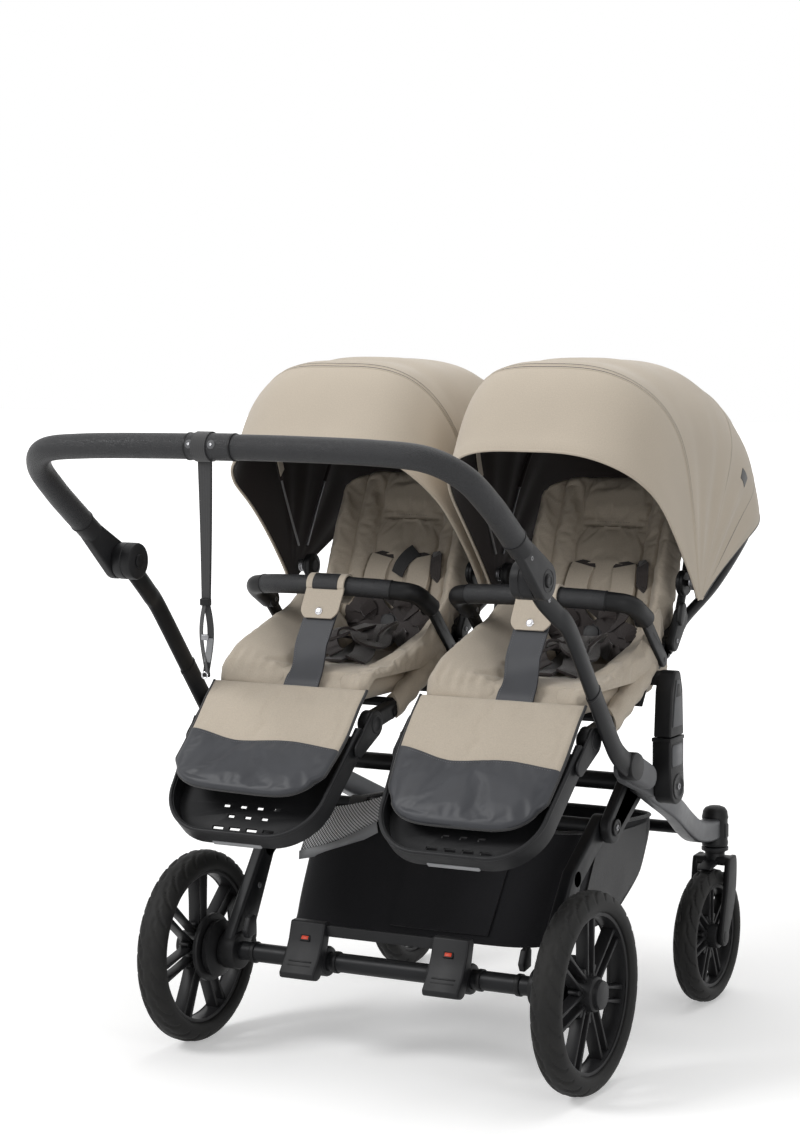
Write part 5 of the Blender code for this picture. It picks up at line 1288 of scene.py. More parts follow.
class STROLLER_OT_bumpers(bpy.types.Operator):
    """Gently bowed leatherette bumper bars with elbows, joints and side legs"""
    bl_idname = "stroller.bumpers"
    bl_label = "Bumper bars"

    def execute(self, context):
        for name, _, x in SEATS:
            body = f"bumper_{name}"
            half = [(0.1515, *BUMPER_ELBOW), (0.1512, 0.203, 0.6965), (0.15, 0.184, 0.707),
                (0.1435, 0.17, 0.7135), (0.13, 0.159, 0.7168), (0.0965, 0.15, 0.72), (0.035, 0.1445, 0.722)]
            path = [at(x + p.x, p.y, p.z) for p in catmull(both_halves(half, (0, 0.144, 0.7224)), 8)]
            low = min(range(len(path)), key=lambda i: abs(path[i].x - x - 0.118))
            high = min(range(len(path)), key=lambda i: abs(path[i].x - x + 0.118))
            settle(pipe(path[low:high + 1], 0.0155, 36), f"bumper_cover_{name}", "leather", body,
                [f"bumper_bar_{name}"])
            elbows = [pipe(path[:low + 1], 0.015, 32), pipe(path[high:], 0.015, 32)]
            for s in (-1, 1):
                leg = slab(belt(CLAMP, BUMPER_ELBOW, 0.0118, 0.0125, 18), x + s * 0.1464, x + s * 0.1542,
                    0.0028)
                boss = lathe([(0.0, 0.1375), (0.012, 0.1375), (0.0136, 0.139), (0.0136, 0.142),
                    (0.013, 0.1426), (0.0136, 0.1432), (0.0136, 0.156), (0.0122, 0.158), (0.0, 0.158)],
                    at(x, *BUMPER_ELBOW), (s, 0, 0), 44)
                stout = catmull([(0.1515, 0.22, 0.688), (0.153, 0.236, 0.672), (0.155, 0.252, 0.656),
                    (0.156, 0.266, 0.642)], 5)
                radii = [0.015 - 0.003 * k / (len(stout) - 1) for k in range(len(stout))]
                elbows.append(pipe([at(x + s * p.x, p.y, p.z) for p in stout], 0.015, 28, radii))
                elbows += [leg, boss]
            settle(join(*elbows), f"bumper_legs_{name}", "black", body)
            for index, label in ((low, "right"), (high, "left")):
                settle(ring_at(path, index, 0.0153, 0.0024), f"bumper_ring_{name}_{label}", "black", body)
            for label, s in SIDES:
                screw(f"bumper_screw_{name}_{label}", at(x + s * 0.1376, *BUMPER_ELBOW), (-s, 0, 0), 0.0042,
                    body)
                screw(f"bumper_screw_{name}_{label}_outer", at(x + s * 0.1579, *BUMPER_ELBOW), (s, 0, 0),
                    0.0042, body)
            line = surface_line(path[low + 1:high], 0.01555, 2.6)
            settle(stitches(line, 0.0004, 0.0028, 0.0016), f"bumper_stitch_{name}", "grey_thread", body)
        return {"FINISHED"}


def tray_outline(half, end_half, first, last, corner, steps=14):
    """Tapered U with round corners, from one side of its start to the other."""
    return [(half, first), *arc((end_half - corner, last - corner), corner, 0, pi / 2, steps),
        *arc((-end_half + corner, last - corner), corner, pi / 2, pi, steps), (-half, first)]


class STROLLER_OT_footrests(bpy.types.Operator):
    """Deep plastic footrest trays with slots, hinge ears and a pale front strip"""
    bl_idname = "stroller.footrests"
    bl_label = "Footrest trays"

    def execute(self, context):
        for name, _, x in SEATS:
            place = foot_place(x)
            body = f"footrest_{name}"
            tray = slab(tray_outline(0.1508, 0.1392, 0.028, 0.2358, 0.084), 0.0, 0.03, place=place)
            carve(tray, slab(tray_outline(0.1436, 0.1316, -0.02, 0.2285, 0.0765), 0.0042, 0.06, place=place))
            for v, count, long in ((0.21, 4, 0.0098), (0.188, 3, 0.006), (0.17, 4, 0.006)):
                for k in range(count):
                    u = (k - (count - 1) / 2) * 0.03
                    carve(tray, slab([(u - long, v - 0.003), (u + long, v - 0.003), (u + long, v + 0.003),
                        (u - long, v + 0.003)], -0.01, 0.02, place=place))
            soften(tray, 0.0018, 3, 40)
            lip = pipe([place @ Vector((u, v, 0.0296)) for u, v in tray_outline(0.1478, 0.136, 0.03, 0.2328,
                0.0812, 20)], 0.0034, 16)
            ears = []
            for s in (-1, 1):
                low = place @ Vector((0, 0.058, 0.015))
                ears.append(slab(belt(FOOT_HINGE, (low.y - AXLE_Y, low.z), 0.021, 0.0128, 20), x + s * 0.1499,
                    x + s * 0.1547, 0.0016))
                ears.append(puck(at(x, *FOOT_HINGE), (s, 0, 0), 0.015, 0.1535, 0.1557, 0.0008, 44, 0.0006))
            settle(join(tray, lip, *ears), f"footrest_{name}_tray", "dark", body, [f"footrest_tray_{name}"])
            settle(slab([(-0.046, 0.2325), (0.046, 0.2325), (0.042, 0.238), (-0.042, 0.238)], -0.001, 0.0068,
                0.0016, place=place), f"footrest_{name}_strip", "strip", body)
        return {"FINISHED"}


# Cloth helpers
def sheet_mesh(rows, name="sheet", closed_rows=False):
    """An open sheet through rows of places, with a UV map in metres along its rows and columns."""
    bm = bmesh.new()
    uv = bm.loops.layers.uv.new("UVMap")
    verts = [[bm.verts.new(p) for p in row] for row in rows]
    across = [[0.0] for _ in rows]
    for i, row in enumerate(rows):
        for k in range(1, len(row)):
            across[i].append(across[i][-1] + (row[k] - row[k - 1]).length)
        half = across[i][-1] / 2
        across[i] = [a - half for a in across[i]]
    along = [0.0]
    middle = len(rows[0]) // 2
    for i in range(1, len(rows)):
        along.append(along[-1] + (rows[i][middle] - rows[i - 1][middle]).length)
    for i in range(len(rows) - 1):
        count = len(rows[0])
        for k in range(count if closed_rows else count - 1):
            n = (k + 1) % count
            face = bm.faces.new((verts[i][k], verts[i][n], verts[i + 1][n], verts[i + 1][k]))
            values = ((across[i][k], along[i]), (across[i][n], along[i]), (across[i + 1][n], along[i + 1]),
                (across[i + 1][k], along[i + 1]))
            for loop, value in zip(face.loops, values):
                loop[uv].uv = value
    return from_bmesh(bm, name)


def pad_mesh(front, back, name="pad"):
    """A closed pad between a front and a back grid of the same size whose borders meet."""
    bm = bmesh.new()
    faces = []
    for rows, flip in ((front, False), (back, True)):
        verts = [[bm.verts.new(p) for p in row] for row in rows]
        for i in range(len(rows) - 1):
            for k in range(len(rows[0]) - 1):
                quad = [verts[i][k], verts[i][k + 1], verts[i + 1][k + 1], verts[i + 1][k]]
                faces.append(bm.faces.new(quad[::-1] if flip else quad))
    bmesh.ops.remove_doubles(bm, verts=bm.verts, dist=1e-6)
    bmesh.ops.recalc_face_normals(bm, faces=bm.faces)
    return from_bmesh(bm, name)


def fill_ends(obj, below=inf):
    """Closes the open ends of a shell below a height and turns its faces outwards."""
    bm = bmesh.new()
    bm.from_mesh(obj.data)
    bmesh.ops.remove_doubles(bm, verts=bm.verts, dist=1e-6)
    ends = [e for e in bm.edges if e.is_boundary and e.verts[0].co.z < below]
    bmesh.ops.holes_fill(bm, edges=ends, sides=0)
    bmesh.ops.recalc_face_normals(bm, faces=bm.faces)
    bm.to_mesh(obj.data)
    bm.free()
    return obj


def swell(*shares):
    """0 on the border of a pad, and 1 from a little inside it, with a round rise."""
    return sqrt(1 - (1 - max(min(1.0, *shares), 0.0)) ** 2)


def pad_between(columns, shares, layers):
    """A closed pad; layers(a, b) gives its front and its back, a across and b along."""
    pairs = [[layers(2 * k / columns - 1, b) for k in range(columns + 1)] for b in shares]
    return pad_mesh(*([[pair[i] for pair in row] for row in pairs] for i in (0, 1)))


def stuff(obj, held, pressure, grow, frames, cap):
    """Fills a closed pad with air in a cloth simulation; held vertices are its sewn seams."""
    before = [v.co.copy() for v in obj.data.vertices]
    obj.vertex_groups.new(name="sewn").add(held, 1.0, "REPLACE")
    pick(obj)
    made = obj.modifiers.new("stuffing", "CLOTH")
    cloth = made.settings
    for key, value in {"quality": 6, "mass": 0.25, "tension_stiffness": 18, "compression_stiffness": 12,
            "shear_stiffness": 6, "bending_stiffness": 0.35, "vertex_group_mass": "sewn",
            "use_pressure": True, "uniform_pressure_force": pressure, "shrink_min": -grow}.items():
        setattr(cloth, key, value)
    cloth.effector_weights.gravity = 0
    made.collision_settings.use_collision = False
    made.collision_settings.use_self_collision = False
    made.point_cache.frame_start = 1
    made.point_cache.frame_end = frames
    for number in range(1, frames + 1):
        bpy.context.scene.frame_set(number)
    bpy.ops.object.modifier_apply(modifier=made.name)
    bpy.context.scene.frame_set(1)
    for vertex, place in zip(obj.data.vertices, before):
        moved = vertex.co - place
        if moved.length > cap:
            vertex.co = place + moved.normalized() * cap
    obj.vertex_groups.clear()
    return obj


def smooth_step(value, low, high):
    t = min(max((value - low) / (high - low), 0.0), 1.0)
    return t * t * (3 - 2 * t)


def copy_to(obj, name, shift):
    """A copy with its own mesh, moved sideways."""
    made = link(name, obj.data.copy())
    made.data.transform(Matrix.Translation(shift))
    return made


# Canopies
CANOPY_RADII = ((141, 0.347), (139, 0.35), (117, 0.384), (103, 0.358), (88, 0.348), (70, 0.353), (50, 0.366),
    (34, 0.374), (17.5, 0.37))


def canopy_radius(angle):
    table = CANOPY_RADII
    angle = min(max(angle, table[-1][0]), table[0][0])
    for (a0, r0), (a1, r1) in zip(table, table[1:]):
        if a1 <= angle <= a0:
            return r0 + (r1 - r0) * smooth_step((a0 - angle) / (a0 - a1), 0.0, 1.0)
    return table[-1][1]


def canopy_point(x, side, turn, angle, inset=0.0):
    """A point of the hood: turn runs from its right foot over the top to its left foot."""
    c = cos(turn)
    s = max(sin(turn), 0.0)
    outer = side * c > 0
    half = (0.188 if outer else 0.178) - inset
    swell = exp(-((abs(c) - 0.8) / 0.26) ** 2) * smooth_step(s, 0.12, 0.5)
    if outer:
        half += (0.019 if side < 0 else 0.009) * swell
    reach = (canopy_radius(angle) - inset) * s ** (2 / 3.9)
    out = half * copysign(abs(c) ** (2 / 3.2), c)
    a = radians(angle)
    place = Vector((x + out, CANOPY_HINGE[0] + reach * cos(a), CANOPY_HINGE[1] + reach * sin(a)))
    pull = max(0.0, 1 - s / 0.34) ** 2
    foot = Vector((x + 0.99 * out, 0.3545 - 0.00012 * (angle - 80), 0.7005 + inset))
    place = place.lerp(foot, pull)
    fan = (1 - s) ** 1.6 * smooth_step(114 - angle, 0, 8) * smooth_step(s, 0.05, 0.25)
    fold = 0.0034 * sin(radians(angle) * 17.0 + 1.4 * sin(3 * turn)) * fan
    soft = 0.003 * noise.noise(Vector((6 * place.x, 5 * place.y, 6 * place.z)))
    soft += 0.005 * fan * noise.noise(Vector((angle / 9, 2.2 * turn, x)))
    away = Vector((0.75 * copysign(1, c) * abs(c), cos(a) * s, sin(a) * s))
    if away.length > 1e-6:
        place += away.normalized() * (fold + soft)
    return at(*place)


def seam_angle(turn):
    return 117 - 7.5 * cos(turn) ** 2


def hood_turns(count, lead=0.01):
    """Turns from one foot of the hood to the other, closer together near the feet."""
    span = pi - 2 * lead
    return [lead + span * (0.275 * (1 - cos(pi * k / count)) + 0.45 * k / count) for k in range(count + 1)]


def bend(obj, name, x):
    at(x, 0.786, 0.728)
    at(x, 0.196, 0.728)
    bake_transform(obj)


def hood(name, side, x):
    turns = hood_turns(110)
    angles = [140.6 - (140.6 - 17.5) * k / 84 for k in range(85)]
    rows = [[canopy_point(x, side, t, a) for t in turns] for a in angles]
    cloth = sheet_mesh(rows)
    apply(cloth, "SOLIDIFY", thickness=sizes().cloth_thickness, offset=-1.0)
    settle(cloth, f"canopy_cloth_{name}", "canopy", None, [f"canopy_{name}"], smooth=60)
    bend(cloth, name, x)
    inner_rows = [[canopy_point(x, side, t, a, 0.004) for t in turns[::2]] for a in angles[::2]]
    lining = sheet_mesh(inner_rows)
    apply(lining, "SOLIDIFY", thickness=0.0008, offset=-1.0)
    settle(lining, f"canopy_lining_{name}", "lining", None, smooth=60)
    bend(lining, name, x)
    # The thin dark webbing lines beside the visor pipings are painted shade: dark lines drawn in the seam's
    # valley and under the step behind it.
    for label, shift, radius, finish, inset in (("seam_front", 0.7, sizes().piping, "canopy", 0.0),
            ("seam_rear", -0.7, sizes().piping, "canopy", 0.0),
            ("shade_line_front", 0.3, 0.0014, "webbing", -0.0003),
            ("shade_line_rear", -1.15, 0.0014, "webbing", -0.0003)):
        line = [canopy_point(x, side, t, seam_angle(t) + shift, inset) for t in turns[2:-2]]
        trim(pipe(line, radius, 8), f"canopy_{label}_{name}", finish, name, x)
    # Among these, the thin dark webbing lines beside the mid seam and the zip are painted shade in their seam
    # valleys.
    for label, angle, radius, finish in (("brim", 140.7, 0.0021, "canopy"),
            ("mid_seam", 60.6, 0.0019, "canopy"), ("mid_shade_line", 59.7, 0.0013, "webbing"),
            ("zip", 31.0, 0.0016, "canopy"), ("zip_shade_line", 30.2, 0.0013, "webbing"),
            ("rear_edge", 17.5, 0.0018, "tape")):
        line = [canopy_point(x, side, t, angle) for t in turns[1:-1]]
        trim(pipe(line, radius, 8), f"canopy_{label}_{name}", finish, name, x)
    for label, shift in (("front", 1.75), ("rear", -1.75)):
        line = [canopy_point(x, side, t, seam_angle(t) + shift) for t in turns[4:-4]]
        trim(stitches(line, 0.0003, 0.0026, 0.0014), f"canopy_stitch_{label}_{name}", "seam",
            name, x)
    line = [canopy_point(x, side, t, 138.9) for t in turns[4:-4]]
    trim(stitches(line, 0.0003, 0.0026, 0.0014), f"canopy_stitch_brim_{name}", "seam", name, x)
    if side > 0:
        grid = [[canopy_point(x, side, 0.36 + 0.075 * k / 4, 40 + 6.5 * i / 6, -0.0014) for k in range(5)]
            for i in range(7)]
        tab = sheet_mesh(grid)
        apply(tab, "SOLIDIFY", thickness=0.0009, offset=0.0)
        trim(tab, f"canopy_tab_plain_{name}", "tape", name, x)
    for label, angle, ear in (("front", 117, 0.1655), ("mid", 62, 0.1698)):
        canopy_bow(name, x, label, angle, ear)


def trim(obj, label, finish, name, x):
    settle(obj, label, finish, None)
    bend(obj, name, x)
    return obj


def canopy_bow(name, x, label, angle, ear):
    """Wire bow in a sewn sleeve, with its eyes on the hinge pins."""
    radius = canopy_radius(angle) - 0.0044 - 0.0034
    half = ear + 0.002
    body = f"canopy_{label}_{name}"
    path = []
    for k in range(81):
        turn = 0.012 + (pi - 0.024) * k / 80
        c = cos(turn)
        reach = radius * sin(turn) ** (2 / 3.9)
        out = half * copysign(abs(c) ** (2 / 3.2), c)
        a = radians(angle)
        path.append(at(x + out, CANOPY_HINGE[0] + reach * cos(a), CANOPY_HINGE[1] + reach * sin(a)))
    rod = pipe(path, 0.0019, 12)
    eyes = [lathe([(0.0056, 0.0), (0.0105, 0.0), (0.011, 0.0006), (0.011, 0.0034), (0.0105, 0.004),
        (0.0056, 0.004)], at(x + s * ear, *CANOPY_HINGE), (s, 0, 0), 36) for s in (-1, 1)]
    settle(join(rod, *eyes), f"canopy_{label}_bow_{name}_rod", "steel", body, [f"canopy_{label}_bow_{name}"])
    middle = at(x, CANOPY_HINGE[0], 0.82)
    settle(pipe(path[5:-5], 0.0034, 12), f"canopy_{label}_sleeve_{name}", "lining", body)
    if label == "front":
        for part, first, last, width, finish in (("tape", 44, 75, 0.024, "liner"),
                ("tab", 58, 68, 0.026, "webbing")):
            lift = 0.0046 if part == "tape" else 0.0062
            run = path[first:last]
            inward = [(middle - p).normalized() for p in run]
            settle(ribbon([p + n * lift for p, n in zip(run, inward)], inward, width, 0.0012),
                f"canopy_{part}_{name}", finish, body)
        for k, index in enumerate((60, 65)):
            inward = (middle - path[index]).normalized()
            settle(puck(path[index], inward, 0.004, 0.0064, 0.0082, 0.0005, 20), f"canopy_snap_{name}_{k}",
                "chrome", body)


class STROLLER_OT_canopies(bpy.types.Operator):
    """Hoods as one curved sheet each, with visor, piped seams, pleats, lining and ribs"""
    bl_idname = "stroller.canopies"
    bl_label = "Canopies"

    def execute(self, context):
        for name, side, x in SEATS:
            hood(name, side, x)
        return {"FINISHED"}


# Seat liners
def liner_height(u, v):
    """Front face of the back liner: a flat panel between two sewn channels on each side."""
    a = abs(u)
    wing = 0.036 * smooth_step(a, 0.056, 0.1265) * (1 - 0.35 * smooth_step(v, 0.22, 0.33))
    if a < 0.06:
        puff = 0.007 * max(0.0, 1 - (a / 0.06) ** 4) ** 0.5
    elif a < 0.092:
        puff = 0.0125 * max(0.0, sin(pi * (a - 0.06) / 0.032)) ** 0.5
    else:
        puff = 0.013 * max(0.0, sin(pi * min((a - 0.092) / 0.042, 1.0))) ** 0.5
    pocket = 0.0052 * exp(-((v - 0.252) / 0.0036) ** 2) * smooth_step(0.056 - a, 0, 0.008)
    slots = 0.006 * exp(-((v - 0.176 - 0.1 * abs(a - 0.034)) / 0.004) ** 2)
    slots *= smooth_step(0.02 - abs(a - 0.034), 0, 0.006)
    return wing + puff - pocket - slots + 0.0013 * noise.noise(Vector((u * 21, v * 17, 3.1)))


def back_liner(x):
    place = back_place(x)

    def layers(a, b):
        u = 0.1265 * a
        top = 0.338 - 0.046 * abs(a) ** 5
        v = -0.012 + b * (top + 0.012)
        edge = swell((1 - abs(a)) / 0.1, b / 0.05, (1 - b) / 0.05)
        high = liner_height(u, v)
        low = -0.0265 + 0.45 * 0.032 * smooth_step(abs(u), 0.056, 0.1265)
        middle = 0.5 * (high + low)
        return [place @ Vector((u, v, middle + (w - middle) * edge)) for w in (high, low)]

    pad = pad_between(96, [i / 100 for i in range(101)], layers)
    back = place.inverted()
    held = []
    for vertex in pad.data.vertices:
        spot = back @ vertex.co
        a = abs(spot.x)
        seam = min(abs(a - 0.06), abs(a - 0.092)) < 0.0018
        pocket = a < 0.056 and abs(spot.y - 0.252) < 0.003
        flat = spot.z < liner_height(spot.x, spot.y) - 0.004 and a < 0.122
        buckle = a < 0.05 and spot.y < 0.125
        if seam or pocket or flat or buckle or spot.y < -0.004:
            held.append(vertex.index)
    return stuff(pad, held, 3.4, 0.05, 16, 0.007)


def seat_cushion(x):
    top = catmull([(0, y, z) for y, z in ((0.338, 0.5925), (0.3, 0.59), (0.23, 0.5885), (0.16, 0.59),
        (0.11, 0.5915), (0.08, 0.5905), (0.058, 0.5865), (0.044, 0.5795), (0.035, 0.569), (0.0325, 0.559))],
        8)
    last = len(top) - 1

    def layers(a, i):
        p = top[i]
        edge = swell((1 - abs(a)) / 0.09, i / last / 0.05, (1 - i / last) / 0.06)
        low = Vector((0, max(p.y, 0.04), 0.556))
        crown = 0.0025 * (1 - a ** 4) + 0.0012 * noise.noise(Vector((a * 3, p.y * 16, 8.0)))
        high = p + Vector((0, 0, crown))
        shift = Vector(((0.1175 + 0.0085 * smooth_step(0.27 - p.y, 0, 0.04)) * a, 0, 0))
        return [at(*(high.lerp(low, 0.5).lerp(layer, edge) + shift + Vector((x, 0, 0))))
            for layer in (high, low)]

    pad = pad_between(60, range(last + 1), layers)
    held = [v.index for v in pad.data.vertices if v.co.z < 0.564 or abs(v.co.x - x) > 0.1135
        or v.co.y > AXLE_Y + 0.33]
    return stuff(pad, held, 2.2, 0.035, 14, 0.005)


def bolster(x, s):
    """Puffy thigh cushion: a rim above the side tube that slopes down to the middle of the seat."""
    inner, crests = (0.018, (0.586, 0.609, 0.63, 0.648, 0.666, 0.682, 0.694, 0.702))
    if s > 0:
        inner, crests = (0.078, (0.58, 0.598, 0.604, 0.613, 0.632, 0.658, 0.682, 0.698))
    stations = ((0.035, 0.124, 0.016), (0.05, 0.136, 0.004), (0.085, 0.141, 0.0), (0.135, 0.143, 0.0),
        (0.195, 0.144, 0.005), (0.25, 0.144, 0.01), (0.295, 0.1435, 0.016), (0.332, 0.14, 0.022))
    rows_of = smooth_rows([(y, crest, far, inner + near) for (y, far, near), crest in zip(stations, crests)],
        11)
    rows = []
    upper = 40
    count = 56
    total = len(rows_of) - 1
    for i, (y, crest, far, near) in enumerate(rows_of):
        t = i / total
        ends = swell((t + 0.004) / 0.06, (1.006 - t) / 0.1)
        floor = 0.5905 - 0.034 * smooth_step(0.064 - y, 0.0, 0.036)
        row = []
        for k in range(count):
            across = cos(pi * k / upper) if k <= upper else 2 * (k - upper) / (count - upper) - 1
            spread = (across + 1) / 1.68
            if spread < 1:
                high = 0.55 * spread + 0.45 * sqrt(1 - (1 - spread) ** 2)
            else:
                high = sqrt(max(0.0, 1 - ((across - 0.68) / 0.32) ** 2))
            u = near + (far - near) * (across + 1) / 2
            tall = (crest - floor) * high * ends if k <= upper else 0.0
            pleat = 0.0024 * sin(TURN * u / 0.019) * smooth_step(0.085 - y, 0, 0.04)
            pleat += 0.0016 * noise.noise(Vector((u * 30, y * 22, 5.0)))
            lift = max(0.0, tall + pleat * high) if k <= upper else 0.0
            row.append(at(x + s * u, y, floor + lift))
        rows.append(row)
    pad = fill_ends(sheet_mesh(rows, "bolster", closed_rows=True))
    held = [v.index for i, v in enumerate(pad.data.vertices) if v.co.z < 0.5935 or i < count or i >= count
        * total]
    return stuff(pad, held, 3.4, 0.05, 16, 0.005)


def sleeve_on_tube(x, s):
    """Padded flap of the liner that is folded over the side tube."""
    path = catmull([(SIDE_TUBE, 0.122, 0.5402), (SIDE_TUBE, 0.17, 0.5614), (SIDE_TUBE, 0.215, 0.5813),
        (SIDE_TUBE, 0.262, 0.6021)], 10)
    rows = []
    for i, p in enumerate(path):
        t = i / (len(path) - 1)
        radius = 0.015 + 0.0035 * sin(pi * min(1.0, 0.16 + 0.84 * t)) ** 0.6
        row = []
        for k in range(32):
            angle = TURN * k / 32
            c = cos(angle)
            wave = 0.0012 * sin(26 * t + 2 * sin(angle))
            wave += 0.0014 * noise.noise(Vector((c * 2, sin(angle) * 2, t * 5)))
            hang = max(0.0, c) * (1 - t) ** 3
            row.append(at(x + s * (p.x + (radius + wave) * c), p.y - 0.014 * hang,
                p.z + (radius + wave) * sin(angle) - 0.008 * hang))
        rows.append(row)
    return fill_ends(sheet_mesh(rows, "sleeve", closed_rows=True))


MAT_ROWS = 66
MAT_COLUMNS = 72
MAT_BORDER_ROW = 26
MAT_START = -0.038


def mat_border(u):
    """Where the smooth cover starts on the foot mat."""
    return 0.078 - 0.015 * smooth_step(u, 0.03, 0.135) + 0.0035 * sin(u * 34)


def mat_point(a, b):
    """Middle layer of the foot mat: a runs across, b from the seat to the toes."""
    last = 0.187 - 0.03 * abs(a) ** 4.5
    border = mat_border(0.13 * a)
    share = MAT_BORDER_ROW / MAT_ROWS
    if b < share:
        v = MAT_START + (border - MAT_START) * b / share
    else:
        v = border + (last - border) * (b - share) / (1 - share)
    half = 0.1385 - 0.009 * smooth_step(v, 0.04, 0.18)
    u = half * a * (1 - 0.1 * smooth_step(b, 0.8, 1.0) * abs(a) ** 2)
    w = 0.0375 - 0.004 * smooth_step(v, 0.02, 0.2) - 0.003 * smooth_step(-v, 0, 0.036)
    return Vector((u, v, w))


def footrest_mat(x):
    place = foot_place(x)

    def layers(a, b):
        p = mat_point(a, b)
        edge = swell((1 - abs(a)) / 0.07, b / 0.04, (1 - b) / 0.06)
        crown = 0.0035 * (1 - abs(a) ** 3)
        crown += 0.002 * noise.noise(Vector((p.x * 14, p.y * 14, 1.7)))
        return (place @ (p + Vector((0, 0, (0.0045 + crown) * edge))),
            place @ (p - Vector((0, 0, 0.0045 * edge))))

    pad = pad_between(MAT_COLUMNS, [i / MAT_ROWS for i in range(MAT_ROWS + 1)], layers)
    back = place.inverted()
    held = []
    for vertex in pad.data.vertices:
        spot = back @ vertex.co
        seam = abs(spot.y - mat_border(spot.x)) < 0.0022
        rim_near = abs(spot.x) > 0.122 or spot.y > 0.176 or spot.y < MAT_START + 0.006
        if seam or rim_near or spot.z < 0.0335:
            held.append(vertex.index)
    return stuff(pad, held, 1.6, 0.012, 14, 0.0045)


def curled(obj, place):
    """Lifts the toe end of a foot mat off its tray, as on the left seat."""
    back = place.inverted()
    for vertex in obj.data.vertices:
        spot = back @ vertex.co
        lift = smooth_step(spot.y, 0.03, 0.2)
        spot.z += (0.024 + 0.05 * spot.x) * lift
        spot.y *= 1 - 0.06 * lift
        vertex.co = place @ spot
    return obj


def part_of_surface(obj, keep, lift, thickness, name):
    """A cover over part of a pad: the faces that keep accepts, lifted and given a thickness."""
    made = copy_to(obj, name, Vector())
    bm = bmesh.new()
    bm.from_mesh(made.data)
    bm.normal_update()
    bmesh.ops.delete(bm, geom=[f for f in bm.faces if not keep(f)], context="FACES")
    for vertex in bm.verts:
        vertex.co += vertex.normal * lift
    bm.to_mesh(made.data)
    bm.free()
    apply(made, "SOLIDIFY", thickness=thickness, offset=1.0)
    return made


def liner_trims(name, x):
    place = foot_place(x)
    mat = bpy.data.objects[f"foot_mat_{name}"]

    faces = MAT_ROWS * MAT_COLUMNS

    def covered(face):
        return face.index % faces // MAT_COLUMNS >= MAT_BORDER_ROW

    settle(part_of_surface(mat, covered, 0.0002, 0.0011, "cover"), f"foot_mat_cover_{name}", "vinyl",
        f"footrest_{name}", [f"footrest_mat_{name}"], smooth=70)
    rim_line = [mat_point(-1, k / 40) for k in range(41)]
    rim_line += [mat_point(-1 + k / 60, 1) for k in range(1, 120)]
    rim_line += [mat_point(1, 1 - k / 40) for k in range(41)]
    piping = pipe([place @ p for p in rim_line], 0.0024, 10)
    border = [mat.data.polygons[(MAT_BORDER_ROW + 1) * MAT_COLUMNS + k] for k in range(3, MAT_COLUMNS - 3)]
    line = [face.center + face.normal * 0.0015 for face in border]
    if name == "left":
        curled(piping, place)
    settle(piping, f"foot_mat_piping_{name}", "tape", f"footrest_{name}")
    settle(stitches(line, 0.0004, 0.0026, 0.0016), f"foot_mat_stitch_{name}", "grey_thread",
        f"footrest_{name}")
    back_at = back_place(x)
    line = [back_at @ Vector((-0.03 + 0.06 * k / 30, 0.256, liner_height(-0.03 + 0.06 * k / 30, 0.256)
        + 0.001)) for k in range(31)]
    settle(stitches(line, 0.0006, 0.003, 0.0016), f"pocket_stitch_{name}", "thread", f"backrest_{name}")
    for label, s in SIDES:
        shape = [(s * 0.012, 0.177), (s * 0.06, 0.18), (s * 0.06, 0.1835), (s * 0.04, 0.1895),
            (s * 0.014, 0.185)]
        settle(slab(shape, 0.01, 0.0128, 0.0012, 2, place=back_at), f"strap_slot_{name}_{label}", "webbing",
            f"backrest_{name}")


class STROLLER_OT_liners(bpy.types.Operator):
    """Padded liners: back with side channels, seat, thigh bolsters, tube sleeves and foot mat"""
    bl_idname = "stroller.liners"
    bl_label = "Seat liners"

    def execute(self, context):
        _, _, x = SEATS[0]
        shift = Vector((SEATS[1][2] - x, 0, 0))
        pads = [("back_liner", back_liner(x), "backrest", "back_pad", 0.6),
            ("seat_liner", seat_cushion(x), "seat", "seat_pad", 0.6),
            ("thigh_pad_left", bolster(x, -1), "seat", None, 0.8),
            ("thigh_pad_right", bolster(x, 1), "seat", None, 0.8),
            ("tube_sleeve_left", sleeve_on_tube(x, -1), "seat", None, 0.7),
            ("tube_sleeve_right", sleeve_on_tube(x, 1), "seat", None, 0.7),
            ("foot_mat", footrest_mat(x), "footrest", "footrest_mat", 0.5)]
        for label, pad, body, node, fill in pads:
            for name, _, seat_x in reversed(SEATS):
                made = pad if seat_x == x else copy_to(pad, label, shift)
                owner = [f"{node}_{name}"] if node else ()
                if label == "foot_mat" and name == "left":
                    curled(made, foot_place(seat_x))
                settle(made, f"{label}_{name}", "liner", f"{body}_{name}", owner, smooth=70)
        for name, _, seat_x in SEATS:
            liner_trims(name, seat_x)
        return {"FINISHED"}


# Harness and crotch straps
def band(name, place, points, width, thickness, finish, body, normal=(0, 0, 1), twist=0.0):
    path = catmull([Vector(p) for p in points], 8)
    normals = []
    for i in range(len(path)):
        lean = twist * i / (len(path) - 1)
        turned = Matrix.Rotation(lean, 3, "Y") @ Vector(normal)
        normals.append((place.to_3x3() @ turned).normalized())
    return settle(ribbon([place @ p for p in path], normals, width, thickness), name, finish, body)


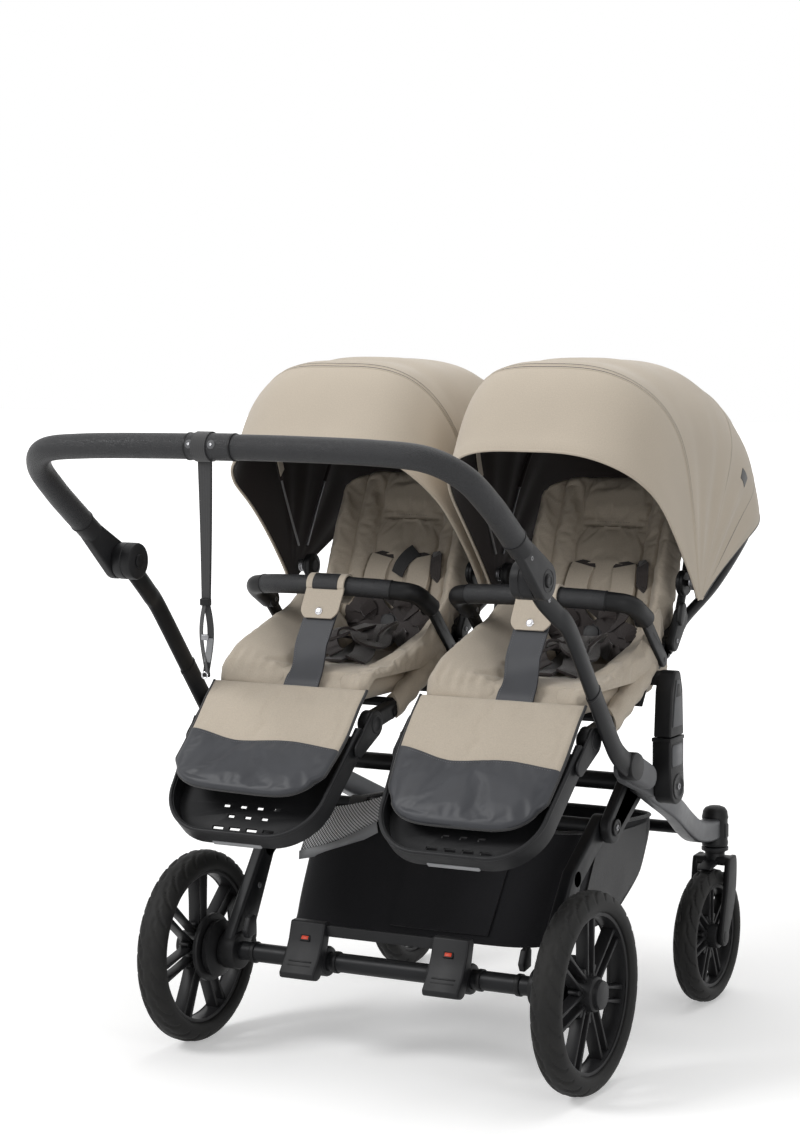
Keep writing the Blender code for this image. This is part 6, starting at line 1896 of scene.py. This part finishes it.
def belts(name, x):
    place = back_place(x)
    body = f"backrest_{name}"
    for label, s in SIDES:
        band(f"shoulder_pad_{name}_{label}", place, [(s * 0.036, 0.179, 0.012), (s * 0.039, 0.165, 0.015),
            (s * 0.041, 0.14, 0.0165), (s * 0.038, 0.112, 0.016)], 0.04, 0.0085, "liner", body)
        band(f"shoulder_belt_{name}_{label}", place, [(s * 0.038, 0.118, 0.0125), (s * 0.032, 0.1, 0.0175),
            (s * 0.02, 0.084, 0.015), (s * 0.009, 0.074, 0.011)], 0.03, 0.005, "webbing", body, twist=s * 0.5)
        band(f"shoulder_loop_{name}_{label}", place, [(s * 0.046, 0.112, 0.012), (s * 0.052, 0.096, 0.024),
            (s * 0.04, 0.082, 0.026), (s * 0.026, 0.078, 0.018)], 0.026, 0.0024, "webbing", body,
            twist=-s * 0.9)
        band(f"lap_belt_{name}_{label}", place, [(s * 0.01, 0.062, 0.009), (s * 0.036, 0.052, 0.02),
            (s * 0.066, 0.046, 0.0215), (s * 0.092, 0.04, 0.0225), (s * 0.104, 0.034, 0.0205)], 0.034, 0.0095,
            "webbing", body, twist=s * 0.25)
        band(f"lap_tail_{name}_{label}", place, [(s * 0.03, 0.06, 0.017), (s * 0.05, 0.07, 0.028),
            (s * 0.07, 0.066, 0.027), (s * 0.078, 0.054, 0.026)], 0.026, 0.0024, "webbing", body,
            twist=s * 0.8)
        slider = block(Vector((-0.0135, -0.0055, -0.0016)), Vector((0.0135, 0.0055, 0.002)), 0.001)
        slider.data.transform(place @ Matrix.Translation((s * 0.036, 0.107, 0.0175)))
        settle(slider, f"belt_slider_{name}_{label}", "black", body)
    for k, points in enumerate(([(-0.016, 0.06, 0.014), (-0.034, 0.044, 0.03), (-0.046, 0.03, 0.042),
            (-0.034, 0.022, 0.05)], [(0.014, 0.072, 0.016), (0.03, 0.088, 0.03), (0.018, 0.1, 0.034),
            (0.004, 0.092, 0.026)], [(0.018, 0.052, 0.016), (0.036, 0.036, 0.03), (0.052, 0.028, 0.042),
            (0.064, 0.034, 0.04)], [(-0.052, 0.06, 0.026), (-0.06, 0.078, 0.036), (-0.044, 0.09, 0.034),
            (-0.032, 0.078, 0.026)])):
        band(f"belt_fold_{name}_{k}", place, points, 0.027, 0.0032, "webbing", body,
            twist=0.7 if k % 2 else -0.7)
    band(f"crotch_belt_{name}", place, [(0.0, 0.05, 0.01), (0.003, 0.038, 0.019), (0.001, 0.026, 0.03),
        (0.0, 0.021, 0.044)], 0.034, 0.0085, "webbing", body)
    on_seat = Matrix.Translation(at(x, 0, 0))
    for k, (points, width, twist) in enumerate((([(0.012, 0.146, 0.602), (0.012, 0.2, 0.608),
            (0.008, 0.262, 0.62), (0.002, 0.318, 0.64)], 0.036, 0.0),
            ([(0.016, 0.318, 0.64), (0.034, 0.276, 0.634), (0.052, 0.236, 0.624), (0.054, 0.208, 0.622),
            (0.042, 0.192, 0.63), (0.026, 0.206, 0.64)], 0.03, 0.5),
            ([(-0.01, 0.312, 0.64), (-0.024, 0.272, 0.634), (-0.03, 0.232, 0.63), (-0.022, 0.2, 0.628),
            (-0.006, 0.188, 0.632), (0.008, 0.204, 0.638)], 0.03, -0.4),
            ([(0.024, 0.262, 0.632), (0.034, 0.22, 0.62), (0.046, 0.184, 0.608), (0.052, 0.15, 0.604)], 0.034,
            0.35), ([(0.04, 0.28, 0.638), (0.058, 0.256, 0.65), (0.064, 0.232, 0.646), (0.058, 0.214, 0.632)],
            0.027, -0.9), ([(-0.004, 0.236, 0.628), (-0.02, 0.206, 0.636), (-0.03, 0.176, 0.63),
            (-0.024, 0.156, 0.616)], 0.029, 0.7), ([(0.02, 0.23, 0.634), (0.0, 0.214, 0.646),
            (-0.012, 0.192, 0.64), (-0.004, 0.17, 0.62), (0.012, 0.162, 0.612)], 0.027, -0.6))):
        band(f"seat_belt_fold_{name}_{k}", on_seat, points, width, 0.004, "webbing", f"seat_{name}",
            twist=twist)
    centre = place @ Vector((0, 0.066, 0.0))
    axis = place.col[2].xyz
    case = lathe([(0.0, 0.0006), (0.0185, 0.0006), (0.0215, 0.003), (0.022, 0.007), (0.0216, 0.011),
        (0.019, 0.0145), (0.015, 0.016), (0.0125, 0.016), (0.0123, 0.0105), (0.0, 0.0105)], centre, axis, 56)
    wings = [slab([(s * 0.012, 0.058), (s * 0.028, 0.055), (s * 0.031, 0.066), (s * 0.028, 0.077),
        (s * 0.012, 0.074)], 0.003, 0.01, 0.0018, place=place) for s in (-1, 1)]
    settle(join(case, *wings), f"harness_buckle_{name}", "dark", body, [f"harness_{name}"])
    settle(lathe([(0.0, 0.0108), (0.0118, 0.0108), (0.012, 0.0166), (0.0112, 0.0177), (0.0085, 0.0181),
        (0.0, 0.0182)], centre, axis, 48), f"harness_button_{name}_cap", "dark", f"harness_button_{name}",
        [f"harness_button_{name}"])
    for k, turn in enumerate((0.8, 2.2, 3.9, 5.3)):
        spot = centre + place.to_3x3() @ Vector((0.0172 * cos(turn), 0.0172 * sin(turn), 0))
        settle(puck(spot, axis, 0.0016, 0.0135, 0.0156, 0.0004, 16), f"buckle_mark_{name}_{k}", "grey", body)
    if name == "left":
        band(f"adjuster_strap_{name}", place, [(-0.002, 0.148, 0.015), (0.006, 0.164, 0.021),
            (0.016, 0.18, 0.02), (0.026, 0.192, 0.015)], 0.024, 0.0022, "tape", body, twist=0.15)
    band(f"keeper_loop_{name}", place, [(0.07, 0.168, 0.018), (0.074, 0.178, 0.03), (0.078, 0.164, 0.035),
        (0.076, 0.146, 0.026), (0.072, 0.14, 0.019)], 0.02, 0.0022, "webbing", body)


def crotch_strap(name, x):
    body = f"seat_{name}"
    bar = at(x + 0.012, 0.144, 0.7222)
    start_at = [(0.031, 0.574), (0.0375, 0.584), (0.045, 0.592), (0.0535, 0.6005), (0.068, 0.616),
        (0.086, 0.641), (0.105, 0.668), (0.121, 0.69), (0.129, 0.702)]
    path = [at(x + 0.012 + 0.01 * smooth_step(0.64 - z, 0, 0.05), y, z) for y, z in catmull(start_at, 8)]
    normals = [Vector((0, -1, 0.3)).normalized()] * len(path)
    widths = [0.062 - 0.004 * smooth_step(i / (len(path) - 1), 0.0, 0.5) for i in range(len(path))]
    settle(ribbon(path, normals, 0.06, 0.004, widths), f"crotch_strap_{name}_cover", "vinyl", body,
        [f"crotch_strap_{name}"])
    for label, s in SIDES:
        line = [p + Vector((s * (w / 2 - 0.0035), -0.0021, 0.0006)) for p, w in zip(path, widths)]
        settle(stitches(line, 0.0004, 0.0026, 0.0015), f"crotch_stitch_{name}_{label}", "grey_thread", body)
    radius = 0.0155 + 0.0024
    loop = [Vector((0, -0.042, -0.048)), Vector((0, -0.031, -0.029))]
    for k in range(19):
        angle = radians(196 - 212 * k / 18)
        loop.append(Vector((0, radius * cos(angle), radius * sin(angle))))
    loop += [Vector((0, 0.012, -0.02)), Vector((0, -0.002, -0.028))]
    loop = catmull(loop, 4)
    points = [bar + p for p in loop]
    faces = []
    for i, p in enumerate(loop):
        after = loop[min(i + 1, len(loop) - 1)]
        before = loop[max(i - 1, 0)]
        along = (after - before).normalized()
        faces.append(Vector((0, -along.z, along.y)))
    wide = [0.068 - 0.02 * (1 - min(1.0, i / 3)) ** 2 for i in range(len(points))]
    settle(ribbon(points, faces, 0.068, 0.003, wide), f"crotch_loop_{name}", "liner", body)
    shown = [i for i, p in enumerate(loop) if p.y < -0.004 and -0.006 < p.z < 0.0175]
    settle(ribbon([points[i] + faces[i] * 0.0019 for i in shown], [faces[i] for i in shown], 0.045, 0.001),
        f"crotch_patch_{name}", "leather", body)
    snap_at = bar + Vector((0, -0.0378, -0.0375))
    out = Vector((0, -0.93, 0.36)).normalized()
    settle(lathe([(0.0, 0.0), (0.0062, 0.0), (0.0062, 0.0016), (0.005, 0.0026), (0.0025, 0.003),
        (0.0, 0.0031)], snap_at, out, 32), f"crotch_snap_{name}", "chrome", body)


class STROLLER_OT_harness(bpy.types.Operator):
    """Five point harness with pads and round buckle, and the broad strap on the bumper bar"""
    bl_idname = "stroller.harness"
    bl_label = "Harness"

    def execute(self, context):
        for name, _, x in SEATS:
            belts(name, x)
            crotch_strap(name, x)
        return {"FINISHED"}


# Basket
def basket_bottom(y):
    return 0.1875 + 0.0845 * max(0.0, (y - 0.33) / 0.1797)


def basket_point(turn, depth, ring=1.0, lift=0.0):
    """A point of the basket's wall, from its rim to the floor, and of the floor by its ring."""
    c = cos(turn)
    d = sin(turn)
    size = (abs(c) ** 7 + abs(d) ** 7) ** (-1 / 7)
    a = c * size * ring
    b = d * size * ring
    share = (b + 1) / 2
    rim = Vector((0.242 * a, 0.184 + 0.3235 * share, 0.3515 - 0.018 * share))
    y = 0.074 + 0.43 * share
    floor = Vector((0.233 * a, y, basket_bottom(y)))
    place = rim.lerp(floor, depth)
    if depth < 1:
        belly = 0.003 * sin(pi * depth)
        place += Vector((belly * a, belly * b, 0))
        crease = 0.0016 * noise.noise(Vector((place.x * 16, place.y * 16, place.z * 22)))
        place += Vector((crease * a, crease * b, 0))
        place.z -= 0.003 * sin(pi * (share + 0.5)) ** 2 * (1 - depth) ** 3
    else:
        place.z -= 0.002 * (1 - ring)
    out = Vector((a, b, 0))
    return at(*(place + out * lift))


class STROLLER_OT_basket(bpy.types.Operator):
    """Sagging cloth basket with bound rim, pocket, net panels and hanging loops"""
    bl_idname = "stroller.basket"
    bl_label = "Basket"

    def execute(self, context):
        turns = [TURN * k / 120 for k in range(120)]
        rows = [[basket_point(t, i / 22) for t in turns] for i in range(22)]
        rows += [[basket_point(t, 1.0, 1 - 0.96 * (i / 16)) for t in turns] for i in range(17)]
        bag = fill_ends(sheet_mesh(rows, "bag", closed_rows=True), below=0.24)
        apply(bag, "SOLIDIFY", thickness=1.4 * sizes().cloth_thickness, offset=-1.0)
        settle(bag, "basket_cloth", "basket", "chassis", ["basket"], smooth=60)
        settle(pipe([basket_point(t, 0.0) for t in turns + [0.0]], 0.003, 10), "basket_binding",
            "tape", "chassis")

        def patch(name, first, last, top, bottom, lift, finish, thickness=0.0012):
            grid = [[basket_point(first + (last - first) * k / 40, top + (bottom - top) * i / 24, 1.0, lift)
                for k in range(41)] for i in range(25)]
            made = sheet_mesh(grid)
            apply(made, "SOLIDIFY", thickness=thickness, offset=0.0)
            settle(made, name, finish, "chassis", smooth=60)

        patch("basket_pocket", radians(262), radians(300), 0.3, 0.92, 0.0035, "basket", 0.0022)
        patch("basket_pocket_hem", radians(262), radians(300), 0.3, 0.34, 0.0055, "tape")
        for label, low_edge, high_edge, finish, lift in (("net",
                ((-0.238, 0.15, 0.286), (-0.104, 0.165, 0.343)),
                ((-0.226, 0.176, 0.356), (-0.082, 0.176, 0.39)), "net", 0.0),
                ("band", ((-0.238, 0.147, 0.274), (-0.1, 0.162, 0.327)),
                ((-0.238, 0.148, 0.288), (-0.103, 0.163, 0.345)), "strip", 0.001)):
            grid = []
            for i in range(13):
                row = []
                for k in range(33):
                    low = Vector(low_edge[0]).lerp(Vector(low_edge[1]), k / 32)
                    high = Vector(high_edge[0]).lerp(Vector(high_edge[1]), k / 32)
                    p = low.lerp(high, i / 12)
                    p.y -= lift + 0.006 * sin(pi * i / 12) * sin(pi * k / 32)
                    p.z -= 0.007 * sin(pi * k / 32)
                    row.append(at(*p))
                grid.append(row)
            made = sheet_mesh(grid)
            apply(made, "SOLIDIFY", thickness=0.0012, offset=0.0)
            settle(made, f"basket_{label}_rear", finish, "chassis", smooth=60)
        patch("basket_net_left", radians(150), radians(207), 0.08, 0.86, 0.003, "net_dark")
        patch("basket_net_right", radians(-27), radians(30), 0.08, 0.86, 0.003, "net_dark")
        for label, s in SIDES:
            for k, (cross, radius) in enumerate(((CROSSBAR, 0.013), (FRONT_BAR, 0.012))):
                loop = []
                normals = []
                for n in range(25):
                    angle = radians(-60 + 300 * n / 24)
                    out = Vector((0, cos(angle), sin(angle)))
                    loop.append(at(s * 0.15, *cross) + out * radius)
                    normals.append(out)
                settle(ribbon(loop, normals, 0.03, 0.0016), f"basket_loop_{label}_{k}", "tape",
                    "chassis")
                settle(puck(at(s * 0.15, *cross), (0, -1, 0), 0.004, radius, radius + 0.0022,
                    0.0006, 20), f"basket_snap_{label}_{k}", "steel", "chassis")
        return {"FINISHED"}


# Stage
CAMERA_PLACE = (2.063, -3.711, 1.183)
CAMERA_AZIMUTH = 28.7
CAMERA_ELEVATION = 5.54
CAMERA_ROLL = -0.35
CAMERA_LENS = 89.43


class STROLLER_OT_stage(bpy.types.Operator):
    """Camera of the photograph, soft studio lamps and a pale floor"""
    bl_idname = "stroller.stage"
    bl_label = "Stage"

    def execute(self, context):
        scene = context.scene
        camera_data = bpy.data.cameras.new("camera")
        camera_data.lens = CAMERA_LENS
        camera_data.sensor_width = 36.0
        camera_data.clip_start = 0.1
        camera_data.clip_end = 100.0
        camera = link("camera", camera_data)
        azimuth, elevation, roll = (radians(a) for a in (CAMERA_AZIMUTH, CAMERA_ELEVATION, CAMERA_ROLL))
        back = Vector((sin(azimuth) * cos(elevation), -cos(azimuth) * cos(elevation), sin(elevation)))
        right = Vector((cos(azimuth), sin(azimuth), 0.0))
        up = back.cross(right)
        right = right * cos(roll) + up * sin(roll)
        up = back.cross(right)
        turn = Matrix((right, up, back)).transposed().to_4x4()
        camera.matrix_world = Matrix.Translation(at(*CAMERA_PLACE)) @ turn
        scene.camera = camera

        start()
        bpy.ops.mesh.primitive_plane_add(size=40.0, location=(0, 0, -0.0003))
        floor = context.object
        floor.name = "studio_floor"
        floor.data.materials.append(studio_floor())

        lamp("key_lamp", at(-2.6, -3.0, 3.6), at(0, 0.2, 0.6), 1.9, 118.0)
        lamp("fill_lamp", at(3.6, -2.4, 1.9), at(0, 0.2, 0.5), 1.7, 34.0)
        lamp("top_lamp", at(0.2, 0.9, 3.6), at(0, 0.3, 0.5), 3.0, 44.0)
        world = bpy.data.worlds.new("studio")
        scene.world = world
        world.use_nodes = True
        tree = world.node_tree
        shown = tree.nodes["Background"]
        shown.inputs["Color"].default_value = (1.0, 0.995, 0.985, 1.0)
        shown.inputs["Strength"].default_value = 0.36
        bare = add_node(tree, "ShaderNodeBackground", {"Color": (1, 1, 1, 1), "Strength": 1.0})
        mix = add_node(tree, "ShaderNodeMixShader")
        tree.links.new(background_rays(tree), mix.inputs["Fac"])
        tree.links.new(shown.outputs["Background"], mix.inputs[1])
        tree.links.new(bare.outputs["Background"], mix.inputs[2])
        tree.links.new(mix.outputs["Shader"], tree.nodes["World Output"].inputs["Surface"])
        scene.view_settings.view_transform = "Standard"
        return {"FINISHED"}


def background_rays(tree):
    """1 where the background itself is seen: by the camera, in gloss or through glass."""
    path = add_node(tree, "ShaderNodeLightPath")
    return math_of(tree, "MAXIMUM", path.outputs["Is Camera Ray"],
        math_of(tree, "MAXIMUM", path.outputs["Is Transmission Ray"], path.outputs["Is Glossy Ray"]))


def studio_floor():
    """White floor that keeps the shadows and fades to the white background."""
    made, tree, shader = surface("white studio floor", (0.86, 0.86, 0.86), 0.9)
    away = add_node(tree, "ShaderNodeVectorMath", operation="LENGTH")
    tree.links.new(coordinates(tree), away.inputs[0])
    glow = add_node(tree, "ShaderNodeEmission", {"Color": (1, 1, 1, 1)})
    tree.links.new(ramp(tree, away.outputs["Value"], 0.34, 1.0, 1.1, 4.0), glow.inputs["Strength"])
    dark = add_node(tree, "ShaderNodeEmission", {"Color": (0, 0, 0, 1), "Strength": 0.0})
    pick_glow = add_node(tree, "ShaderNodeMixShader")
    both = add_node(tree, "ShaderNodeAddShader")
    tree.links.new(background_rays(tree), pick_glow.inputs["Fac"])
    tree.links.new(dark.outputs["Emission"], pick_glow.inputs[1])
    tree.links.new(glow.outputs["Emission"], pick_glow.inputs[2])
    tree.links.new(shader.outputs["BSDF"], both.inputs[0])
    tree.links.new(pick_glow.outputs["Shader"], both.inputs[1])
    tree.links.new(both.outputs["Shader"], tree.nodes["Material Output"].inputs["Surface"])
    return made


def lamp(name, place, target, size, power):
    data = bpy.data.lights.new(name, "AREA")
    data.shape = "DISK"
    data.size = size
    data.energy = power
    obj = link(name, data)
    obj.location = place
    obj.rotation_euler = (place - target).to_track_quat("Z", "Y").to_euler()


class STROLLER_PT_panel(bpy.types.Panel):
    """Lists the pieces of the stroller"""
    bl_idname = "STROLLER_PT_panel"
    bl_label = "Double stroller"
    bl_space_type = "VIEW_3D"
    bl_region_type = "UI"
    bl_category = "Stroller"

    def draw(self, context):
        column = self.layout.column()
        for group in (context.scene.stroller_sizes, context.scene.stroller_colours):
            for name in group.bl_rna.properties.keys():
                if name not in ("rna_type", "name"):
                    column.prop(group, name)
        for operator in OPERATORS:
            column.operator(operator.bl_idname)


OPERATORS = (
    STROLLER_OT_stage,
    STROLLER_OT_rear_wheels,
    STROLLER_OT_front_wheels,
    STROLLER_OT_chassis,
    STROLLER_OT_axle,
    STROLLER_OT_handle,
    STROLLER_OT_seat_frames,
    STROLLER_OT_bumpers,
    STROLLER_OT_footrests,
    STROLLER_OT_liners,
    STROLLER_OT_harness,
    STROLLER_OT_canopies,
    STROLLER_OT_basket,
)
CLASSES = (StrollerSizes, StrollerColours, *OPERATORS, STROLLER_PT_panel)


def register():
    for made in CLASSES:
        bpy.utils.register_class(made)
    bpy.types.Scene.stroller_sizes = bpy.props.PointerProperty(type=StrollerSizes)
    bpy.types.Scene.stroller_colours = bpy.props.PointerProperty(type=StrollerColours)


def unregister():
    del bpy.types.Scene.stroller_colours
    del bpy.types.Scene.stroller_sizes
    for made in reversed(CLASSES):
        bpy.utils.unregister_class(made)


def main():
    register()
    for operator in OPERATORS:
        group, name = operator.bl_idname.split(".")
        getattr(getattr(bpy.ops, group), name)()


if __name__ == "__main__":
    main()
